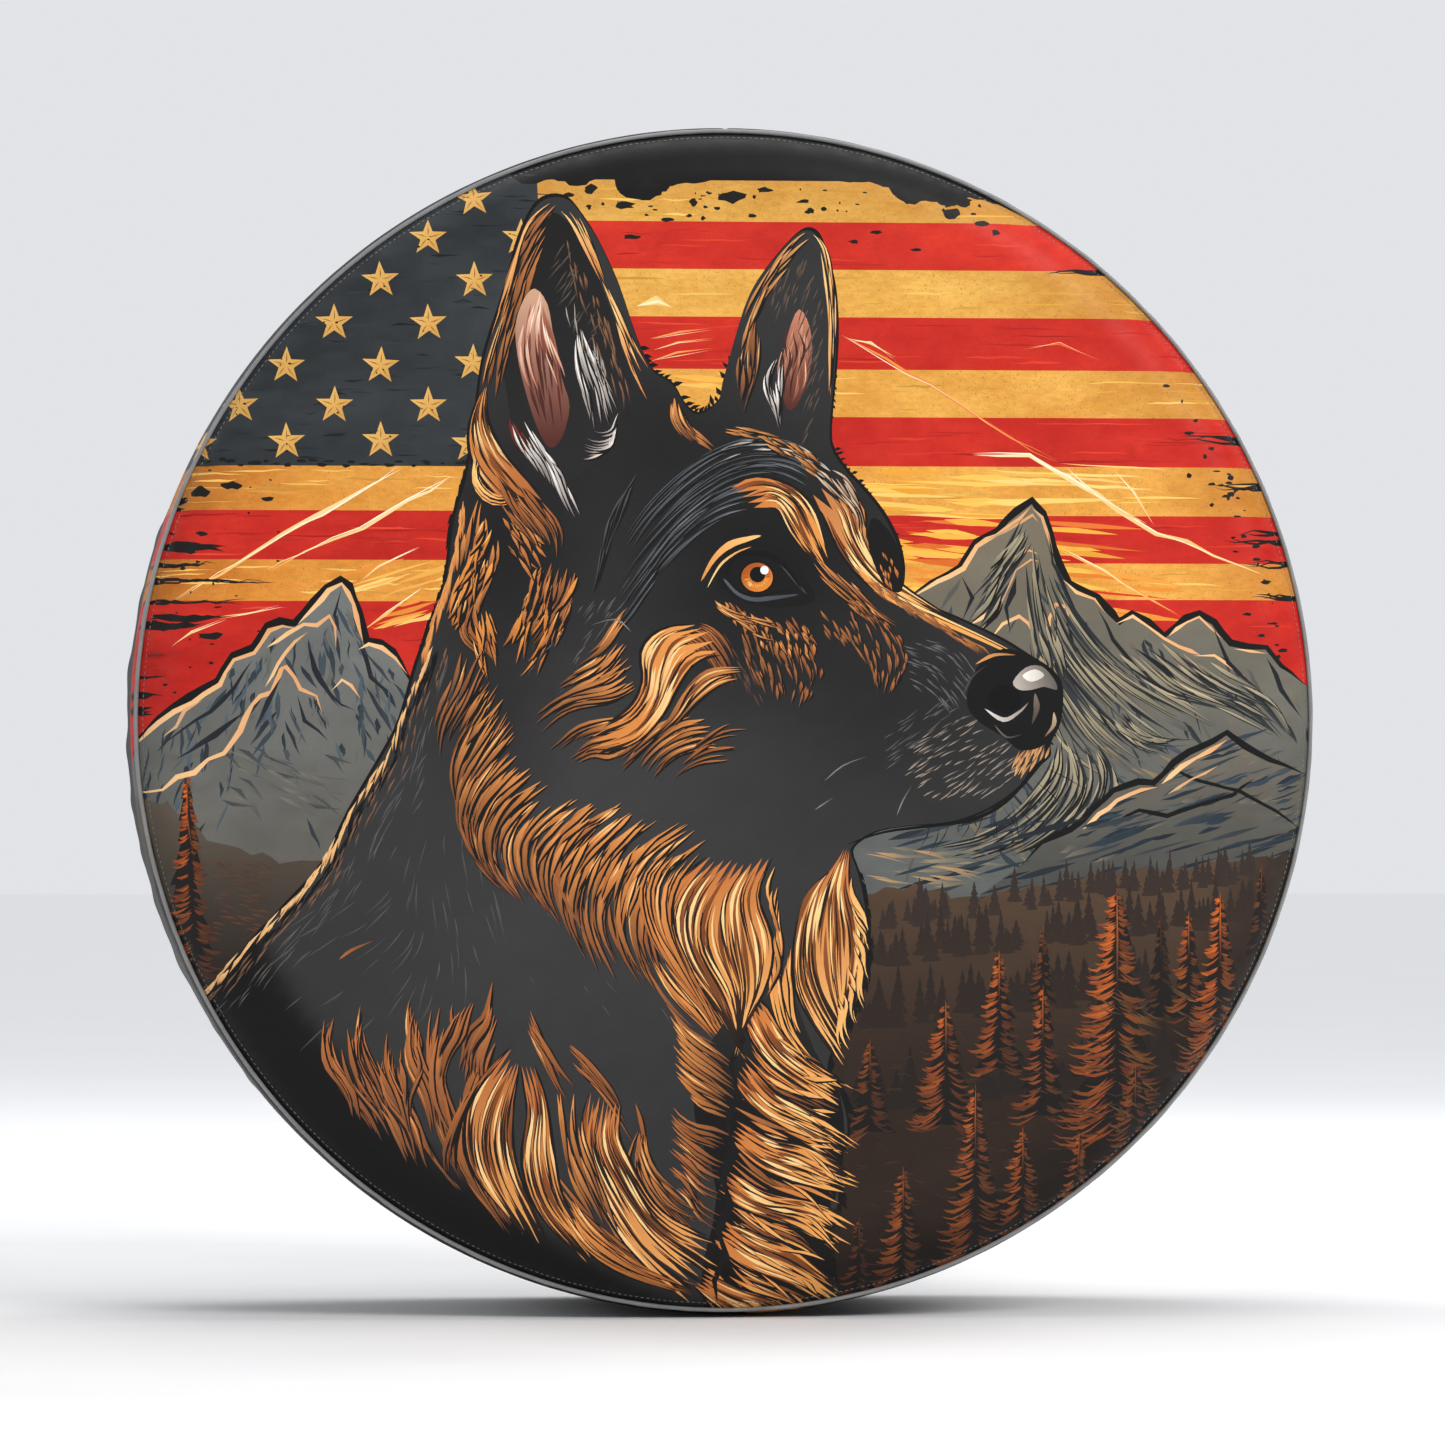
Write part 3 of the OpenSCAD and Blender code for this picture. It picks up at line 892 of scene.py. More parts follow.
# glow behind the head: the stripes break into each other
for row in (
        ((800, 930), (452, 482), 24, (30, 90), 4.0,
         [(246, 190, 84), (240, 168, 60), (250, 204, 110)], 0.03),
        ((815, 940), (484, 512), 26, (26, 90), 4.4,
         [(240, 170, 64), (244, 184, 78), (222, 112, 44)], 0.08),
        ((830, 950), (510, 545), 30, (26, 80), 4.0,
         [(244, 186, 80), (232, 132, 48), (214, 74, 34)], 0.1),
        ((860, 1000), (515, 545), 14, (30, 80), 3.0, [(208, 52, 30), (236, 150, 56)], 0.12),
        ((500, 570), (514, 560), 18, (20, 60), 3.4,
         [(244, 180, 84), (236, 150, 60), (250, 206, 120)], -0.3),
        ((690, 760), (392, 452), 16, (20, 50), 3.4,
         [(244, 176, 74), (236, 150, 54), (250, 200, 100)], 0.1),
        ((905, 985), (448, 470), 8, (30, 70), 2.4, [(250, 205, 120)], 0.05)):
    streaks(*row)


def bolt(path, width, c=(255, 232, 184), c1=(244, 182, 96)):
    """A bright forked streak with a pale core."""
    path = pts(path)
    stroke(rough(resample(path, 16), 1.6, 16), width, c, c1, 0.35, 0.7)
    stroke(rough(resample(path, 14), 1.0, 14), width * 0.35, (255, 250, 226), c, 0.3, 0.6)


for row in (
        ("905,442 942,443 968,458 1000,478 1024,492 1060,506 1094,520", 3.4),
        ("967,452 985,468 1004,480 1018,488", 2.0),
        ("996,453 1008,466 1022,488", 1.6),
        ("962,503 990,516 1016,533 1038,545", 2.6, (252, 200, 100), (232, 120, 48)),
        ("822,368 850,384 880,400 930,432 962,448", 2.0, (240, 150, 70), (230, 110, 50)),
        ("826,371 842,373 858,384", 1.6),
        ("940,376 962,372 988,384", 1.2, (240, 120, 60), (220, 80, 40)),
        ("693,350 706,347 716,352", 7.0, (250, 226, 160), (240, 190, 100)),
        ("544,452 508,476 470,496 430,520 402,538", 3.0),
        ("578,458 548,474 520,490 484,506 458,520", 2.6),
        ("548,490 532,494", 2.0),
        ("556,502 530,516 518,526", 1.8),
        ("560,528 535,544 520,556", 2.4, (250, 206, 130)),
        ("470,540 446,545 430,548", 1.4),
        ("434,548 414,556 402,566", 1.6)):
    bolt(*row)
for y in (368, 374, 381):
    bolt([(702 + shake(3), y + 4), (720, y), (742, y + uniform(-3, 1))], 1.6,
         (252, 190, 110), (236, 110, 60))

# ragged black edge along the top, and nicks
EDGE = pts("""612,262 622,273 640,271 656,275 676,269 681,277 694,284 708,281 716,274 733,273
745,270 770,270 790,268 812,270 832,271 850,274 858,281 866,285 880,283 893,287 905,280 925,284""")
patch("black", rough(smooth(EDGE, 4), 1.1, 3.0)
      + pts("960,300 985,318 990,200 560,200 560,262"))


def nick(x, y, rx, ry, n=11):
    a0 = uniform(0, 6.28)
    shape([(x + rx * math.cos(a0 + 6.283 * k / n) * uniform(0.55, 1.15),
            y + ry * math.sin(a0 + 6.283 * k / n) * uniform(0.5, 1.2)) for k in range(n)],
          (24, 22, 20))


# x, y and half sizes
for row in pts("""753,281,9,5 774,277,6,2.2 799,284,5,1.6 729,285,3,2.6 803,290,4,2 664,277,5,3
686,287,7,2.4 712,296,6,1.4 735,295,2,1.6 690,307,6,2 845,303,5,1.4 831,309,4,1.6 870,314,4,1.2
893,291,7,4 900,283,8,4 878,277,10,5 912,297,5,2 921,303,3,2 700,274,8,4 766,293,3,1.4
650,281,4,2"""):
    nick(*row)
for _ in range(46):
    nick(uniform(640, 930), 276 + abs(rnd.gauss(0, 9)), uniform(0.6, 2.6), uniform(0.5, 1.5), 7)
for x0, x1, y in pts("""956,990,327 1062,1098,463 1066,1110,498 1080,1112,512 1085,1118,533
1074,1100,492 1040,1075,433"""):
    for _ in range(3):
        stroke(rough([(x0 + uniform(-4, 6), y + shake(2)), ((x0 + x1) / 2, y + shake(2)),
                      (x1 + 22, y + uniform(-2, 3))], 1.2, 7), uniform(1.5, 4.5), (22, 20, 19),
               peak=0.8)
for _ in range(60):
    rnd.random()                                     # only moves the sequence of draws on
    a = math.radians(uniform(-38, 8))
    r = 356 - abs(rnd.gauss(0, 9))
    nick(GRID_X + r * math.cos(a), GRID_Y + r * math.sin(a), uniform(0.8, 4), uniform(0.6, 1.8), 7)
for x0, x1, y, width in pts("""376,470,525,2.2 380,452,538,2.0 395,438,548,6.0 384,422,552,7.0
400,436,504,7.0 380,428,514,3.0 372,398,596,6.0 372,392,606,7 374,396,585,3"""):
    for _ in range(3):
        stroke(rough([(x0 - 8, y + shake(1.5)), ((x0 + x1) / 2, y + shake(1.5)),
                      (x1 + uniform(-8, 3), y + shake(1.5))], 1.2, 6),
               width * uniform(0.5, 1), (24, 22, 21), peak=0.3)
for row in pts("""419,469,6,4 438,465,7,3 407,474,4,3 461,473,5,1.4 404,479,6,2 420,495,4,1.6
412,505,7,3.5 430,541,3,1 398,470,3,3 425,559,10,3"""):
    nick(*row)
for _ in range(30):
    nick(uniform(388, 470), uniform(455, 600), uniform(0.6, 2.4), uniform(0.5, 1.3), 7)

# canton: mottled cloth and five-pointed stars
for _ in range(150):
    x, y = uniform(400, 625), uniform(262, 448)
    c = rnd.choice([(38, 48, 54), (24, 28, 30), (48, 56, 58), (30, 40, 48)])
    stroke([(x, y), (x + 6, y + shake(1)), (x + uniform(10, 26), y + shake(1))],
           uniform(0.8, 2.2), c)
for x in range(410, 610, 7):
    nick(x + shake(3), 450 + shake(2), uniform(2, 5), uniform(0.8, 2), 7)
for x, y in pts("""591,283 562,308 532,335 591,335 503,362 562,362 620,308 473,389 532,389
590,387 444,414 503,414 562,414 620,362 418,438 473,437 532,436 588,438 619,414"""):
    a0 = -math.pi / 2 + shake(0.05)
    star = []
    for k in range(10):
        r = 4.9 if k % 2 else 12.2
        star.append((x + r * math.cos(a0 + k * math.pi / 5), y + r * math.sin(a0 + k * math.pi / 5)))
    shape(star, (232, 184, 102), (206, 152, 74), (x - 8, y - 8), (x + 8, y + 8))
    for k in range(5):
        a = a0 + k * 2 * math.pi / 5
        stroke([(x + 1.0 * math.cos(a), y + 1.0 * math.sin(a)),
                (x + 4 * math.cos(a + 0.05), y + 4 * math.sin(a + 0.05)),
                (x + 9 * math.cos(a), y + 9 * math.sin(a))], 0.9, (140, 100, 54))
    for _ in range(3):
        nick(x + shake(7), y + uniform(-6, 7), uniform(0.5, 1.5), uniform(0.3, 0.9), 6)


# - mountains
def ridge(path, width, c0=(250, 206, 150), c1=(226, 164, 110)):
    stroke(rough(resample(pts(path), 7), 0.7, 7), width, c0, c1, flat=True, jitter=0.35)


def outline(path, width=4.6):
    stroke(rough(resample(pts(path), 8), 0.5, 8), width, (16, 15, 15), flat=True, jitter=0.2)


def cracks(lines, widths, c0, c1):
    for path in paths(lines):
        stroke(rough(resample(path, 9), 0.9, 9), uniform(*widths), c0, c1, 0.35)


def skyline(points, x):
    return np.interp(x, [p[0] for p in points], [p[1] for p in points])


PEAK_RIGHT = pts("""862,536 880,524 898,514 908,498 922,491 934,479 944,472 951,480 955,492
962,512 968,524 985,534 995,543 1000,549 1008,543 1018,549 1028,557 1036,552 1042,546 1051,543
1060,549 1071,562 1082,564 1094,565 1104,577 1125,590""")
patch("rock", smooth(PEAK_RIGHT, 3) + pts("1150,600 1150,760 800,760 800,560"))
for _ in range(210):                                 # rock strokes run down from the ridge
    x = uniform(850, 1125)
    y = uniform(500, 690)
    if y < skyline(PEAK_RIGHT, x) + 7:
        continue
    side = -1 if x < 944 - (y - 470) * 0.1 else 1
    dx = side * uniform(0.2, 0.8)
    l = uniform(8, 26)
    path = [(x + dx * l * k / 4 + shake(0.8), y + l * k / 4) for k in range(5)]
    lit = rnd.random()
    c = ((98, 94, 86) if lit < 0.3 else (122, 110, 90) if lit < 0.45
         else (38, 44, 50) if lit < 0.75 else (58, 68, 76))
    stroke(path, uniform(1.0, 4.2), vary(c, 8), vary(mix(c, (60, 66, 70), 0.5), 6))
outline(PEAK_RIGHT)
for row in (("868,534 884,524 900,516 909,501 922,494 936,483 944,476", 2.6),
            ("944,476 950,483 954,494 958,506", 1.6, (210, 170, 130)),
            ("915,498 926,493 937,487 944,482 948,486", 1.4, (176, 150, 124)),
            ("904,552 916,544 922,530 929,517 935,508 942,503 949,506", 2.4),
            ("908,556 920,546 927,531 934,516 943,510 949,511", 1.2, (190, 160, 130)),
            ("918,560 926,551 936,546 942,550 946,560", 2.0),
            ("952,566 955,546 960,538 966,540 968,548", 2.2),
            ("964,522 972,530 984,535 992,544", 2.0),
            ("997,550 1008,545 1018,552 1028,560 1038,565 1052,570", 2.0),
            ("1031,558 1042,549 1050,546 1058,552 1066,560", 1.8),
            ("1047,570 1060,570 1072,577 1080,583", 1.8),
            ("1072,566 1084,567 1094,569", 1.6)):
    ridge(*row)
cracks("""955,492 958,512 966,530 976,552 990,575 1010,598
948,512 946,530 950,548
966,545 972,570 984,585
935,520 928,540 930,556
985,540 996,560 1012,580 1040,590
1010,566 1030,580 1048,604
1060,552 1070,575 1085,590 1092,604
1036,578 1052,584 1070,596
1000,606 1014,622 1032,634
900,520 906,534 900,548
1094,572 1104,592 1118,610
992,582 1008,604 1030,618
962,560 964,578
976,560 982,574""", (2.2, 4.4), (24, 27, 31), (34, 38, 44))
# fans of light rock below the nose
field = flow(pts("""968,610,0.5,1 1000,640,1,0.5 930,660,-0.3,1 960,690,1,0.4 880,690,1,0.1
1040,650,1,0.5"""))
for _ in range(90):
    p = (uniform(868, 1030), uniform(604, 700))
    c = rnd.choice([(142, 122, 94), (112, 106, 96), (74, 84, 92), (54, 62, 70), (160, 134, 98)])
    stroke(trace(p, field, uniform(12, 36), 5, 0.5), uniform(1.4, 4.6), vary(c, 8),
           mix(c, (58, 64, 68), 0.6))
# long folds of the rock, light beside dark
INK = (34, 37, 40)
for guides, n in (("""950,488 968,532 1004,576 1066,612
946,500 956,560 988,606 1034,640
940,512 944,580 964,628 996,652""", 22), ("""940,480 918,516 892,544
944,500 926,534 908,562""", 9), ("""958,540 964,576 972,600
940,556 950,580 958,600""", 7), ("""960,616 950,648 914,682 868,692
966,624 972,656 950,684 912,702
984,618 1000,642 996,662 970,684""", 22), ("""992,566 1024,592 1064,604 1100,624
1040,560 1070,580 1098,600 1116,624""", 12), ("""1000,600 1020,620 1052,622
980,600 1006,630 1030,636""", 8)):
    strands(guides, n, 2.6, (INK, (60, 64, 66)), (0.3, 0.7), light=0, dark=0)
    strands(guides, n + 4, 2.8, ((176, 162, 130), (112, 108, 96)), (0.2, 0.5), light=0.08,
            dark=1.0, cream=(214, 190, 148))
    strands(guides, n // 2, 1.6, (INK, INK), (0.3, 0.7), light=0, dark=0)
strands("""846,690 876,694 908,692 936,700
846,704 876,706 906,704 936,708
852,718 880,718 910,716""", 18, 2.4, ((150, 136, 104), (84, 88, 88)), (0.2, 0.5), light=0, dark=0)
# nearer ridge at lower right
NEAR_RIDGE = pts("""936,704 950,689 968,680 976,674 996,656 1012,650 1022,651 1034,638 1044,631
1060,624 1068,619 1080,627 1096,636 1125,646""")
patch("valley", NEAR_RIDGE + pts("1150,700 1150,800 900,800 900,730"))
for _ in range(80):
    x = uniform(960, 1115)
    y = skyline(NEAR_RIDGE, x) + abs(rnd.gauss(0, 26)) + 5
    c = rnd.choice([(86, 92, 94), (120, 112, 98), (58, 72, 84), (34, 46, 56)])
    l = uniform(12, 36)
    stroke([(x + l * k / 4, y - l * k / 4 * 0.35 + shake(1)) for k in range(5)],
           uniform(1.2, 4), c, mix(c, (36, 46, 54), 0.6))
outline(NEAR_RIDGE, 4.0)
outline("996,676 1012,668 1030,672 1052,664 1072,658 1086,648", 2.6)
outline("1030,640 1052,650 1076,656 1100,668 1118,680", 2.2)
ridge("976,680 998,662 1014,655 1024,654", 2.4)
ridge("1026,652 1040,640 1058,630 1068,624", 2.6)
ridge("1030,658 1046,648 1062,640", 1.6, (212, 174, 130))
for _ in range(70):                                  # cool haze under the ridge
    x, y = uniform(850, 1110), uniform(676, 730)
    c = rnd.choice([(44, 58, 68), (36, 46, 54), (58, 66, 70), (30, 38, 46)])
    l = uniform(14, 44)
    stroke([(x + l * k / 4, y - l * k / 4 * 0.28) for k in range(5)], uniform(1.5, 5), c,
           mix(c, (34, 42, 48), 0.5))
for _ in range(10):
    x, y = uniform(838, 885), uniform(690, 712)
    stroke([(x, y), (x + 12, y + 2), (x + uniform(20, 36), y + uniform(3, 9))],
           uniform(1.4, 3.4), (206, 158, 104), (120, 110, 96))

PEAK_LEFT = pts("""366,640 376,629 393,611 402,604 413,598 421,592 430,588 439,571 452,567
461,553 469,550 478,551 490,538 499,529 507,523 512,527 518,543 523,562 532,563 540,569 549,583
560,600""")
patch("rockleft", smooth(PEAK_LEFT, 3) + pts("600,640 600,820 340,820 340,650"))
for _ in range(190):
    x = uniform(375, 560)
    y = skyline(PEAK_LEFT, x) + 7 + abs(rnd.gauss(0, 42))
    if y > 680:
        continue
    dx = uniform(-0.3, 0.8) if x > 470 else uniform(-0.9, 0.1)
    l = uniform(8, 24)
    path = [(x + dx * l * k / 4 + shake(0.7), y + l * k / 4) for k in range(5)]
    c = rnd.choice([(86, 98, 106), (50, 60, 68), (40, 48, 54), (112, 110, 100), (66, 78, 86),
                    (36, 42, 48)])
    stroke(path, uniform(1.2, 4.2), vary(c, 8), vary(mix(c, (62, 70, 76), 0.5), 6))
for _ in range(40):
    x, y = uniform(430, 500), uniform(628, 664)
    c = rnd.choice([(124, 120, 108), (104, 104, 98), (60, 66, 70)])
    stroke([(x, y), (x + 7, y + 3), (x + uniform(12, 26), y + uniform(4, 16))],
           uniform(1.4, 3.4), c, (80, 80, 78))
outline(PEAK_LEFT, 5.2)
for row in (("376,630 393,613 403,606 414,601 422,595 431,590 440,574 453,570 462,556 470,553 "
             "480,555", 2.8),
            ("480,552 490,541 500,531 507,526 512,532 517,546 521,562", 2.6),
            ("518,568 524,564 533,566 541,573 549,584", 2.4),
            ("396,622 404,616 410,606 420,600", 2.0, (214, 176, 136)),
            ("461,566 474,558 484,552 492,552 500,547 503,553 504,566", 2.4),
            ("376,657 396,656 404,647 416,645 424,637 434,632 444,618 452,602 456,597 464,594 "
             "470,580 473,578 482,592 492,597 496,609", 3.0),
            ("460,592 468,576 478,562 486,556", 1.8),
            ("501,594 508,586 514,590 520,598", 2.2),
            ("529,602 538,611", 2.2)):
    ridge(*row)
cracks("""507,530 504,546 508,562
452,574 440,592 426,606 408,618 392,632
470,584 462,600 452,618
486,562 490,580 500,596 516,606
446,606 428,622 404,636
520,566 526,584 540,600
480,596 484,612 500,624""", (2.4, 4.6), (26, 30, 34), (38, 44, 50))

# - mist and forest
patch("forest", rough(pts("""826,722 870,716 900,724 950,716 990,708 1040,704 1080,700
1150,690"""), 2, 6) + pts("1150,1030 780,1030 780,722"))
patch("forestleft", rough(pts("340,664 376,660 400,664 430,690 470,700 520,700"), 2, 6)
      + pts("520,830 340,830"))


def spikes(x0, x1, y0, slope, n, height, width, c0, c1):
    """A row of distant treetops."""
    for _ in range(n):
        x = uniform(x0, x1)
        y = y0 + (x - x0) * slope + shake(4)
        h, w = height * uniform(0.5, 1.2), width * uniform(0.7, 1.2)
        right = []
        for k in range(1, 5):
            right += [(x + w * k / 4 * 0.55, y - h + h * k / 4 * 0.9),
                      (x + w * k / 4 * 0.3, y - h + h * k / 4 * 0.92)]
        left = [(2 * x - a, b) for a, b in right[::-1]]
        shape([(x, y - h)] + right + left, c0, c1, (x, y - h), (x, y))


spikes(838, 1100, 744, -0.13, 80, 22, 8, (50, 42, 39), (54, 43, 38))
spikes(838, 1096, 768, -0.12, 80, 26, 10, (46, 37, 33), (50, 38, 32))
spikes(832, 1090, 806, -0.1, 70, 30, 13, (41, 33, 29), (44, 34, 29))
spikes(826, 1060, 860, -0.1, 60, 34, 15, (34, 28, 26), (37, 30, 26))


def pine(x, y0, y1, half, n, bright, lean=0.0, both=0.45, tone=((246, 122, 44), (206, 92, 34))):
    """A conifer lit from the left: a dark body, and n boughs sweeping down and out.

    both is the share of boughs on the right."""
    h = y1 - y0
    body = [(x, y0)]
    for k in range(1, 10):
        t = k / 9
        r = half * (0.12 + 0.88 * t) * uniform(0.8, 1.1)
        body += [(x + r, y0 + h * t), (x + r * 0.62, y0 + h * t - 1)]
    for k in range(9, 0, -1):
        t = k / 9
        r = half * (0.12 + 0.88 * t) * uniform(0.8, 1.1)
        body += [(x - r * 0.62, y0 + h * t - 1), (x - r, y0 + h * t)]
    shape(body, (30, 25, 23), (24, 21, 20), (x, y0), (x, y1))
    stroke([(x, y0 - 4), (x + shake(0.4), y0 + h * 0.2), (x + lean, y0 + h * 0.5)], 1.8,
           mix(tone[0], DARK, 1 - bright), DARK, 0.2)
    for k in range(n):
        t = (k + rnd.random()) / n
        side = 1 if rnd.random() < both else -1
        r = half * (0.16 + 0.95 * t) * uniform(0.55, 1.1) * (0.75 if side > 0 else 1)
        y = y0 + h * t
        drop = r * uniform(0.25, 0.6)
        start = x + lean * t + side * r * uniform(0, 0.3)
        path = [(start, y)] + [(start + side * r * out, y + drop * down) for out, down in
                               ((0.3, 0.5), (0.62, 0.85), (0.85, 0.8), (1, 0.62))]
        b = bright * (1 - 0.45 * t) * (0.6 if side > 0 else 1.0) * uniform(0.75, 1.1)
        c = mix((34, 27, 24), rnd.choice(tone), max(0, min(1, b)))
        stroke(path, uniform(1.3, 2.9), c, mix((34, 27, 24), c, 0.75), 0.45)


# x, tip, foot, half width, boughs, brightness
for x, tip, foot, half, n, bright in pts("""1091,705,760,10,30,0.45 1026,738,800,12,26,0.3
951,743,790,9,34,0.5 1044,735,800,14,54,0.8 1064,723,830,22,110,1.0 923,760,832,17,74,0.85
998,721,870,34,190,0.95 951,782,862,17,64,0.85 889,791,868,22,80,0.85 841,815,872,16,50,0.6
908,844,950,22,100,0.78 938,871,936,18,70,0.75 862,896,962,17,80,0.72 974,875,935,16,60,0.7
834,927,975,12,36,0.4 1010,830,900,24,60,0.55"""):
    pine(x, tip, foot, half, int(n), bright)
for _ in range(70):                                  # low scrub in the dark
    x, y = uniform(985, 1060), uniform(780, 900)
    if math.hypot(x - GRID_X, y - GRID_Y) > 352:
        continue
    stroke([(x, y), (x + 7, y + 4), (x + uniform(12, 20), y + uniform(6, 10))],
           uniform(1, 2), (116, 84, 48), (50, 38, 28))
for _ in range(120):
    x, y = uniform(830, 1000), uniform(800, 965)
    stroke([(x, y), (x + 6, y + uniform(-2, 3)), (x + uniform(9, 18), y + uniform(-2, 4))],
           uniform(0.8, 1.6), (72, 52, 40), (38, 30, 26))
pine(411, 648, 770, 17, 120, 0.95, 6.0, 0.6, ((240, 112, 34), (190, 84, 28)))
pine(389, 688, 770, 14, 44, 0.5, 0.0, 0.6, ((190, 90, 36), (140, 66, 28)))
for _ in range(50):
    x, y = uniform(425, 456), uniform(700, 745)
    stroke([(x, y), (x + 5, y + 1), (x + uniform(8, 14), y + 3)], uniform(0.8, 1.6),
           (104, 66, 44), (58, 44, 38))

# - dog: outline and coat
BODY = pts("""640,281 650,283 658,292 669,309 682,337 694,372 704,391 716,399 724,412 733,418
745,410 748,398 753,380 762,350 770,334 782,318 794,305 802,301 809,305 814,318 819,337 821,363
820,389 818,410 817,436 826,452 838,465 850,480 859,497 863,515 862,531 868,535 884,541 903,549
926,560 942,570 956,579 962,588 963,600 961,614 955,626 955,634 946,642 939,652 928,661 912,670
892,676 868,678 848,681 836,687 830,694 834,706 838,722 841,745 840,765 836,785 822,812 815,832
824,850 828,872 820,892 822,915 816,938 818,960 822,1000 700,1012 560,980 450,880 410,800
421,791 449,752 473,726 496,700 512,668 533,632 544,610 554,575 566,545 572,524 577,485 584,462
588,440 591,420 594,395 598,376 606,352 612,332 617,312 624,295 631,285""")
ring = smooth(BODY, 3, True)
shape([(x + (x - 720) * 0.004, y + (y - 640) * 0.003) for x, y in ring], (15, 14, 14))


def fringe(path, out, n, lengths, width, lean):
    """Short dark tufts that break an outline; out is the side they point to."""
    q = resample(smooth(pts(path), 4), 3)
    for _ in range(n):
        i = rnd.randrange(1, len(q) - 1)
        dx, dy = heading(q[i - 1], q[i + 1])
        nx, ny = -dy * out, dx * out
        l = uniform(*lengths)
        x, y = q[i][0] - nx * 3, q[i][1] - ny * 3
        ex, ey = nx * (1 - lean) + dx * lean, ny * (1 - lean) + dy * lean
        stroke([(x, y), (x + ex * l * 0.5 + nx * 0.6, y + ey * l * 0.5 + ny * 0.6),
                (x + ex * l, y + ey * l)], width * uniform(0.7, 1.3), (15, 14, 14), peak=0.3)


for row in (
        ("588,440 584,462 577,485 572,524 560,560 548,600", 1, 90, (8, 17), 5, 0.72),
        ("694,372 704,391 716,399 727,414 738,415 747,402 753,380", -1, 46, (6, 13), 3.4, 0.35),
        ("818,437 838,465 859,497 863,520", -1, 60, (3, 8), 2.6, 0.25),
        ("598,376 592,410 588,445", 1, 30, (5, 10), 3.2, 0.6),
        ("834,700 841,745 836,785 815,832", -1, 46, (8, 18), 4.2, 0.7),
        ("815,832 827,860 820,892 822,915 816,938 818,970", -1, 60, (9, 20), 4.6, 0.62),
        ("962,612 955,630 946,642 935,656", -1, 26, (3, 6), 1.8, 0.2),
        ("821,345 821,389 818,430", -1, 24, (3, 6), 1.8, 0.5)):
    fringe(*row)
patch("coat", [(x - (x - 700) * 0.010, y - (y - 600) * 0.004) for x, y in ring])
# soft lights on the dark coat
hairs("470,760 520,690 560,620 600,640 620,720 560,800 470,800",
      "500,740,-1,0.7 560,640,-0.7,1 600,720,0.3,1", 60, 26, 1.1, (88, 88, 88), (58, 58, 59))
hairs("640,700 760,700 780,760 700,800 620,780", "700,740,0.6,0.8", 26, 14, 0.9,
      (84, 84, 85), (56, 56, 57))

# - left ear: rim, bowl and inner fur
blob("""628,300 638,292 648,296 660,312 672,340 684,372 692,392 684,420 664,452 640,462 618,440
612,410 608,380 612,348 618,322""", (26, 25, 25), (36, 35, 36))
strands("""596,404 602,374 611,342 618,316 627,297 640,285
602,408 608,380 615,352 621,328 631,308 644,293
608,412 612,386 619,358 626,334 636,316 648,300""", 30, 2.3, ((120, 74, 44), (196, 122, 66)),
        (0.16, 0.34), light=0.06, dark=1.0, cream=(240, 184, 116))
strands("""595,402 601,374 610,342 617,315 626,296 640,284
597,404 603,376 612,344 619,318 628,299 641,287""", 9, 1.9, ((214, 138, 74), (250, 196, 126)),
        (0.3, 0.5), light=0.2, dark=0.6)
strands("""643,283 656,293 668,316 680,346 692,376 707,402
640,287 652,299 664,324 676,354 688,386 702,412""", 17, 1.9, ((250, 202, 130), (206, 126, 66)),
        (0.16, 0.34), light=0.2, dark=0.8)
hairs("648,304 660,322 676,358 690,398 678,404 664,366 650,330", "652,310,0.2,1 680,390,0.25,1",
      40, 15, 1.3, (164, 112, 74), (60, 48, 42))
hairs("640,300 654,318 668,352 676,384 660,360 646,330", "650,320,-0.7,1", 22, 14, 0.9,
      (110, 98, 88), (44, 42, 40))
# warm bowl of the ear
blob("""629,340 637,350 641,372 646,396 651,414 646,434 638,440 630,426 623,404 618,382 617,362
622,347""", (206, 160, 132), (84, 42, 36), (630, 346), (638, 436))
BOWL = paths("""627,342 620,364 621,390 634,426
632,342 631,368 634,396 641,434
634,346 641,372 647,400 649,428""")
strands(BOWL, 18, 2.8, ((170, 104, 84), (92, 46, 40)), (0.3, 0.6), light=0, dark=0)
strands(BOWL, 12, 2.2, ((92, 48, 40), (60, 32, 28)), (0.3, 0.6), (0.25, 1), light=0, dark=0)
strands(BOWL, 13, 1.9, ((248, 218, 190), (190, 124, 100)), (0.3, 0.55), (0.0, 0.75), light=0.2,
        dark=0, cream=(255, 244, 226))
strands("""613,420 618,436 628,450 636,460
620,424 626,440 634,452 642,462""", 7, 3.0, ((124, 48, 40), (66, 30, 28)), light=0)
PALE = (255, 252, 248)
strands("""655,372 656,392 660,414 667,440
659,362 664,386 672,406 679,428
661,372 670,390 680,404 684,414""", 22, 2.1, WHITE, (0.35, 0.7), light=0.3, cream=PALE)
strands("""684,416 678,426 668,430 662,426
682,426 676,438 668,442 660,438
674,440 668,446 663,448 658,446""", 10, 1.7, WHITE, (0.5, 0.9), light=0.2)
strands("""615,426 621,442 631,458 642,472
622,418 632,440 643,460 655,486
640,452 648,462 655,474 658,486""", 16, 2.1, WHITE, (0.3, 0.65), light=0.3, cream=PALE)
hairs("644,330 660,360 676,392 664,380 648,350", "650,340,0.1,1", 14, 18, 0.9,
      (226, 214, 204), (90, 84, 80))
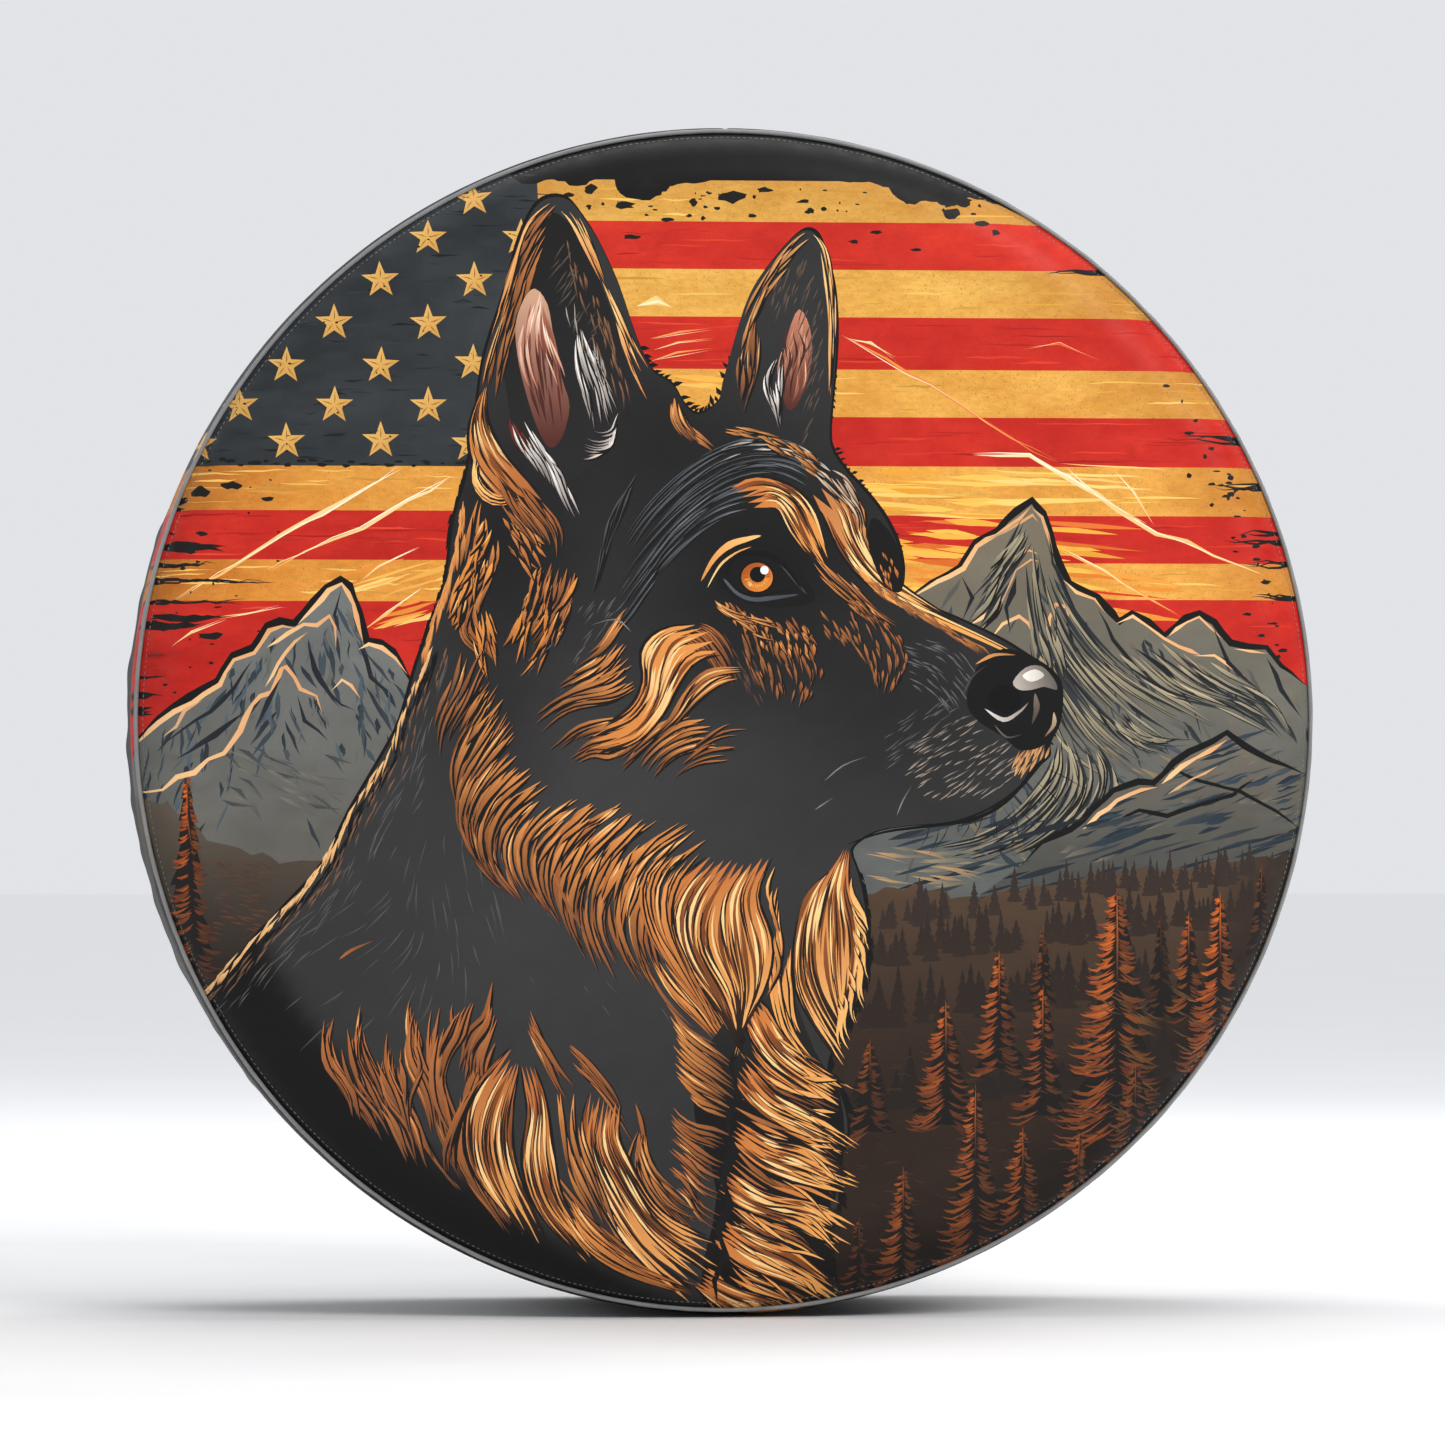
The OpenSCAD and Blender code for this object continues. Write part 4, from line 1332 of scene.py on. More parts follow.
# root of the ear
clump("""594,404 589,428 592,452 604,470 620,482
600,402 599,424 606,442 618,454 634,470""", ((222, 148, 76), (176, 102, 52)), 7, 5, 4, shine=1.8)
strands("""590,440 590,462 602,476 622,474
594,448 596,462 606,470 622,468""", 4, 2.0, ((250, 196, 118), (226, 150, 80)), (0.7, 0.9),
        light=0.3)
strands("""598,456 606,474 620,490 632,508
620,458 634,472 644,492 646,512""", 16, 2.6, BROWN, (0.35, 0.6), light=0.08)
strands("""592,470 586,494 580,518 573,546
600,476 596,502 589,528 580,558
608,486 606,510 598,534 589,560""", 24, 2.7, GOLD_BROWN, (0.25, 0.5), light=0.14)
strands("""640,510 633,530 625,548 618,566
650,514 643,536 634,556 624,574
661,514 656,532 646,550 634,566""", 24, 2.3, (BROWN[0], (96, 60, 40)), (0.3, 0.6), light=0.03)
strands("""586,540 582,556 592,568 600,580
594,538 596,554 604,566 608,578""", 8, 2.4, BROWN, light=0.05)
# - right ear
strands("""756,380 762,352 772,333 784,317 795,306 804,301
760,392 766,366 775,346 786,330 797,318 805,309""", 20, 1.9, ((150, 92, 52), (236, 176, 108)),
        (0.18, 0.36), light=0.2, dark=1.0)
strands("""803,302 811,310 816,328 819,352 819,386 815,440
801,305 808,314 812,332 815,354 815,386 811,440""", 10, 1.8, ((252, 212, 142), (206, 132, 70)),
        (0.2, 0.4), light=0.2, dark=0.7)
blob("796,352 803,364 804,384 799,404 791,416 786,408 785,390 789,368", (196, 128, 100),
     (84, 42, 34), (798, 356), (790, 414))
strands("""794,354 786,374 784,394 788,412
799,358 803,376 801,396 792,414""", 13, 1.9, ((226, 166, 132), (104, 52, 42)), (0.3, 0.6),
        light=0.1, dark=0.0)
strands("""790,360 785,376 783,396 786,410
796,362 798,380 796,398 791,412""", 7, 1.6, ((74, 38, 32), (50, 30, 28)), (0.3, 0.6), light=0,
        dark=0)
strands("""781,382 775,396 776,412 783,428
788,386 784,402 785,416 788,430""", 12, 1.7, WHITE, (0.4, 0.7), light=0.2, cream=PALE)
hairs("778,330 800,318 812,340 812,400 800,440 806,380 796,350 780,350",
      "794,330,-0.4,1 806,400,-0.5,1", 60, 13, 1.1, (120, 98, 80), (46, 42, 40))
strands("""762,368 758,388 756,404 752,420
774,352 770,376 768,398 764,420""", 14, 1.9, ((176, 108, 60), (92, 60, 40)), (0.25, 0.5),
        light=0.06)

# - crown and brow: cool grey hairs over black, then the warm mask
CROWN = paths("""822,456 794,436 762,432 732,444 704,470 686,496
816,462 790,446 760,446 730,462 702,490 684,518
806,466 782,456 754,460 724,482 700,510 680,536
784,470 764,468 742,476 716,498 696,524 678,546
760,482 744,488 724,504 706,524 690,544 676,560""")
strands(CROWN, 110, 1.5, ((26, 26, 27), (30, 30, 31)), (0.25, 0.5), light=0, dark=0)
strands(CROWN, 78, 1.25, ((96, 102, 108), (56, 59, 62)), (0.2, 0.42), light=0.1, dark=0.9,
        cream=(140, 148, 152))
strands(CROWN[:2], 16, 1.6, ((206, 196, 184), (92, 94, 96)), (0.12, 0.26), (0.0, 0.5),
        light=0.2, dark=0.9)
strands("""690,462 676,486 668,512 664,536
700,448 688,470 678,496 672,524""", 12, 1.2, ((84, 88, 92), (52, 54, 56)), (0.25, 0.5), light=0)
strands("""712,404 716,420 724,434 736,446
722,414 730,428 740,438 752,444""", 9, 2.6, GOLD_BROWN, (0.4, 0.7), light=0.2)
strands("""750,424 776,430 800,442 820,458
746,430 770,438 794,448 814,462""", 24, 2.1, ((232, 156, 82), BROWN[1]), (0.12, 0.24), light=0.25)
clump("""752,464 772,457 792,466 806,484 816,506
760,470 776,466 791,477 802,492 812,510
768,478 780,478 789,488 798,500 806,512""", ((206, 124, 60), (232, 156, 80)), 11, 7, 5, shine=1.5,
      cut=1.3)
clump("""800,470 812,482 820,498 832,516 850,532 880,546
814,464 826,478 832,496 842,514 860,530 890,546
828,464 838,478 838,496 848,516 868,532 900,550""", ((196, 126, 70), (240, 172, 96)), 13, 10, 4,
      shine=1.7, cut=1.3)
strands("""812,450 826,460 838,474 840,492
804,456 816,464 826,476 830,494""", 14, 1.8, ((214, 190, 166), (150, 112, 80)), (0.3, 0.6),
        light=0.2)
strands("""800,508 812,524 828,540 850,556
814,508 828,524 846,540 870,554""", 16, 2.0, GOLD_BROWN, (0.3, 0.5), light=0.1)
sweep("832,514 842,525 857,536 876,545 900,555 922,565 938,573", 4.0, (232, 150, 76),
      (246, 176, 92), 0.22, 0.6)
sweep("846,527 866,537 890,548 914,559 934,569", 1.5, (255, 222, 158), (250, 190, 110), 0.3, 0.6)
for _ in range(64):
    t = rnd.random()
    x, y = 836 + 84 * t, 520 + 50 * t + uniform(-1, 5)
    stroke([(x, y), (x + 5, y + 3), (x + uniform(9, 15), y + uniform(7, 11))],
           uniform(0.9, 2.0), vary((206, 128, 66), 10), (90, 60, 42))
# far brow, dark socket of the far eye
blob("842,484 850,488 858,500 862,516 861,530 852,528 845,516 840,500", (18, 17, 17))
hairs("846,500 858,512 858,528 848,520", "850,510,0.3,1", 12, 8, 1.6, (216, 134, 64),
      (140, 84, 44))
# near eye
blob("740,516 748,504 762,499 776,500 790,508 802,524 806,536 790,540 772,540 756,535 746,526",
     DARK)
sweep("734,524 742,510 752,501 764,497 772,495", 4.6, (224, 146, 74), (250, 200, 126), 0.5, 0.6)
sweep("738,528 746,514 756,506 766,502", 1.6, (255, 226, 164), (226, 150, 80), 0.4, 0.6)
sweep("748,522 757,531 768,535 782,534 796,532", 3.6, (84, 90, 98), (66, 70, 76), 0.4, 0.5)
sweep("776,506 786,514 794,524 801,532", 2.2, (84, 90, 98), (60, 62, 66), 0.4, 0.5)


def disc(x, y, r, n, c0, c1=None, squash=1.0):
    shape([(x + r * math.cos(6.2832 * k / n), y + squash * r * math.sin(6.2832 * k / n))
           for k in range(n)], c0, c1, (x - r, y - r), (x + r * 0.4, y + r))


EYE_X, EYE_Y = 769.5, 521
disc(EYE_X, EYE_Y, 11.6, 22, (14, 13, 13), squash=0.94)
disc(EYE_X, 521.3, 10.0, 22, (150, 70, 26), (236, 140, 50), squash=0.92)
for k in range(26):
    a = 6.2832 * k / 26 + shake(0.08)
    c = (255, 190, 86) if math.sin(a) > 0.1 else (196, 96, 34)
    stroke([(EYE_X + rx * math.cos(a), EYE_Y + ry * math.sin(a))
            for rx, ry in ((4.6, 4.4), (6.8, 6.2), (9.4, 8.6))], 1.2, c, mix(c, (120, 50, 20), 0.5))
disc(769.8, 519.6, 5.0, 16, (12, 11, 12))
disc(774.2, 516.8, 2.7, 12, (255, 252, 246))
disc(765.2, 526.0, 1.2, 8, (240, 190, 130))
sweep("749,520 756,509 766,506 778,508 788,515 798,529", 4.2, (13, 12, 12), None, 0.5, 0.5)
sweep("750,522 758,530 769,533 781,531 792,528", 2.2, (13, 12, 12), None, 0.5, 0.5)
# below the eye
UNDER_EYE = paths("""742,530 752,546 762,566 770,592
758,540 770,556 778,578 781,602
776,546 790,562 796,584 793,606
796,546 808,562 810,582 802,600""")
strands(UNDER_EYE, 60, 1.9, ((176, 106, 56), (104, 66, 42)), (0.12, 0.26), light=0.0, dark=1.2)
strands(UNDER_EYE, 38, 2.0, ((226, 148, 76), (150, 92, 50)), (0.14, 0.28), (0.0, 0.55),
        light=0.12, dark=1.2)
strands("""738,528 748,538 764,546 784,550
744,540 756,550 770,558 786,562""", 12, 1.7, ((238, 166, 90), (160, 98, 52)), (0.3, 0.5),
        light=0.15, dark=1.0)
hairs("748,556 764,560 772,600 756,590", "756,566,0.5,1", 20, 11, 1.2, (110, 76, 54),
      (60, 50, 46))
strands("""816,532 830,548 838,568 842,594
832,536 848,552 854,574 850,598
846,544 860,558 864,574 858,592""", 46, 1.8, ((190, 114, 58), (96, 62, 42)), (0.1, 0.22),
        light=0.02, dark=1.0)
hairs("806,540 828,548 834,566 812,556", "816,550,0.6,1", 14, 12, 1.8, (196, 120, 60),
      (92, 60, 40))
# - cheek
fur("630,512 642,516 640,536 628,548 620,560 618,546 626,530", "636,516,-0.4,1 624,548,-0.3,1",
    20, 20, 2.6, shine=0.1)
fur("658,514 650,534 634,556 626,570 636,566 652,544", "654,518,-0.5,1", 14, 20, 2.4, shine=0.08)
fur("596,482 606,490 604,510 592,530 580,548 578,528 588,504", "600,488,-0.4,1 584,534,-0.3,1",
    26, 22, 2.8)
fur("608,484 624,486 632,500 620,512 610,500", "614,488,0.6,0.8", 16, 15, 2.2, (FUR_TAN,),
    shine=0.03)
fur("592,546 602,540 604,556 596,570 590,562", "598,546,0.2,1", 12, 20, 2.4)
hairs("640,540 690,520 690,560 650,590 626,580", "664,550,-0.6,0.8", 30, 12, 1.0,
      (104, 100, 96), (60, 60, 60))
strands("""724,548 738,552 752,566 760,582
716,560 734,568 746,584 748,598""", 12, 2.2, BROWN, light=0.04)
strands("""688,540 676,556 660,570 648,580
692,562 676,576 658,590 640,602
694,576 672,588 650,596 626,612
696,590 676,600 652,606 630,622""", 30, 2.8, GOLD_BROWN, light=0.2)
strands("""700,604 680,610 656,616 634,632
704,616 684,624 664,626 646,640
698,628 680,634 664,634 652,644""", 20, 2.6, GOLD_BROWN, light=0.14)
strands("""752,630 738,628 720,634 706,648
740,612 720,616 704,630 692,646
726,604 706,616 688,630 668,638""", 24, 2.6, GOLD_BROWN, light=0.16)
strands("""752,638 736,640 722,646 712,652
768,612 752,614 736,622 726,632""", 8, 1.8, BROWN, light=0.0)
clump("""728,551 708,556 697,568 697,586 690,602 678,612
740,556 718,562 708,580 703,600 690,618 670,624
748,570 730,574 718,590 710,608 696,624 674,632""", ((232, 152, 78), (214, 134, 66)), 9, 12, 5,
      shine=2.2)
strands("""758,578 738,580 724,592 714,608 700,622
768,586 748,588 732,598 722,610 712,622""", 9, 2.6, GOLD_BROWN, light=0.3)
# - muzzle
for row in (
        ("860,556 900,566 912,590 890,600 866,588", "870,566,1,0.35 900,590,0.6,0.8",
         50, 13, 1.1, (118, 116, 116), (52, 52, 53)),
        ("866,626 900,610 930,632 936,648 912,662 880,664 862,648",
         "880,640,1,-0.6 916,646,1,-0.75 900,622,0.9,-0.5",
         84, 12, 1.05, (186, 168, 150), (80, 75, 72)),
        ("848,620 880,600 900,612 872,640 850,646", "870,620,1,-0.7",
         34, 13, 0.9, (110, 106, 103), (58, 56, 56)),
        ("930,640 944,632 950,620 954,634 944,644 932,654", "940,640,0.5,-1",
         26, 12, 1.8, (236, 176, 112), (150, 104, 66))):
    hairs(*row)
for path in paths("""812,650 824,640 840,634
858,672 862,662 868,652
806,668 812,664 818,660
690,556 680,548 664,552"""):
    sweep(path, 1.0, (150, 146, 142), (90, 88, 86), per=3)
# short dark lines at the chin and lip, from x0, y0 to x1, y1
for x0, y0, x1, y1 in pts("""880,674,872,694 886,675,878,698 893,674,880,696 906,671,898,688
914,668,904,690 924,664,938,688 930,660,936,692 944,648,966,668 950,640,980,656 930,662,950,684
918,668,922,690"""):
    stroke([(x0, y0), ((x0 + x1) / 2 + 1.5, (y0 + y1) / 2), (x1, y1)], 1.0, (22, 21, 21), None, 0.2)
# lip line and nose
sweep("826,690 850,682 880,678 906,674 926,664 942,648 954,634", 2.6, (10, 10, 10), None, 0.5, 0.5)
blob("""904,590 912,574 926,566 942,570 955,579 962,590 962,604 958,618 950,628 936,630 926,622
910,612 903,602""", (15, 15, 16))
blob("932,587 940,578 950,577 958,585 960,592 952,590 944,592 936,592", (190, 180, 168),
     (90, 84, 80), (934, 590), (960, 582))
blob("938,583 946,579 952,583 944,587", (250, 246, 240), (206, 198, 188))
sweep("908,576 920,570 934,570", 2.4, (226, 158, 88), (180, 120, 70))
sweep("914,604 926,611 936,606 942,600", 3.0, (232, 224, 214), (140, 132, 126), 0.3)
sweep("920,614 928,622 938,620", 1.4, (120, 112, 106), (60, 58, 56))
sweep("946,594 947,604 944,614", 4.2, (128, 110, 96), (70, 60, 54))
sweep("958,606 958,614 952,622", 3.0, (206, 176, 146), (120, 96, 76))
blob("916,596 924,589 934,592 938,600 930,607 920,605", (6, 6, 7))
sweep("900,596 906,584 916,576", 1.4, (78, 76, 76), (50, 50, 50))
# - ruff and neck
RUFF = paths("""588,552 578,576 570,600 566,622
606,578 589,600 577,626 574,652
614,604 594,632 582,658 584,682 596,704
622,632 600,652 590,674 594,700 612,722
636,650 615,667 606,686 609,706 622,728
664,656 640,674 627,693 628,714 641,738
694,664 667,688 654,711 651,732 656,752 666,774
720,674 694,696 682,719 677,740 682,760 698,784
740,686 714,709 704,730 704,752 714,780 732,802""")
strands(RUFF[:4], 34, 2.3, (BROWN[0], (96, 60, 38)), (0.4, 0.7), light=0.05)
strands(RUFF[2:], 60, 2.6, BROWN, (0.4, 0.7), (0.3, 1.0), light=0.04)
strands(RUFF[1:5], 38, 2.5, GOLD_BROWN, (0.35, 0.6), (0.0, 0.8), light=0.10)
strands(RUFF[3:], 74, 2.9, GOLD_BROWN, (0.4, 0.7), (0.0, 0.86), light=0.16)
strands(RUFF[5:], 46, 3.0, ((236, 158, 84), GOLD[1]), (0.3, 0.55), (0.05, 0.6), light=0.34)
strands("""700,760 716,784 734,806 752,822
712,742 730,770 746,794 760,816""", 14, 3.2, GOLD, light=0.3)
# - chest: dark ground, then the crossing strands, then the two full locks
blob("""758,790 778,770 790,780 806,820 822,848 824,884 816,930 814,976 760,1004 734,970 744,910
730,862 734,826""", (44, 43, 42), (17, 16, 16), (760, 780), (770, 860))
strands("""713,788 731,811 756,830
716,806 733,826 757,842
717,822 731,836 758,852
720,842 732,856 758,864""", 22, 3.2, GOLD_BROWN, (0.6, 0.95), light=0.3)
strands("""716,852 731,866 758,874
714,866 730,884 752,892
712,884 728,902 748,914
716,906 732,924 748,940""", 20, 2.8, BROWN, (0.6, 0.95), light=0.12)
CHEST = paths("""766,780 780,806 799,822 818,832
762,806 776,828 798,844 822,856
758,830 774,850 798,862 826,874
754,856 774,868 799,878 824,892
752,880 774,894 800,902 822,920
748,906 772,924 800,936 820,952
742,934 766,950 796,962 820,978
736,958 756,972 784,984 806,996
728,976 744,988 762,998 780,1008""")
strands(CHEST, 64, 3.0, BROWN, (0.4, 0.8), light=0.08)
strands(CHEST, 40, 3.0, ((206, 126, 62), (226, 148, 78)), (0.3, 0.6), light=0.2)
for guides, n in (("""736,958 758,970 786,980 812,996
728,968 750,984 778,996 800,1008""", 6), ("""748,926 770,938 796,946 820,966
740,940 762,954 788,966 812,980""", 7), ("""752,896 774,908 800,914 823,924
746,908 768,922 794,932 818,942""", 7), ("""758,862 778,876 802,882 825,894
750,876 770,892 796,902 820,910""", 7), ("""762,826 780,846 802,858 827,874
754,840 774,860 798,872 822,886""", 8), ("""770,786 784,808 802,824 822,838
760,800 776,824 796,842 820,856""", 8)):
    clump(guides, ((206, 122, 60), (240, 170, 92)), n + 2, n - 1, 5, shine=1.9, reach=1.16)
strands(CHEST, 34, 2.6, ((232, 154, 80), (246, 184, 108)), (0.25, 0.5), (0.25, 1.05), light=0.2)
for k in range(5):
    x, y = 757 - k * 2.6, 812 + k * 34 + shake(3)
    stroke([(x, y - 12), (x + 3, y + 2), (x - 4, y + 18), (x - 1, y + 34)], uniform(5, 8),
           DARK, (24, 23, 22))
strands("""782,744 778,774 782,804 800,828
794,752 790,782 797,806 813,824""", 15, 3.2, (GOLD[0], (244, 178, 100)), (0.4, 0.7), light=0.3)
clump("""818,704 801,722 794,748 794,778 804,800 818,822
824,692 812,722 808,750 812,778 824,806
828,692 828,718 838,744 834,772 822,800""", ((196, 116, 58), (242, 178, 104)), 20, 10, 9,
      shine=2.0)
strands("""830,708 832,726 842,742
832,730 836,748 843,762
832,750 834,768 841,786
826,772 828,790 832,808
818,792 820,808 824,824""", 13, 3.0, ((238, 168, 94), (250, 196, 120)), (0.7, 1.0), light=0.3)
clump("""738,696 720,712 712,734 722,762 742,790 757,818
756,700 741,726 738,752 750,782 757,816
779,698 771,722 779,748 774,776 759,814""", ((198, 118, 60), (242, 178, 102)), 27, 12, 9,
      shine=2.0)
strands("""716,690 698,712 700,742 716,772 738,798
738,694 718,716 714,742 728,770 746,798""", 15, 3.0, GOLD, (0.4, 0.8), light=0.3)
strands("""780,700 776,716 783,736
783,730 785,750 782,772
780,752 782,770 774,792""", 9, 2.4, ((238, 168, 94), GOLD[1]), (0.7, 1.0), light=0.2)
# - shoulder flames and lower locks
for guides, n, width in (("""497,790 494,812 506,838 520,866
506,800 505,822 517,850 536,878""", 7, 3.2), ("""518,782 518,806 522,830 530,852
524,796 524,816 530,838 541,862""", 6, 3.0), ("""536,806 536,830 545,856 560,882 580,906
546,818 546,840 556,866 570,890 592,914""", 9, 3.2), ("""551,786 549,806 551,824 546,840
556,800 556,816 555,832 551,850""", 5, 2.8), ("""566,784 560,812 562,846 570,874 584,902
572,800 568,826 570,852 578,880 596,908""", 9, 3.2), ("""577,782 576,800 584,812 582,832
586,796 584,812 590,824 588,846""", 6, 2.8), ("""602,774 599,794 586,806 582,824
604,788 598,806 590,820 586,840""", 6, 2.8), ("""626,790 634,810 642,828 656,842
624,804 630,820 640,836 650,852""", 7, 2.8), ("""648,812 664,824 676,842 684,860
654,830 668,844 680,862 694,880""", 8, 2.6), ("""598,812 590,832 584,852 588,876
606,812 600,832 594,852 594,878""", 7, 2.8)):
    strands(guides, n + 2, width, ((184, 110, 58), (116, 70, 42)), (0.5, 0.85), light=0.08,
            slip=0.12)
for guides, n, width in (("""494,806 497,826 508,844 514,862
502,806 506,828 516,846 524,868""", 5, 3.6), ("""510,800 511,822 520,842 526,866
520,800 520,824 530,844 538,870""", 6, 3.8), ("""530,826 536,848 548,868 556,892
540,822 545,846 558,868 570,896""", 7, 3.8), ("""551,796 548,822 556,846 562,872
560,790 556,818 564,842 574,872""", 6, 3.6), ("""568,800 563,828 568,854 580,880
580,810 574,836 580,862 592,888""", 7, 3.8), ("""584,786 576,804 568,818 566,836
592,790 584,808 576,822 574,842""", 6, 3.2), ("""600,780 596,800 588,816 586,838
608,792 602,812 596,828 596,850""", 6, 3.0)):
    strands(guides, n, width, ((190, 114, 60), (120, 72, 42)), (0.55, 0.95), light=0.12, slip=0.1,
            cream=(238, 170, 100))
strands("""506,812 510,838 526,862 536,886
522,812 530,842 546,868 560,896
560,800 562,826 552,850 556,880""", 12, 2.8, (BROWN[0], (104, 64, 40)), (0.3, 0.5), light=0.0)
strands("""570,840 574,870 590,900 618,930
590,840 590,870 602,900 622,926""", 12, 2.8, BROWN, (0.35, 0.6), light=0.06)
strands("""584,858 580,884 590,908 612,934
596,864 596,890 606,914 628,940""", 12, 3.0, BROWN, light=0.1)
strands("""660,846 654,878 664,912 684,944 712,970
700,868 690,890 700,914 724,936 738,950
690,850 700,880 712,904 732,922""", 44, 2.8, BROWN, (0.35, 0.7), light=0.08)
strands("""622,898 640,922 668,944 700,962 734,978
640,892 660,920 686,944 712,958 738,968""", 26, 3.2, BROWN, (0.3, 0.6), light=0.08)
clump("""616,816 592,842 584,868 590,896 616,926
616,826 602,852 598,876 606,902 624,932
618,826 614,856 616,880 622,902 634,934""", ((188, 112, 60), (232, 162, 90)), 17, 6, 5, shine=1.9)
clump("""621,828 624,858 621,888 632,918 656,948
627,828 638,858 642,888 646,914 664,946""", ((190, 112, 58), (224, 150, 80)), 10, 6, 4)
clump("""664,846 660,876 668,910 686,942 720,974
676,850 670,878 682,908 704,936 734,958
684,852 680,874 694,900 712,922 738,936""", ((196, 118, 62), (238, 168, 96)), 21, 9, 8, shine=1.9)
strands("""648,900 662,928 690,950 724,966
642,920 662,944 692,962 730,976""", 16, 3.4, GOLD, (0.4, 0.8), light=0.3)
strands("""700,870 704,892 718,908 736,918
694,880 698,900 712,916 732,928""", 10, 2.6, GOLD_BROWN, (0.5, 0.9), light=0.2)
strands("""640,838 646,866 650,898 664,926
652,846 652,872 660,902 676,932
662,846 660,874 668,900 684,934""", 15, 3.0, GOLD_BROWN, (0.35, 0.65), light=0.15)
strands("""606,826 590,850 578,874 580,900
590,842 578,862 570,884 576,910""", 8, 2.8, BROWN, (0.5, 0.8), light=0.05)
for path in paths("""700,768 712,788 730,806
712,790 726,806 744,816
506,762 514,756 528,750
640,706 650,728 662,748"""):
    sweep(path, 2.2, (178, 106, 58), (112, 70, 42), per=3)


def backline(path, n, length, width, c0, c1, off):
    """Hairs of light or dark along the back."""
    q = resample(smooth(path, 4), 3)
    for k in range(n):
        i = 1 + int((k + uniform(0, 1)) / n * (len(q) - 4))
        a = q[i]
        dx, dy = heading(a, q[i + 1])
        x, y = a[0] + uniform(*off), a[1] + shake(1)
        l = length * uniform(0.5, 1.2)
        stroke([(x, y), (x + dx * l * 0.5 + dy * 0.4, y + dy * l * 0.5 - dx * 0.4),
                (x + dx * l + dy * 2.0, y + dy * l - dx * 2.0)], width * uniform(0.6, 1.3),
               vary(c0, 8), c1, 0.35)


def moved(path, dx, dy):
    return [(x + dx, y + dy) for x, y in path]


SPINE = pts("""566,560 556,584 546,606 536,634 514,668 498,700 474,728 450,752 428,776
404,798""")
backline(moved(SPINE, 3.5, 2), 110, 17, 2.2, (15, 14, 14), (15, 14, 14), (-2, 3))
backline(SPINE, 52, 16, 2.2, (250, 206, 140), (214, 150, 92), (-0.8, 1.4))
backline(SPINE[4:], 20, 20, 1.8, (246, 206, 146), (206, 150, 96), (-2.4, 1.0))
backline(moved(SPINE, 6, 2), 60, 15, 1.5, (150, 104, 70), (70, 58, 50), (-2, 7))
backline(pts("584,470 580,496 574,524 566,548 556,578"), 46, 18, 2.4, (236, 166, 92),
         (176, 104, 54), (-1.0, 2.5))
backline(moved(SPINE, 14, 8), 60, 22, 1.0, (110, 106, 102), (60, 60, 60), (-4, 14))

# --- the face's own surface


def pucker(th):
    """Small irregular folds where the seam takes up the cloth."""
    return (np.sin(71 * th + 1.3 * np.sin(5 * th) + 2.0) * 0.5
            + np.sin(113 * th + 2.1 * np.sin(3 * th + 1)) * 0.3
            + np.sin(47 * th + 1.7 * np.sin(7 * th + 2)) * 0.35)


def swell(x, z):
    """The cloth's slack over the tyre: broad, shallow waves."""
    r = np.hypot(x, z)
    th = np.arctan2(z, x)
    tyre = np.exp(-((r - 0.345) / 0.075) ** 2) * 0.0011      # where the sidewall pushes it out
    sag = -0.0007 * np.exp(-(r / 0.2) ** 2)
    waves = 0.00055 * fbm(x * 8 + 3.1, z * 8 + 1.7, 0, 2, 5) * step(0.43 - r, 0.0, 0.05)
    pulls = (0.00030 * np.sin(9 * th + 0.8 * np.sin(2 * th + 1))
             * np.exp(-((r - 0.385) / 0.03) ** 2))
    return tyre + sag + waves + pulls


def face_surface(x, z):
    """The outside of the face at (x, z)."""
    r = np.maximum(np.hypot(x, z), 1e-9)
    th = np.arctan2(z, x)
    rr = np.clip(r, 0, SEAM_R)
    a = np.arcsin(np.clip((rr - FLAT_R) / SHOULDER, 0, 0.999))
    nr, ny = np.sin(a), -np.cos(a)
    y = SHOULDER_Y - SHOULDER * np.cos(a)
    edge = SEAM_R - rr
    d = swell(x, z) + 0.00034 * pucker(th) * np.exp(-edge / 0.012) * (1 - np.exp(-edge / 0.0012))
    d = d - 0.00055 * np.exp(-((edge - 0.0033) / 0.0016) ** 2)     # drawn down by the stitching
    d = d * step(edge, -0.0001, 0.004)
    return np.stack([x + x / r * nr * d, y + ny * d, z + z / r * nr * d], -1)


def face_normals(x, z):
    h = 2e-4
    a = face_surface(x + h, z) - face_surface(x - h, z)
    b = face_surface(x, z + h) - face_surface(x, z - h)
    n = unit(np.cross(b, a))
    n[n[:, 1] > 0] *= -1
    return n


# --- the picture as a triangle mesh, made tile by tile
TILE = 16.0
RIM = SEAM_R / GRID                                  # the seam's radius on the grid
RIM_STEPS = 1080


def clip(poly, lo, hi, axis):
    """The part of a polygon between two lines, and the most times it crosses one of them."""
    most = 0
    for bound, sign in ((lo, 1), (hi, -1)):
        out = []
        if len(poly) < 3:
            return [], most
        crossed = 0
        p = poly[-1]
        dp = (p[axis] - bound) * sign
        for q in poly:
            dq = (q[axis] - bound) * sign
            if (dp >= 0) != (dq >= 0):
                crossed += 1
                t = dp / (dp - dq)
                r = [p[0] + (q[0] - p[0]) * t, p[1] + (q[1] - p[1]) * t]
                r[axis] = bound
                out.append((r[0], r[1]))
            if dq >= 0:
                out.append(q)
            p, dp = q, dq
        poly = out
        most = max(most, crossed)
    return poly, most


def contains(poly, P):
    """Whether each point of P is inside a polygon, by the even-odd rule."""
    a = np.array(poly)
    b = np.roll(a, 1, 0)
    x, y = P[:, 0][:, None], P[:, 1][:, None]
    up = (a[:, 1][None] > y) != (b[:, 1][None] > y)
    dy = np.where(b[:, 1] == a[:, 1], 1.0, b[:, 1] - a[:, 1])
    xx = (b[:, 0] - a[:, 0])[None] * (y - a[:, 1][None]) / dy[None] + a[:, 0][None]
    return (np.sum(up & (x < xx), 1) % 2).astype(bool)


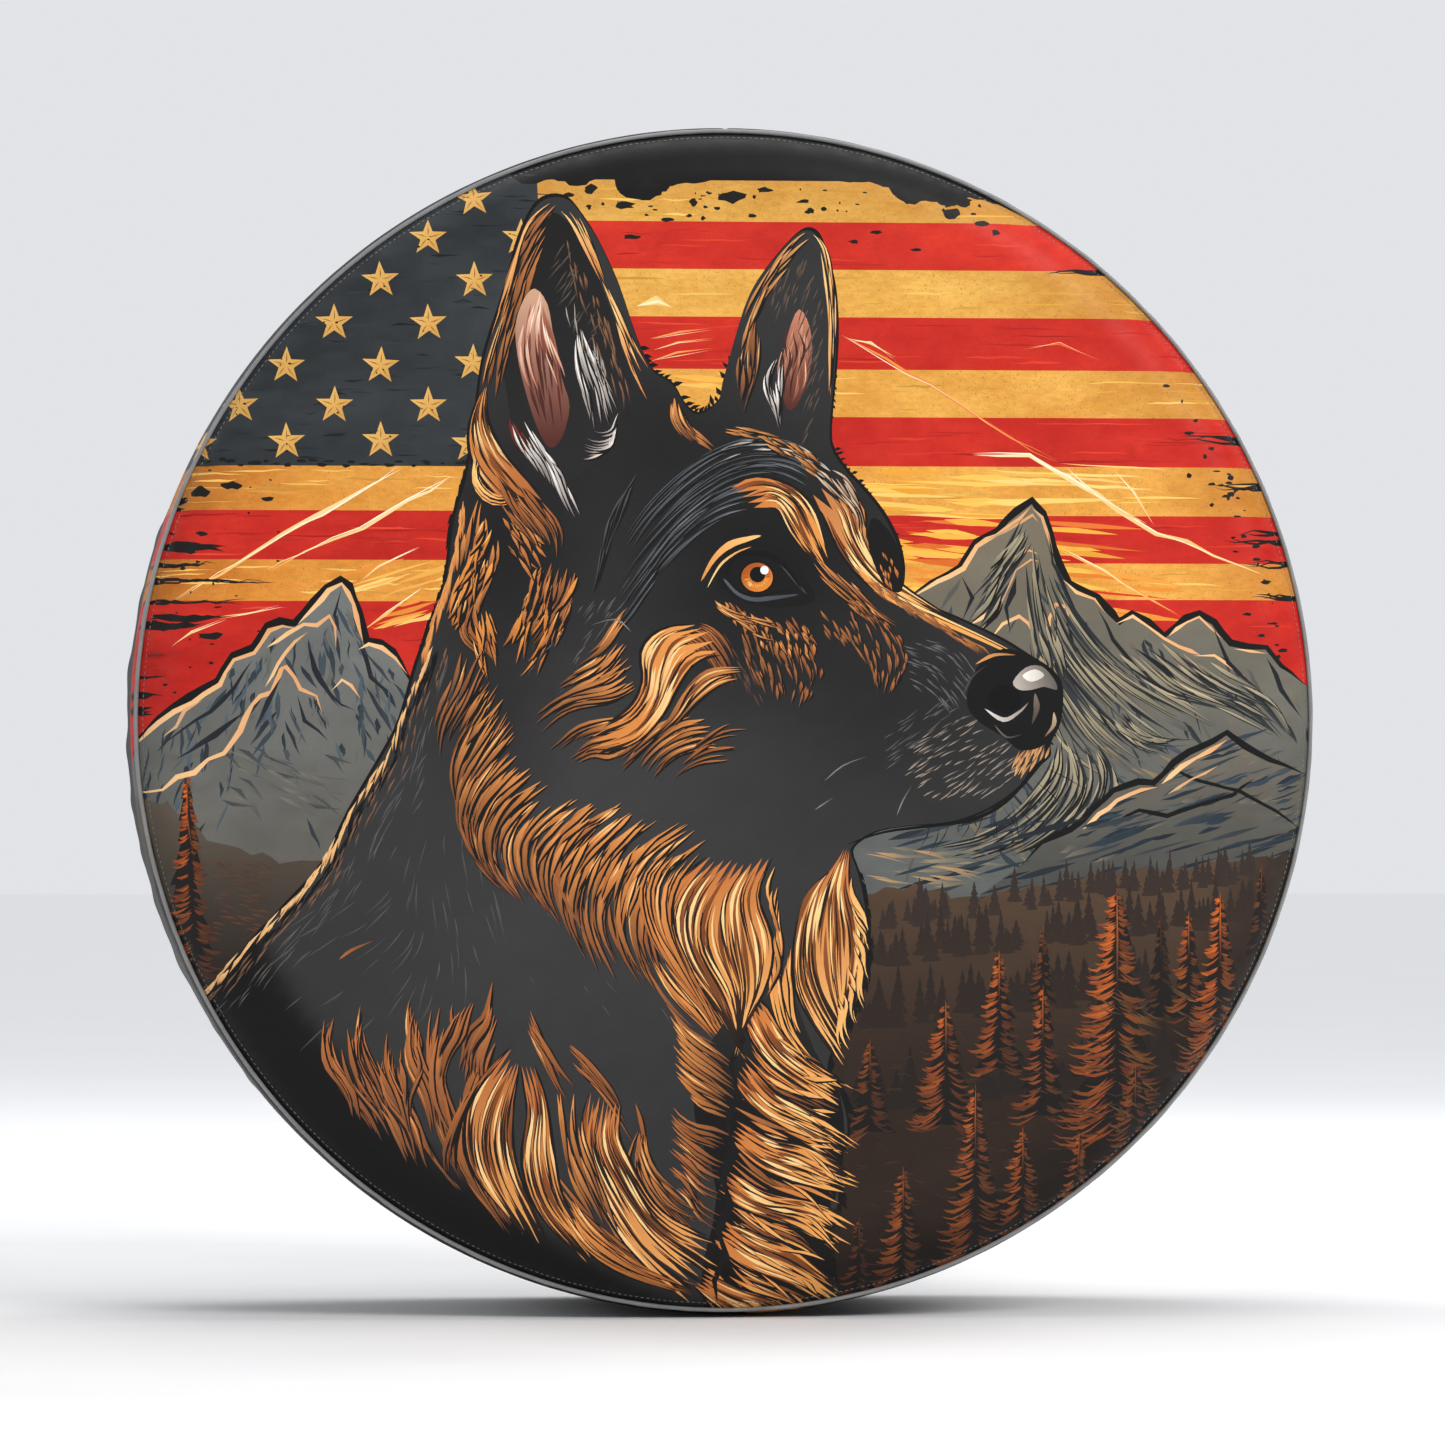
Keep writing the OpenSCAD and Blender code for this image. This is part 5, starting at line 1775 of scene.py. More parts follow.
def area(poly):
    s = 0.0
    for i in range(len(poly)):
        a, b = poly[i - 1], poly[i]
        s += a[0] * b[1] - b[0] * a[1]
    return s / 2


def tidy(poly):
    """The polygon without doubled points."""
    out = []
    for p in poly:
        if not out or abs(p[0] - out[-1][0]) + abs(p[1] - out[-1][1]) > 1e-4:
            out.append(p)
    while len(out) > 2 and abs(out[0][0] - out[-1][0]) + abs(out[0][1] - out[-1][1]) < 1e-4:
        out.pop()
    return out


def shapes_by_tile(x_lo, y_lo, n):
    """For each tile: (shape number, clipped outline, area, whether it may be in parts)."""
    tiles = {}
    for k, item in enumerate(SHAPES):
        xs, ys = zip(*item.outline)
        i0, i1 = int((min(xs) - x_lo) // TILE), int((max(xs) - x_lo) // TILE)
        j0, j1 = int((min(ys) - y_lo) // TILE), int((max(ys) - y_lo) // TILE)
        for i in range(max(0, i0), min(n - 1, i1) + 1):
            a = x_lo + i * TILE
            col, many = clip(item.outline, a, a + TILE, 0)
            if len(col) < 3:
                continue
            for j in range(max(0, j0), min(n - 1, j1) + 1):
                b = y_lo + j * TILE
                cell, more = clip(col, b, b + TILE, 1)
                cell = tidy(cell)
                if len(cell) >= 3:
                    s = area(cell)
                    if abs(s) > 0.02:
                        tiles.setdefault((i, j), []).append(
                            (k, cell if s > 0 else cell[::-1], abs(s), max(many, more) > 2))
    return tiles


def in_tile(c, a, b):
    keep = (c[:, 0] > a) & (c[:, 0] < a + TILE) & (c[:, 1] > b) & (c[:, 1] < b + TILE)
    return keep & (np.hypot(c[:, 0] - GRID_X, c[:, 1] - GRID_Y) < RIM - 0.002)


def layered(a, b, cells, rim, extra, ring):
    """A tile cut along every outline: points, triangles and the shape on top of each."""
    V = list(rim)
    F = [list(range(len(rim)))]
    face_shape = [-1]
    E, loose = [], []
    for k, cell, _, split in cells:
        if split:                                    # a shape in parts here goes in as lines
            m0 = len(V)
            E += [(m0 + q, m0 + (q + 1) % len(cell)) for q in range(len(cell))]
            loose.append(k)
        else:
            F.append(list(range(len(V), len(V) + len(cell))))
            face_shape.append(k)
        V.extend(cell)
    for p, q in ring:
        if (max(p[0], q[0]) >= a - 1 and min(p[0], q[0]) <= a + TILE + 1
                and max(p[1], q[1]) >= b - 1 and min(p[1], q[1]) <= b + TILE + 1):
            E.append((len(V), len(V) + 1))
            V.extend([p, q])
    V.extend(extra)
    vo, _, fo, _, _, origin = delaunay_2d_cdt([Vector(p) for p in V], E, F, 0, 1e-5, True)
    P = np.array([(p[0], p[1]) for p in vo])
    T = np.array([f for f in fo if len(f) == 3], np.int64)
    last = np.array([max(o) if o else -1 for f, o in zip(fo, origin) if len(f) == 3])
    c = P[T].mean(1)
    top = np.array(face_shape)[np.maximum(last, 0)]
    for k in loose:
        top[contains(SHAPES[k].outline, c) & (k > top)] = k
    keep = (last >= 0) & in_tile(c, a, b)
    return P, T[keep], top[keep]


def visible_lines(P, T, top):
    """The border and the lines between different shapes, as neighbours of each point."""
    ab = np.concatenate([T[:, [0, 1]], T[:, [1, 2]], T[:, [2, 0]]])
    who = np.tile(np.arange(len(T)), 3)
    key = np.sort(ab, 1)
    order = np.lexsort((key[:, 1], key[:, 0]))
    key, who = key[order], who[order]
    first = np.flatnonzero(np.all(key[1:] == key[:-1], 1))
    inner = np.zeros(len(key), bool)
    inner[first] = inner[first + 1] = True
    show = key[first][top[who[first]] != top[who[first + 1]]]
    border = key[~inner]
    on_border = np.zeros(len(P), bool)
    on_border[border.ravel()] = True
    near = {}
    for p, q in np.concatenate([show, border]).tolist():
        near.setdefault(p, []).append(q)
        near.setdefault(q, []).append(p)
    for v in list(near):                             # drop points on nearly straight lines
        if on_border[v] or len(near[v]) != 2:
            continue
        p, q = near[v]
        if p == q or q in near[p]:
            continue
        d = P[q] - P[p]
        l = math.hypot(*d)
        if l < 1e-9 or abs(d[0] * (P[v][1] - P[p][1]) - d[1] * (P[v][0] - P[p][0])) / l > 0.07:
            continue
        near[p][near[p].index(v)] = q
        near[q][near[q].index(v)] = p
        del near[v]
    return near


def nearest_triangle(P, T, c):
    """The triangle of T that holds, or is nearest to, each point of c."""
    A, B, C = P[T[:, 0]], P[T[:, 1]], P[T[:, 2]]
    det = ((B[:, 1] - C[:, 1]) * (A[:, 0] - C[:, 0]) + (C[:, 0] - B[:, 0]) * (A[:, 1] - C[:, 1]))
    det = np.where(np.abs(det) < 1e-12, 1e-12, det)
    dx, dy = c[:, None, 0] - C[None, :, 0], c[:, None, 1] - C[None, :, 1]
    l1 = ((B[:, 1] - C[:, 1]) * dx + (C[:, 0] - B[:, 0]) * dy) / det
    l2 = ((C[:, 1] - A[:, 1]) * dx + (A[:, 0] - C[:, 0]) * dy) / det
    return np.minimum(np.minimum(l1, l2), 1 - l1 - l2).argmax(1)


def tile_mesh(a, b, cells, ring):
    """Points, triangles and shape numbers of one tile, or None where nothing is left."""
    corners = [math.hypot(x - GRID_X, y - GRID_Y) for x in (a, a + TILE) for y in (b, b + TILE)]
    far = max(corners)
    for q in range(len(cells) - 1, -1, -1):          # nothing shows under a shape that fills it
        if cells[q][2] > TILE * TILE - 1e-6:
            cells = cells[q:]
            break
    m = 4 if far >= FLAT_R / GRID - 2 else 2
    s = TILE / m
    rim = ([(a + q * s, b) for q in range(m)] + [(a + TILE, b + q * s) for q in range(m)]
           + [(a + TILE - q * s, b + TILE) for q in range(m)]
           + [(a, b + TILE - q * s) for q in range(m)])
    extra = [(a + p * s, b + q * s) for p in range(1, m) for q in range(1, m)]
    extra = [p for p in extra if math.hypot(p[0] - GRID_X, p[1] - GRID_Y) < RIM - 1.2]
    P, T, top = layered(a, b, cells, rim, extra, ring if far > RIM else [])
    near = visible_lines(P, T, top)
    used = sorted(near)
    at = {v: k for k, v in enumerate(used)}
    E = sorted({(min(at[p], at[q]), max(at[p], at[q])) for p in near for q in near[p]})
    V = [Vector(P[v]) for v in used] + [Vector(p) for p in extra]
    vo, _, fo, _, _, _ = delaunay_2d_cdt(V, E, [], 0, 1e-5, False)
    P2 = np.array([(p[0], p[1]) for p in vo])
    T2 = np.array([f for f in fo if len(f) == 3], np.int64)
    c = P2[T2].mean(1)
    keep = in_tile(c, a, b)
    T2, c = T2[keep], c[keep]
    if not len(T2):
        return None
    ids = top[nearest_triangle(P, T, c)]
    e1, e2 = P2[T2[:, 1]] - P2[T2[:, 0]], P2[T2[:, 2]] - P2[T2[:, 0]]
    turn = e1[:, 0] * e2[:, 1] - e1[:, 1] * e2[:, 0]
    ok = np.abs(turn) > 1e-7
    T2, ids, turn = T2[ok], ids[ok], turn[ok]
    T2[turn > 0] = T2[turn > 0][:, ::-1]
    return P2, T2, ids


def art_mesh():
    half = math.ceil(RIM / TILE)
    x_lo, y_lo = GRID_X - half * TILE, GRID_Y - half * TILE
    n = int(2 * half)
    tiles = shapes_by_tile(x_lo, y_lo, n)
    ring = [(GRID_X + RIM * math.cos(2 * math.pi * k / RIM_STEPS),
             GRID_Y + RIM * math.sin(2 * math.pi * k / RIM_STEPS)) for k in range(RIM_STEPS)]
    ring = list(zip(ring, ring[1:] + ring[:1]))
    verts, tris, ids, base = [], [], [], 0
    for i in range(n):
        for j in range(n):
            a, b = x_lo + i * TILE, y_lo + j * TILE
            if math.hypot(max(a - GRID_X, 0, GRID_X - a - TILE),
                          max(b - GRID_Y, 0, GRID_Y - b - TILE)) >= RIM:
                continue
            tile = tile_mesh(a, b, tiles.get((i, j), []), ring)
            if tile:
                verts.append(tile[0])
                tris.append(tile[1] + base)
                ids.append(tile[2])
                base += len(tile[0])
    V, T, I = np.concatenate(verts), np.concatenate(tris), np.concatenate(ids)
    keyed = np.round(V / 2e-4).astype(np.int64)      # join the tiles
    _, first, inv = np.unique(keyed, axis=0, return_index=True, return_inverse=True)
    V, T = V[first], inv.ravel()[T]
    ok = (T[:, 0] != T[:, 1]) & (T[:, 1] != T[:, 2]) & (T[:, 0] != T[:, 2])
    T, I = T[ok], I[ok]
    used = np.unique(T)
    back = np.full(len(V), -1)
    back[used] = np.arange(len(used))
    return V[used], back[T], I


def field_colour(kind, x, y):
    """Colours of the picture's larger areas, with painted shade and sheen where the face's shape
    meets the light, and how worn each is.
    """
    broad = fbm(x / 60.0, y / 26.0, 0, 3, 11)[..., None]
    fine = fbm(x / 14.0, y / 6.0, 0, 3, 23)[..., None]
    low = np.clip((y - 300) / 300.0, 0, 1)[..., None]
    rad = np.hypot(x - GRID_X, y - GRID_Y)
    rgb = np.array

    def fade(top, bottom, y0, depth):
        h = np.clip((y - y0) / depth, 0, 1)[..., None]
        return rgb(top) * (1 - h) + rgb(bottom) * h

    if kind == "black":
        return rgb([17, 17, 18.0]) + fine * 2, 0.15
    if kind == "gold":
        # painted shade: darker and redder towards the rim, where the shoulder turns from the light
        side = np.clip((rad - 300) / 70.0, 0, 1)[..., None]
        c = rgb([232, 178, 84.0]) * (1 - low) + rgb([236, 160, 66.0]) * low
        c = c + broad * rgb([12, 16, 14]) + fine * rgb([8, 12, 12])
        c = c * (1 - 0.2 * side) + rgb([40, -6, -20]) * 0.3 * side
        left = np.clip((600 - x) / 160.0, 0, 1)[..., None]
        return c - left * rgb([6, 14, 10.0]), 0.85
    if kind == "red":
        c = rgb([204, 44, 30.0]) * (1 - low) + rgb([196, 36, 26.0]) * low
        return c + broad * rgb([14, 8, 6]) + fine * rgb([12, 10, 6]), 0.7
    if kind == "canton":
        return rgb([50, 54, 57.0]) + broad * 9 + fine * 8, 0.45
    if kind == "rock":
        return fade([120, 112, 96], [92, 96, 94], 500, 190.0) + broad * 7 + fine * 6, 0.3
    if kind == "rockleft":
        return fade([114, 118, 116], [94, 91, 85], 540, 190.0) + broad * 7 + fine * 6, 0.3
    if kind == "valley":
        return fade([112, 106, 94], [76, 77, 74], 620, 90.0) + broad * 5 + fine * 5, 0.25
    if kind == "forest":
        # painted shade: darker towards the rim, where the shoulder turns from the light
        rim = 1 - 0.55 * np.clip((rad - 320) / 56.0, 0, 1)[..., None]
        return rim * fade([88, 68, 52], [46, 34, 27], 700, 130.0) + broad * 3 + fine * 3, 0.2
    if kind == "forestleft":
        return fade([94, 84, 72], [38, 31, 27], 664, 110.0) + broad * 3 + fine * 3, 0.2
    # the dark coat, with painted sheen: a little lighter towards the middle of the neck, where the
    # flat face catches a haze of light
    mid = np.exp(-(((x - 640) / 130.0) ** 2 + ((y - 690) / 150.0) ** 2))[..., None]
    c = rgb([48, 48, 49.0]) + mid * 10 + broad * 2.5 + fine * 2
    # darker pools: x, y, width, height, depth
    for gx, gy, wx, wy, k in pts("""856,600,70,60,14 775,505,80,60,27 612,505,48,70,24
700,430,70,50,16 600,620,40,60,12 740,570,60,40,10"""):
        c = c - k * np.exp(-(((x - gx) / wx) ** 2 + ((y - gy) / wy) ** 2))[..., None]
    c = np.maximum(c, 17)
    # painted shade: its lower left is painted black along the shoulder, where the rolled edge turns
    # away from the light
    turn = np.degrees(np.arctan2(y - GRID_Y, GRID_X - x))
    rim = np.interp(turn, [10, 26, 37, 54, 66, 75, 84, 96], [346, 327, 325, 331, 337, 350, 366, 380])
    dark = (1 / (1 + np.exp(-(rad - rim + 4 * broad[..., 0]) / 3.2))
            * np.clip((turn - 6) / 12, 0, 1) * (x < GRID_X + 40))
    return c + dark[..., None] * (rgb([12, 12, 12.0]) - c), 0.12


def colours(P, I):
    """sRGB colours and wear for points P of shapes I."""
    c0, c1, p0, p1 = (np.array([item[k] for item in SHAPES], float)[I] for k in (1, 2, 3, 4))
    d = p1 - p0
    t = np.clip(((P - p0) * d).sum(-1) / np.maximum((d * d).sum(-1), 1e-6), 0, 1)[..., None]
    col = c0 + (c1 - c0) * t
    wear = np.full(len(P), 0.12)
    kinds = np.array([item.field or "" for item in SHAPES])[I]
    for k in set(kinds.tolist()) - {""}:
        m = kinds == k
        col[m], wear[m] = field_colour(k, P[m, 0], P[m, 1])
    return np.clip(col, 2, 253), wear


def topmost(P):
    """The shape on top at each point, without its triangles."""
    top = np.zeros(len(P), int)
    for k, item in enumerate(SHAPES):
        if item.field is None and abs(area(item.outline)) < 60:
            continue
        q = np.array(item.outline)
        m = np.flatnonzero(np.all((P >= q.min(0)) & (P <= q.max(0)), 1))
        if not len(m):
            continue
        x, y = P[m, 0], P[m, 1]
        c = np.zeros(len(m), bool)
        for i in range(len(q)):
            (xi, yi), (xj, yj) = q[i], q[i - 1]
            if yi == yj:
                continue
            c ^= ((yi > y) != (yj > y)) & (x < (xj - xi) * (y - yi) / (yj - yi) + xi)
        top[m[c]] = k
    return top


# --- printed face: the picture outside, cloth inside and the edge turned into the seam


def seam_at(s, d):
    """(r, y) at s along the shoulder from the seam, d outward from the shoulder's centre."""
    return (FLAT_R + d * math.sin(SEAM_ANGLE) + s * math.cos(SEAM_ANGLE),
            SHOULDER_Y - d * math.cos(SEAM_ANGLE) + s * math.sin(SEAM_ANGLE))


SEAM_DEPTH = SHOULDER - 0.011                        # raw edge of the cloth in the seam


def face_back(r, th):
    x, z = r * np.cos(th), r * np.sin(th)
    a = np.arcsin(np.clip((r - FLAT_R) / (SHOULDER - CLOTH), 0, 0.999))
    y = SHOULDER_Y - (SHOULDER - CLOTH) * np.cos(a)
    return np.stack([x, y + np.minimum(0, -swell(x, z)) * (r < FLAT_R), z], -1)


def printed_face():
    art, tris, ids = art_mesh()
    x, z = (art[:, 0] - GRID_X) * GRID, (GRID_Y - art[:, 1]) * GRID
    outer = face_surface(x, z)
    cols = 240
    th = np.arange(cols) * 2 * math.pi / cols
    r = np.concatenate([np.linspace(0.0004, FLAT_R - 0.004, 22), FLAT_R + (SHOULDER - CLOTH)
                        * np.sin(np.linspace(0.06, SEAM_ANGLE - 0.028, 9))])
    back = face_back(*np.meshgrid(r, th, indexing="ij"))
    th_rim = np.arange(RIM_STEPS) * 2 * math.pi / RIM_STEPS
    profile = [seam_at(s, SHOULDER - d) for s, d in (
        (0, 0), (0, 0.004), (0, 0.008), (0, 0.011),
        (-CLOTH, 0.011), (-CLOTH, 0.008), (-CLOTH, 0.004), (-CLOTH, 0.0012))]
    edge = np.stack([polar(a, b, th_rim) for a, b in profile])
    V, F = joined([(outer, [tris]),
                   (back, [quads(len(r), cols, False, True, flip=True), cap(cols)]),
                   (edge, [quads(len(profile), RIM_STEPS, False, True)])])
    n = len(tris)
    mat_ids = np.concatenate([np.zeros(n), np.ones(sum(len(f) for f in F[1:]))])
    me = make("printed_face", V, F, [M["print"], M["face_back"]], "face_panel",
              "printed_leatherette", mat_ids=mat_ids).data
    col, wear = colours(art[tris.ravel()], np.repeat(ids, 3))
    rgba = np.ones((len(me.loops), 4), np.float32)
    rgba[:, :3] = srgb(60, 60, 62)
    rgba[:, 3] = 0
    rgba[:n * 3, :3] = linear(col)
    rgba[:n * 3, 3] = wear
    attr = me.color_attributes.new("Print", "FLOAT_COLOR", "CORNER")
    attr.data.foreach_set("color", rgba.ravel())
    layer = me.uv_layers.new(name="OFBake")
    index = np.empty(len(me.loops), np.int32)
    me.loops.foreach_get("vertex_index", index)
    uv = np.stack([0.5 + V[index, 0] / 0.884, 0.5 + V[index, 2] / 0.884], -1)
    uv[n * 3:] = uv[n * 3:] * 0.0005 + 0.0005        # the inside shares one corner of the map
    layer.data.foreach_set("uv", uv.astype(np.float32).ravel())
    flat = np.empty(len(V) * 3, np.float32)
    me.vertices.foreach_get("normal", flat)
    normals = flat.reshape(-1, 3).astype(float)
    normals[:len(outer)] = face_normals(x, z)
    me.normals_split_custom_set_from_vertices([tuple(v) for v in normals])


printed_face()

# --- gathers of the band, hem and casing


def away_from(th, at, width):
    d = np.angle(np.exp(1j * (th - at)))
    return 1 - np.exp(-(d / width) ** 2)


def calm(th):
    """1 where the cloth gathers freely, 0 at the joints and at the cord's exit."""
    return away_from(th, TOP, 3.0 * DEG) * away_from(th, BOTTOM, 2.2 * DEG)


def gather(th):
    """Irregular pleats drawn up by the elastic, from -1 to 1."""
    ph = (58 * th + 1.6 * np.sin(3 * th + 0.7) + 1.1 * np.sin(7 * th + 2.0)
          + 0.7 * np.sin(13 * th + 0.4))
    amp = 0.72 + 0.28 * np.sin(5 * th + 1.0) * np.cos(11 * th + 0.3)
    return amp * (np.cos(ph) + 0.32 * np.cos(2 * ph + 0.9) + 0.18 * np.cos(1.5 * ph + 2)) / 1.25


def fine_gather(th):
    ph = 150 * th + 1.3 * np.sin(5 * th) + 0.9 * np.sin(17 * th + 1)
    return np.cos(ph) * (0.7 + 0.3 * np.sin(9 * th)) + 0.4 * np.cos(1.7 * ph + 1)


# distances along the band's outside, from the seam
S_SHOULDER = SHOULDER * (math.pi / 2 - SEAM_ANGLE) - 0.0006
S_FOLD = S_SHOULDER + FOLD_Y - SHOULDER_Y
S_BACK = S_FOLD + FOLD * math.pi / 2
S_END = S_BACK + FOLD_R - (CASING_R + 0.0006)


def profile_point(s):
    """Outside of the band at distance s from the seam: radius, depth, and the way out."""
    s = np.asarray(s, float)
    a0 = SEAM_ANGLE + 0.0006 / SHOULDER
    bend = SHOULDER * (math.pi / 2 - a0)
    straight = FOLD_Y - SHOULDER_Y
    fold = FOLD * math.pi / 2
    a = a0 + np.clip(s, 0, bend) / SHOULDER
    r = FLAT_R + SHOULDER * np.sin(a)
    y = SHOULDER_Y - SHOULDER * np.cos(a)
    nr, ny = np.sin(a), -np.cos(a)
    m = s > bend
    y = np.where(m, SHOULDER_Y + np.clip(s - bend, 0, straight), y)
    r = np.where(m, OUTER_R, r)
    nr, ny = np.where(m, 1.0, nr), np.where(m, 0.0, ny)
    b = np.clip(s - bend - straight, 0, fold) / FOLD
    m = s > bend + straight
    r = np.where(m, FOLD_R + FOLD * np.cos(b), r)
    y = np.where(m, FOLD_Y + FOLD * np.sin(b), y)
    nr, ny = np.where(m, np.cos(b), nr), np.where(m, np.sin(b), ny)
    e = np.clip(s - bend - straight - fold, 0, None)
    return np.where(e > 0, FOLD_R - e, r), y, nr, ny


def band_lift(s, th):
    """How far the band's cloth stands off its plain shape."""
    g, w = gather(th), calm(th)
    grow = (step(s, S_FOLD - 0.055, S_FOLD + 0.012) * 0.0011
            + step(s, S_FOLD - 0.004, S_BACK - 0.004) * 0.0016)
    front = 0.00028 * pucker(th + 0.02) * np.exp(-s / 0.010) * (1 - np.exp(-s / 0.001))
    slack = 0.00045 * fbm(th * 7 + 2, s * 14, 0, 2, 41) * step(s, 0.01, 0.05)
    pulls = 0.00035 * np.sin(20 * th + 3 * np.sin(2 * th) + s * 16) * step(s, 0.03, 0.09)
    seam = -0.0007 * (1 - away_from(th, TOP, 0.22 * DEG) * away_from(th, BOTTOM, 0.22 * DEG))
    seam = seam * step(s, 0.0, 0.01)
    rows = -0.00035 * (1 - np.prod([away_from(th, joint + off, 0.10 * DEG)
                                    for joint in (TOP, BOTTOM)
                                    for off in (JOINT_STITCH, -JOINT_STITCH)], axis=0))
    rows = rows * step(s, 0.012, 0.02) * (1 - step(s, S_FOLD - 0.004, S_FOLD + 0.004))
    holes = np.ones_like(np.asarray(th, float))      # flat round the drain holes
    y = profile_point(s)[1]
    for at in (BOTTOM - DRAIN_ANGLE, BOTTOM + DRAIN_ANGLE):
        d = np.hypot(np.angle(np.exp(1j * (th - at))) * OUTER_R, y - DRAIN_Y)
        holes = holes * step(d, 0.008, 0.020)
    return (grow * g * w + slack * w + pulls * w) * holes + front + seam + rows


def band_outside(s, th, depth=0.0):
    r, y, nr, ny = profile_point(s)
    d = band_lift(s, th) - depth
    return polar(r + nr * d, y + ny * d, th)


def band_half(name, node, th0, th1, hole_angle):
    cols = 520
    th = np.linspace(th0, th1, cols)
    s = np.unique(np.concatenate([np.linspace(0, S_SHOULDER + 0.03, 16),
                                  np.linspace(S_SHOULDER + 0.03, S_FOLD - 0.03, 22),
                                  np.linspace(S_FOLD - 0.03, S_BACK, 24),
                                  np.linspace(S_BACK, S_END, 11)]))
    S, T = np.meshgrid(s, th, indexing="ij")
    lip = np.stack([polar(*seam_at(off, SEAM_DEPTH), th) for off in (0.0006, 0.0018)])
    P = np.concatenate([lip[:1], band_outside(S, T), band_outside(S, T, CLOTH)[::-1], lip[1:]])
    nu, m = len(P), len(s)
    F = quads(nu, cols, True, False)
    # the drain hole, cut under its eyelet
    c = P.reshape(-1, 3)[F].mean(1)
    hole = (OUTER_R * np.array([math.cos(hole_angle), 0, math.sin(hole_angle)])
            + np.array([0, DRAIN_Y, 0]))
    F = F[np.linalg.norm(c - hole, axis=1) > 0.0072]
    caps = []
    for j in (0, cols - 1):
        o = (1 + np.arange(m)) * cols + j
        i = (nu - 2 - np.arange(m)) * cols + j
        for q in (np.stack([o[:-1], o[1:], i[1:], i[:-1]], -1),
                  np.array([[j, o[0], i[0], (nu - 1) * cols + j]])):
            caps.append(q if j == 0 else q[:, ::-1])
    C = np.concatenate(caps)
    row = F // cols
    ids = np.concatenate([np.where(np.all(row <= m, axis=1), 0, 1), np.ones(len(C))])
    me = make(name, P, [F, C], [M["print_band"], M["backing"]], node, "band_leatherette",
              mat_ids=ids).data
    # the print runs on over the edge, then gives way to plain black
    rr = RIM + np.maximum(s, 0)[:, None] / GRID
    px, py = GRID_X + rr * np.cos(th)[None], GRID_Y - rr * np.sin(th)[None]
    near = (s < 0.06)
    col = np.ones((m, cols, 3)) * np.array([24, 24, 25.0])
    wear = np.ones((m, cols)) * 0.1
    points = np.stack([px[near], py[near]], -1).reshape(-1, 2)
    printed, worn = colours(points, topmost(points))
    k = near.sum()
    fade = (1 - step(s[near], 0.012, 0.055))[:, None, None]
    col[near] = printed.reshape(k, cols, 3) * fade + col[near] * (1 - fade)
    wear[near] = worn.reshape(k, cols) * fade[..., 0]
    rgba = np.ones((nu * cols, 4), np.float32)
    rgba[:, :3] = srgb(24, 24, 25)
    rgba[:, 3] = 0.1
    rgba[cols:cols * (m + 1), :3] = linear(col.reshape(-1, 3))
    rgba[cols:cols * (m + 1), 3] = wear.ravel()
    attr = me.color_attributes.new("Print", "FLOAT_COLOR", "POINT")
    attr.data.foreach_set("color", rgba.ravel())


JOINT_GAP = 0.03 * DEG
band_half("band_left_cloth", "band_left", TOP + JOINT_GAP, 1.5 * math.pi - JOINT_GAP,
          1.5 * math.pi - DRAIN_ANGLE)
band_half("band_right_cloth", "band_right", BOTTOM + JOINT_GAP, TOP - JOINT_GAP,
          BOTTOM + DRAIN_ANGLE)

# --- hem casing: a folded tape gathered on its elastic
HEM_COLS = 1200
HEM_TAPE = 0.0005
LIP_R0, LIP_R1 = CASING_R - 0.0012, CASING_R + 0.010


def hem_shift(r, th):
    """Radial and depth shift of the hem at radius r, the same for every piece sewn into it."""
    w = calm(th)
    inner = step(-r, -CASING_R, -MOUTH_R)
    dy = w * (0.0027 * (1 - 0.45 * inner) * gather(th) + 0.00042 * inner * fine_gather(th))
    dr = w * inner * (0.0007 * np.sin(58 * th + 2) + 0.0006 * fine_gather(th + 0.01))
    return dr, dy


def loop_round(r0, r1, y0, y1, rad, n=5):
    """A rectangle with rounded corners."""
    out = []
    for cr, cy, a0 in ((r1 - rad, y1 - rad, 0), (r0 + rad, y1 - rad, 90),
                       (r0 + rad, y0 + rad, 180), (r1 - rad, y0 + rad, 270)):
        for k in range(n + 1):
            a = (a0 + 90 * k / n) * DEG
            out.append((cr + rad * math.cos(a), cy + rad * math.sin(a)))
    return out


def dense(points, gap):
    out = []
    for i in range(len(points)):
        a, b = np.array(points[i]), np.array(points[(i + 1) % len(points)])
        k = max(1, int(np.ceil(np.linalg.norm(b - a) / gap)))
        out += [tuple(a + (b - a) * q / k) for q in range(k)]
    return out


def hem_loop(points, puff=0.0):
    """A profile turned and gathered; with puff it swells a little between gathers."""
    def shift(R, Y, T):
        dr, dy = hem_shift(R, T)
        sw = puff * calm(T) * fine_gather(T + 0.02) * np.clip((CASING_R - R) / CASING_W, 0, 1)
        return dr, dy + (Y - CASING_MID) * sw
    P, F = revolve(points, HEM_COLS, shift)
    return P.reshape(-1, 3), F


def lip(y, nose):
    """Flat tape from depth y, its outer edge pointed at depth nose."""
    return dense([(LIP_R0, y), (LIP_R1 - 0.0002, y), (LIP_R1, nose),
                  (LIP_R1 - 0.0002, y + HEM_TAPE), (LIP_R0, y + HEM_TAPE)], 0.003)


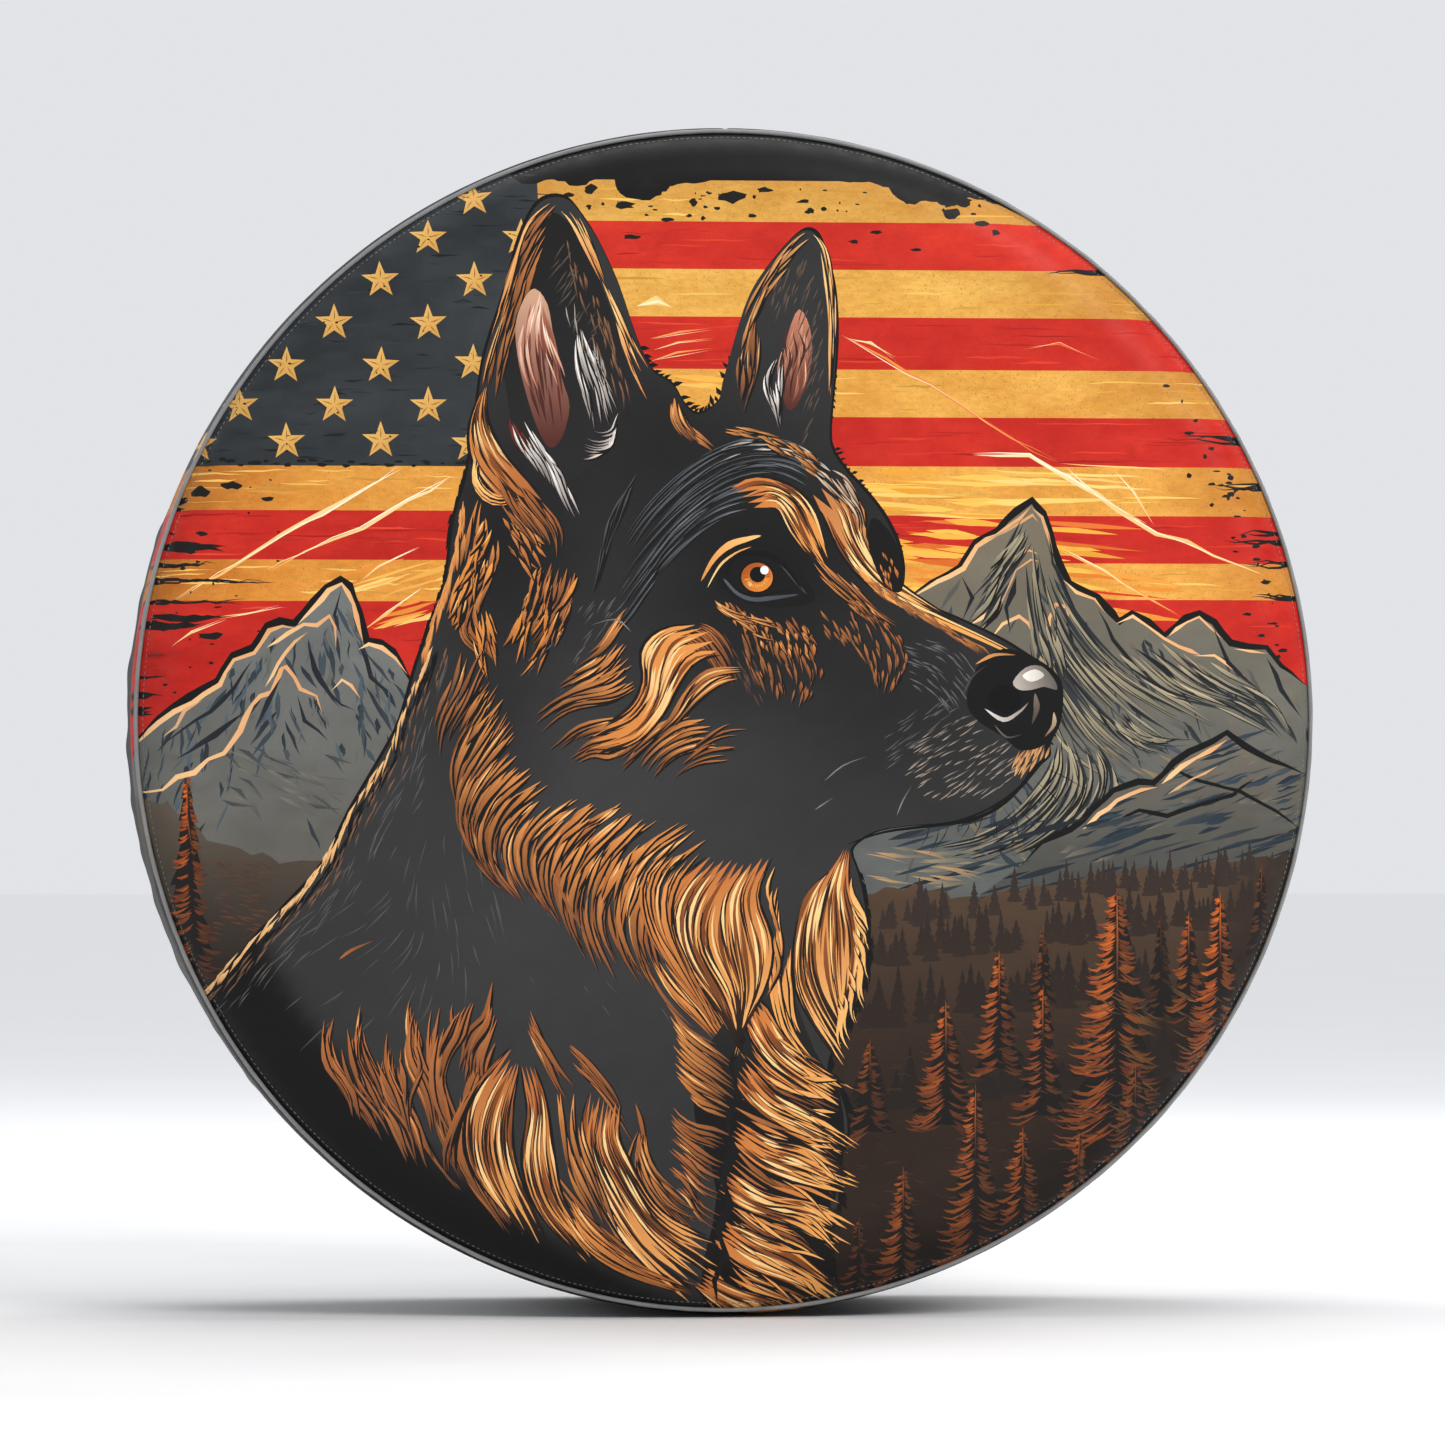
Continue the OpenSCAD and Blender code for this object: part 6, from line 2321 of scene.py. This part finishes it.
def hem_casing():
    outside = dense(loop_round(MOUTH_R, CASING_R, CASING_Y0, CASING_Y1, 0.0024), 0.0026)
    inside_ = dense(loop_round(MOUTH_R + CLOTH, CASING_R - CLOTH, CASING_Y0 + CLOTH,
                               CASING_Y1 - CLOTH, 0.0014, 3), 0.004)
    parts = []
    for points, flip in ((outside, False), (inside_, True)):
        v, f = hem_loop(points, 0.10)
        if flip:
            f = f[:, ::-1]
        c = v[f].mean(1)                             # open the wall behind the cord's exit
        hole = (np.hypot(c[:, 0], c[:, 2] - RING_R) < 0.0074) & (c[:, 1] > CASING_Y1 - 0.003)
        parts.append((v, [f[~hole]]))
    front = BACK - CLOTH - 0.0001
    for points in (lip(BACK + 0.0001, BACK + 0.0003), lip(front - HEM_TAPE, front - 0.0002)):
        v, f = hem_loop(points)
        parts.append((v, [f]))
    make("hem_tape_casing", *joined(parts), [M["hem"]], "hem_casing", "hem_tape")


hem_casing()


# --- stitching


def around(n):
    return np.arange(n) * 2 * math.pi / n


def hem_top(th):
    r = CASING_R + 0.005
    dr, dy = hem_shift(np.full_like(th, r), th)
    return polar(r + dr, BACK + 0.0001 + HEM_TAPE + dy, th)


def hem_stitching():
    """Through both lips of the hem tape."""
    th = around(560)
    th = th[np.abs(np.angle(np.exp(1j * (th - TOP)))) > 0.2 * DEG]
    tan = unit(hem_top(th + 0.002) - hem_top(th - 0.002))
    nor = np.cross(polar(1.0, 0.0, th), tan)
    nor *= np.sign(nor[:, 1:2])
    make("hem_thread", *stitch_run(hem_top(th), tan, nor, length=0.0032, radius=0.00036),
         [M["thread_dark"]], "hem_stitching", "stitching_thread")


def face_topstitching():
    """Round the face beside the seam."""
    r = FLAT_R + SHOULDER * math.sin(SEAM_ANGLE + math.asin(-0.006 / (SHOULDER + 0.0004)))
    th = around(640)

    def on_face(a):
        return face_surface(r * np.cos(a), r * np.sin(a))
    tan = unit(on_face(th + 0.001) - on_face(th - 0.001))
    nor = face_normals(r * np.cos(th), r * np.sin(th))
    make("face_thread", *stitch_run(on_face(th), tan, nor, length=0.0031, radius=0.00034),
         [M["thread"]], "face_topstitching", "stitching_thread")


def band_joint_stitching():
    """A row on each side of the band's two joints."""
    runs = []
    s = np.arange(S_SHOULDER + 0.004, S_FOLD - 0.002, 0.0041)
    for joint in (TOP, BOTTOM):
        for k in (-1, 1):
            th = np.full_like(s, joint + k * JOINT_STITCH)
            tan = unit(band_outside(s + 0.001, th) - band_outside(s - 0.001, th))
            runs.append(stitch_run(band_outside(s, th), tan, polar(1.0, 0.0, th),
                                   length=0.0031, radius=0.00034))
    make("band_joint_thread", *joined(runs), [M["thread"]], "band_joint_stitching",
         "stitching_thread")


hem_stitching()
face_topstitching()
band_joint_stitching()

# --- piping: a bead of skin over a cord, with its flange in the seam


def piping():
    bead = 0.0016
    centre = seam_at(0.0003, SHOULDER + bead + 0.00015)
    root = seam_at(0.0003, SHOULDER - 0.01)
    base = math.atan2(root[1] - centre[1], root[0] - centre[0])
    gap = 0.17                                       # half angle left open towards the seam
    loop = []
    for k in range(19):
        a = base + gap + (2 * math.pi - 2 * gap) * k / 18
        loop.append((centre[0] + bead * math.cos(a), centre[1] + bead * math.sin(a)))
    e0, e1 = seam_at(0.00055, SHOULDER - 0.001), seam_at(0.00055, SHOULDER - 0.009)
    f0, f1 = seam_at(0.00005, SHOULDER - 0.001), seam_at(0.00005, SHOULDER - 0.009)
    # the flange starts on the side where the bead's loop ends
    nearer = math.dist(loop[-1], e0) < math.dist(loop[-1], f0)
    loop += [e0, e1, f1, f0] if nearer else [f0, f1, e1, e0]

    def shift(R, Y, T):
        d = (0.00011 * pucker(T * 1.0 + 0.4) + 0.00016 * noise(T * 40, R * 0, 0, 61)
             + 0.0001 * np.sin(T * 6 + 1))
        k = np.clip((R - (centre[0] - bead)) / bead, 0, 1)
        return d * k, d * 0.4 * k
    P, F = revolve(loop, 1440, shift)
    make("seam_piping", P, [F[:, ::-1]], [M["piping"]], "piping_cover", "piping_skin")


piping()

# --- lining


def lining_side(rad, wrinkled):
    th = around(320)
    ang = np.linspace(0.05, SEAM_ANGLE - 6 * DEG, 12)
    r = np.concatenate([[0.0004, 0.003], np.linspace(0.008, FLAT_R, 62),
                        FLAT_R + rad * np.sin(ang)])
    y = np.concatenate([np.full(64, SHOULDER_Y - rad), SHOULDER_Y - rad * np.cos(ang)])
    nr = np.concatenate([np.zeros(64), np.sin(ang)])
    ny = np.concatenate([-np.ones(64), -np.cos(ang)])
    R, T = np.meshgrid(r, th, indexing="ij")
    Y = np.repeat(y[:, None], len(th), 1)
    if wrinkled:
        x, z = R * np.cos(T), R * np.sin(T)
        d = (0.0016 * np.clip(0.35 + fbm(x * 9, z * 9, 0, 3, 71), 0, 1)
             + 0.0007 * np.clip(fbm(x * 30 + z * 12, z * 16 - x * 14, 0, 2, 77), 0, 1))
        d = d + (0.0012 * np.clip(np.sin(34 * T + 2 * np.sin(3 * T)), 0, 1)
                 * np.exp(-((R - 0.415) / 0.03) ** 2))
        d = d * step(0.432 - R, 0.0, 0.012)
        R, Y = R - nr[:, None] * d, Y - ny[:, None] * d
    return polar(R, Y, T)


def lining():
    outside_r = SHOULDER - CLOTH - 0.00006
    front, rear = lining_side(outside_r, False), lining_side(outside_r - 0.0008, True)
    rows, cols = front.shape[:2]
    F = quads(2 * rows, cols, False, True)
    F = F[(F.min(1) // cols != rows - 1)]            # the two centres aren't joined to each other
    ring = np.arange(cols)
    after, last = np.roll(ring, -1), (2 * rows - 1) * cols
    rim = np.stack([ring, after, after + last, ring + last], -1)
    make("fleece_lining", np.concatenate([rear[::-1], front]),
         [F, cap(cols, (rows - 1) * cols), cap(cols, rows * cols, True), rim],
         [M["fleece"]], "face_lining", "lining_fleece")


lining()

# --- binding over the seam's raw edge


def binding():
    w0, w1 = -CLOTH - 0.00006, 0.0006 + CLOTH + 0.00006
    d0, t = SEAM_DEPTH - 0.0001, 0.0005
    top = d0 - t + 0.0056
    profile = [(w0 - t, top), (w0 - t, d0 + 0.001), (w0 - t * 0.75, d0 - t * 0.4),
               (w0 - t * 0.2, d0 - t * 0.9), (w0 + 0.0006, d0 - t), (w1 - 0.0006, d0 - t),
               (w1 + t * 0.2, d0 - t * 0.9), (w1 + t * 0.75, d0 - t * 0.4), (w1 + t, d0 + 0.001),
               (w1 + t, top), (w1, top), (w1, d0), (w0, d0), (w0, top)]

    def shift(R, Y, T):
        d = 0.00022 * noise(T * 60, 0 * R, 0, 91) + 0.0001 * np.sin(T * 140 + 2 * np.sin(9 * T))
        k = np.zeros((len(profile), 1))
        k[1:9] = 1.0
        return -np.abs(d) * k * 0.87, np.abs(d) * k * 0.5
    P, F = revolve([seam_at(s, d) for s, d in profile], 900, shift)
    make("seam_tape_binding", P, [F], [M["binding"]], "seam_binding", "edge_binding")


binding()

# --- tapes over the band joints, and the blank care label sewn in along its front edge


def joint_tapes():
    slabs = []
    for joint in (TOP, BOTTOM):
        th = joint + np.linspace(-1.6, 1.6, 21) * DEG
        s = np.linspace(S_SHOULDER + 0.002, S_FOLD - 0.001, 90)
        S, T = np.meshgrid(s, th, indexing="ij")
        y = profile_point(S)[1]
        lift = band_lift(S, T)
        across = (T - joint) / TAPE_HALF
        bulge = 0.00016 * np.cos(across * math.pi / 2) + 0.00008 * noise(S * 300, T * 60, 0, 33)
        thin = 0.00015 * np.exp(-np.clip(1 - np.abs(across), 0, 1) * 14)
        slabs.append(slab(polar(OUTER_R - CLOTH - 0.0009 + thin + lift - np.abs(bulge), y, T),
                          polar(OUTER_R - CLOTH - 0.0002 - thin + lift, y, T)))
    make("joint_tapes", *joined(slabs), [M["tape"]], "band_joint_tapes", "joint_tape")


def care_label():
    y0, y1 = 0.008, 0.040
    Y, T = np.meshgrid(np.linspace(y0, y1, 34), np.linspace(251, 257, 40) * DEG, indexing="ij")
    curl = (((Y - y0) / 0.032) ** 2 * 0.0022
            * (0.75 + 0.25 * np.cos((T - 254 * DEG) / (3 * DEG) * 2.2))
            + 0.00012 * noise(Y * 300, T * 90, 0, 21))
    r = OUTER_R - CLOTH - 0.0003 - np.abs(curl)
    make("care_label_cloth", *slab(polar(r - 0.0004, Y, T), polar(r, Y, T)), [M["label"]],
         "care_label", "label_cloth")


joint_tapes()
care_label()

# --- eyelets


def lathe(profile, n, origin, axis, u, v, closed=False, ridge=None):
    """A (radius, height) profile turned about an axis through origin. Height runs along axis."""
    prof = np.array(profile, float)
    ph = np.arange(n) * 2 * math.pi / n
    R = np.repeat(prof[:, 0][:, None], n, 1)
    H = np.repeat(prof[:, 1][:, None], n, 1)
    if ridge is not None:
        R = R + ridge(R, H, ph[None, :])
    origin, axis, u, v = (np.asarray(q, float) for q in (origin, axis, u, v))
    P = origin + H[..., None] * axis + R[..., None] * (np.cos(ph)[None, :, None] * u
                                                       + np.sin(ph)[None, :, None] * v)
    F = [quads(len(prof), n, closed, True)]
    if not closed:
        F += [cap(n, flip=True), cap(n, (len(prof) - 1) * n)]
    return P.reshape(-1, 3), F


def outward(ob):
    bm = bmesh.new()
    bm.from_mesh(ob.data)
    bmesh.ops.recalc_face_normals(bm, faces=bm.faces)
    bm.to_mesh(ob.data)
    bm.free()
    return ob


def rolled(bore, flange, low, top, lip_w):
    """An eyelet stamped from sheet: barrel, domed flange and inner rolled lip. Sizes in mm."""
    t = 0.45
    prof = [(bore, low + 0.25), (bore, top - 0.55), (bore + 0.08, top - 0.25),
            (bore + 0.3, top - 0.06), (bore + 0.7, top), (bore + 1.2, top - 0.01)]
    for k in range(1, 9):
        a = k / 8 * math.pi / 2
        prof.append((bore + 1.2 + (flange - bore - 1.2) * math.sin(a),
                     top - 0.01 - 0.9 * (1 - math.cos(a))))
    prof += [(flange - 0.12, top - 1.02), (flange - 0.5, top - 1.0), (bore + t, top - 1.0),
             (bore + t, low + t + 0.1), (bore + lip_w - 0.2, low + t + 0.02),
             (bore + lip_w, low + t * 0.6), (bore + lip_w - 0.15, low + 0.08),
             (bore + lip_w - 0.5, low), (bore + 0.3, low), (bore + 0.08, low + 0.08)]
    return [(a * MM, b * MM) for a, b in prof]


def eyelets():
    parts = []
    for a in (BOTTOM - DRAIN_ANGLE, BOTTOM + DRAIN_ANGLE):
        out = np.array([math.cos(a), 0, math.sin(a)])
        parts.append(lathe(rolled(bore=5.0, flange=9.0, low=-2.65, top=1.2, lip_w=1.9), 72,
                           out * OUTER_R + np.array([0, DRAIN_Y, 0]), out, (0, 1, 0),
                           (-math.sin(a), 0, math.cos(a)), True))
    outward(make("drain_eyelet_rings", *joined(parts), [M["metal"]], "drain_eyelets",
                 "eyelet_metal"))
    profile = rolled(bore=6.5, flange=9.5, low=-1.9, top=1.0, lip_w=0.9)
    outward(make("cord_exit_ring", *lathe(profile, 80, (0, CASING_Y1, RING_R), (0, 1, 0),
                                          (0, 0, 1), (1, 0, 0), True),
                 [M["metal"]], "cord_exit_eyelet", "eyelet_metal"))


eyelets()

# --- elastic cord and its tails


def spaced(points, gap):
    """Points at an even gap along a path."""
    points = np.array(points)
    along = np.concatenate([[0], np.cumsum(np.linalg.norm(np.diff(points, axis=0), axis=1))])
    fine = np.arange(0, along[-1], gap)
    return np.stack([np.interp(fine, along, points[:, k]) for k in range(3)], -1)


def elastic_ring():
    exit_x = 0.0078                                  # where the ring turns out to its exit
    bend = exit_x - STRAND_X
    z0 = math.sqrt(RING_R ** 2 - exit_x ** 2)
    start = math.pi / 2 - math.asin(exit_x / RING_R)
    th = np.linspace(start, start - (2 * math.pi - 2 * math.asin(exit_x / RING_R)), 1100)
    dr, dy = hem_shift(np.full_like(th, RING_R), th)
    ring_path = polar(RING_R + dr * 0.5, CASING_MID + dy, th)

    def into_exit(side):
        out = []
        for k in range(1, 11):
            a = k / 10 * math.pi / 2
            out.append((side * (exit_x - bend * math.sin(a)),
                        CASING_MID + bend * (1 - math.cos(a)), z0 + (RING_R - z0) * math.sin(a)))
        return out + [(side * STRAND_X, CASING_Y1 + 0.0004, RING_R)]
    path = spaced([*into_exit(1)[::-1], *ring_path, *into_exit(-1)], 0.0016)
    outward(make("elastic_ring", *tube(path, CORD_R * 0.97, 12), [M["elastic"]], "elastic_cord",
                 "braided_elastic"))


def cord_tails():
    """Two strands out of the exit, bent down to hang behind the cover."""
    gap, bend = 0.0005, 0.0058
    rate = 2 * math.pi / 0.0042                      # one braid turn in 4.2 mm

    def braid(i, a):
        return 0.00013 * (np.maximum(np.cos(5 * a + rate * i * gap), 0) ** 0.7
                          + np.maximum(np.cos(5 * a - rate * i * gap), 0) ** 0.7 - 0.9)
    tails = []
    for x in (-STRAND_X, STRAND_X):
        path = [(x, y, RING_R) for y in np.linspace(CASING_Y1 - 0.0006, TAIL_Y - bend, 12)]
        for k in range(1, 17):
            a = k / 16 * math.pi / 2
            path.append((x, TAIL_Y - bend + bend * math.sin(a),
                         RING_R - bend * (1 - math.cos(a))))
        path += [(x, TAIL_Y, z) for z in np.linspace(RING_R - bend, TAIL_END, 60)[1:]]
        tails.append(tube(spaced(path, gap), CORD_R - 0.00012, 24, braid))
    tail = outward(make("draw_cord_tails", *joined(tails), [M["elastic"]], body=None))
    settle(tail, "cord_tails", "braided_elastic", body=None)
    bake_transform(tail)


def end_stop():
    """Both strands' ends in one moulding of stadium section, its rims rounded."""
    zc, half = TAIL_END - 0.0005, 0.0085
    quarter = math.pi / 2
    # height and inset of each ring
    levels = [(-half + 0.0016 * (1 - math.cos(k / 6 * quarter)),
               -0.0016 * (1 - math.sin(k / 6 * quarter))) for k in range(7)]
    levels += [(z, -0.0004 * math.cos(z / half * quarter) ** 2)
               for z in np.linspace(-half + 0.0022, half - 0.0016, 13)]
    levels += [(half - 0.001 * (1 - math.cos(k / 5 * quarter)),
                -0.001 * (1 - math.sin(k / 5 * quarter))) for k in range(5, -1, -1)]
    n = 56

    def stadium(inset):
        r, half_x = 0.0048 + inset, 0.0032
        out = []
        for k in range(n):
            a = 2 * math.pi * k / n
            cx = half_x if math.cos(a) > 1e-9 else -half_x if math.cos(a) < -1e-9 else 0
            out.append((cx + r * math.cos(a), r * math.sin(a)))
        return out
    rings = np.array([[(x, TAIL_Y + y, zc + z) for x, y in stadium(i)] for z, i in levels])
    outward(make("cord_stop", rings, [quads(len(rings), n, False, True), cap(n, flip=True),
                                      cap(n, (len(rings) - 1) * n)],
                 [M["lock"]], "cord_end_stop", "lock_plastic", "cord"))


elastic_ring()
cord_tails()
end_stop()

# --- cord lock


def cut_box(ob, centre, size, radius):
    """Cuts a box with rounded upright edges out of a closed mesh."""
    bm = bmesh.new()
    bmesh.ops.create_cube(bm, size=1)
    bmesh.ops.scale(bm, vec=size, verts=bm.verts)
    bmesh.ops.translate(bm, vec=centre, verts=bm.verts)
    edges = [e for e in bm.edges if abs(e.verts[0].co.z - e.verts[1].co.z) > size[2] * 0.5]
    bmesh.ops.bevel(bm, geom=edges, offset=radius, segments=5, affect="EDGES", profile=0.5)
    me = bpy.data.meshes.new("cut")
    bm.to_mesh(me)
    bm.free()
    cutter = bpy.data.objects.new("cut", me)
    scene.collection.objects.link(cutter)
    m = ob.modifiers.new("cut", "BOOLEAN")
    m.operation, m.solver, m.object = "DIFFERENCE", "EXACT", cutter
    bpy.context.view_layer.update()
    dg = bpy.context.evaluated_depsgraph_get()
    me = bpy.data.meshes.new_from_object(ob.evaluated_get(dg), depsgraph=dg)
    ob.modifiers.clear()
    old = ob.data
    ob.data = me
    bpy.data.meshes.remove(old)
    bpy.data.objects.remove(cutter)


def sharp_by_angle(ob):
    me = ob.data
    me.polygons.foreach_set("use_smooth", np.ones(len(me.polygons), bool))
    bm = bmesh.new()
    bm.from_mesh(me)
    for e in bm.edges:
        e.smooth = len(e.link_faces) == 2 and e.calc_face_angle(0) < 34 * DEG
    bm.to_mesh(me)
    bm.free()


def ribs(R, H, ph):
    """28 shallow grooves down the barrel's outside."""
    w = step(H, -0.0118, -0.0118 + 0.0012) * (1 - step(H, 0.0052 - 0.0012, 0.0052)) * (R > 0.0092)
    return -0.00042 * w * np.clip(0.5 - 0.75 * np.cos(28 * ph), 0, 1) ** 1.5


def lock_part(name, profile, n, slot_y, slot_h, slot_r, mat, ridge=None):
    """A turned part with a slot for the two strands. The profile is radius, height in mm."""
    ob = make(name, *lathe([(r * MM, y * MM) for r, y in profile], n, (0, TAIL_Y, LOCK_Z),
                           (0, 1, 0), (0, 0, 1), (1, 0, 0), ridge=ridge), [mat], body=None)
    outward(ob)
    cut_box(ob, (0, slot_y, LOCK_Z), (0.0114, slot_h, 0.04), slot_r)
    sharp_by_angle(ob)
    return ob


BARREL = [(0.02, -14), (7.6, -14), (8.5, -13.88), (9.1, -13.55), (9.4, -13.1), (9.5, -12.6)]
BARREL += [(9.5, y) for y in np.linspace(-12.2, 5.6, 26)]
BARREL += [(9.5, 6.4), (9.45, 6.9), (9.2, 7.6), (8.8, 7.94), (8.4, 8.0), (7.9, 8.0), (7.6, 7.85),
           (7.5, 7.5), (7.5, -12.5), (0.02, -12.5)]
settle(lock_part("lock_body", BARREL, 168, TAIL_Y, 0.0054, 0.0012, M["lock"], ribs),
       "lock_barrel", "lock_plastic", "lock")

# radius, and depth below the button's top
BUTTON = [(r, 15.5 - down) for r, down in (
    (0.02, 0.55), (1.2, 0.5), (2.2, 0.36), (2.6, 0.12), (3.0, 0), (3.4, 0.1), (3.7, 0.42),
    (4.2, 0.42), (4.5, 0.1), (4.9, 0), (5.3, 0.1), (5.6, 0.42), (6.1, 0.42), (6.4, 0.12),
    (6.8, 0.04), (7.6, 0.16), (8.3, 0.55), (8.7, 1.1), (8.9, 1.7))]
BUTTON += [(8.9, 12.9), (8.8, 12.6), (8.55, 12.5), (7.7, 12.5), (7.44, 12.3)]
BUTTON += [(7.44, y) for y in np.linspace(11, -4.2, 12)] + [(7.3, -4.5), (7.0, -4.6), (0.02, -4.6)]
settle(lock_part("lock_button", BUTTON, 120, TAIL_Y + 0.002, 0.0092, 0.0010, M["button"]),
       "lock_plunger", "button_plastic", "button")


def lock_spring():
    wire_y0, wire_y1 = -12.5 + 0.45, -4.6 - 0.45     # in mm, between barrel floor and button
    t = np.linspace(0, 1, 260)
    rise = np.where(t < 0.1, t * 0.35,               # closed coils at both ends
                    np.where(t > 0.9, 1 - (1 - t) * 0.35, 0.035 + (t - 0.1) / 0.8 * 0.93))
    angle = 4.6 * 2 * math.pi * t
    helix = np.stack([4.6 * MM * np.cos(angle), TAIL_Y + (wire_y0 + (wire_y1 - wire_y0) * rise) * MM,
                      LOCK_Z + 4.6 * MM * np.sin(angle)], -1)
    spring = outward(make("lock_coil", *tube(helix, 0.0004, 10), [M["spring"]], "lock_spring",
                          "spring_wire", "lock"))
    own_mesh(spring)


lock_spring()

# --- pieces carried over from the frame


def carry(node, mat, bevel=0.0):
    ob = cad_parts[node]
    if len(ob.material_slots) == 0:
        ob.data.materials.append(mat)
    for s in ob.material_slots:
        s.link = "OBJECT"
        s.material = mat
    if bevel:
        b = ob.modifiers.new("edge", "BEVEL")
        b.width, b.segments, b.limit_method, b.angle_limit = bevel, 2, "ANGLE", 40 * DEG
        b.harden_normals = False


carry("piping_cord", M["core"])
carry("drain_washers", M["metal"], 0.00012)
carry("cord_exit_washer", M["metal"], 0.0001)
for node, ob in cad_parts.items():
    if not ob.hide_render and node not in ("piping_cord", "drain_washers", "cord_exit_washer"):
        carry(node, M["hem"])

# --- floor, light and camera
ROOM = (0.95, 0.965, 1.0, 1)


def floor_material():
    n = Nodes("floor")
    tone = n.mix(n.ramp(n.noise(3, detail=3, rough=0.5), MID), srgb(226, 226, 228),
                 srgb(232, 232, 232))
    # the lamps fade with distance, so the far floor is lifted to the room's tone for the camera
    place = n.node("NewGeometry", {})["Position"]
    dist = n.node("VectorMath", {0: place}, operation="LENGTH")["Value"]
    far = n.node("MapRange", {"Value": dist, "From Min": 0.7, "From Max": 4.0, "To Min": 0.0,
                              "To Max": 0.42}, interpolation_type="SMOOTHSTEP")[0]
    eye = n.node("LightPath", {})["Is Camera Ray"]
    return n.finish(Base_Color=tone, Roughness=0.75, Specular_IOR_Level=0.1, Emission_Color=ROOM,
                    Emission_Strength=n.math("MULTIPLY", far, eye))


def floor():
    z = float(min(BEFORE[0][2], BEFORE[1][2])) - 0.001
    g = np.linspace(-1, 1, 41)
    g = np.sign(g) * np.abs(g) ** 2 * 40             # finer towards the middle
    P = np.stack([*np.meshgrid(g, g, indexing="ij"), np.full((41, 41), z)], -1)
    make("floor", P, [quads(41, 41)], [floor_material()], body=None)


def studio_world():
    """A brighter room for the camera than for the light it gives."""
    world = bpy.data.worlds.new("studio")
    scene.world = world
    world.use_nodes = True
    tree = world.node_tree
    back = tree.nodes["Background"]
    back.inputs[0].default_value = ROOM
    seen = tree.nodes.new("ShaderNodeLightPath").outputs["Is Camera Ray"]
    power = tree.nodes.new("ShaderNodeMapRange")
    tree.links.new(seen, power.inputs["Value"])
    power.inputs["To Min"].default_value = 0.42
    power.inputs["To Max"].default_value = 0.80
    tree.links.new(power.outputs[0], back.inputs[1])


def lamp(name, at, size, power, colour=(1, 1, 1)):
    """A square area light aimed at the origin."""
    d = bpy.data.lights.new(name, "AREA")
    d.shape = "RECTANGLE"
    d.size = d.size_y = size
    d.energy = power
    d.color = colour
    o = bpy.data.objects.new(name, d)
    o.location = at
    o.rotation_euler = (Vector((0, 0, 0)) - Vector(at)).to_track_quat("-Z", "Y").to_euler()
    o.visible_camera = False
    scene.collection.objects.link(o)


def camera():
    azimuth, elevation, distance, view = -5.0 * DEG, -0.8 * DEG, 6.0, 1.10
    aim = Vector((0.009, 0, 0.0))
    away = Vector((math.sin(azimuth) * math.cos(elevation),
                   -math.cos(azimuth) * math.cos(elevation), math.sin(elevation)))
    data = bpy.data.cameras.new("camera")
    data.lens = 36 * distance / view
    data.clip_end = 60
    ob = bpy.data.objects.new("camera", data)
    ob.location = aim + away * distance
    ob.rotation_euler = (-away).to_track_quat("-Z", "Y").to_euler()
    scene.collection.objects.link(ob)
    scene.camera = ob


floor()
studio_world()
lamp("key", at=(2.3, -3.4, 2.6), size=2.2, power=150, colour=(1.0, 0.985, 0.96))
lamp("fill", at=(-3.6, -3.2, 0.9), size=2.4, power=34, colour=(0.94, 0.97, 1.0))
lamp("top", at=(0.2, 0.5, 3.2), size=2.6, power=70)
lamp("rim", at=(2.6, 2.2, 1.6), size=1.6, power=45)
lamp("rim_left", at=(-2.8, 2.0, 1.4), size=1.6, power=30)
camera()
scene.view_settings.view_transform = "Standard"
scene.view_settings.look = "None"

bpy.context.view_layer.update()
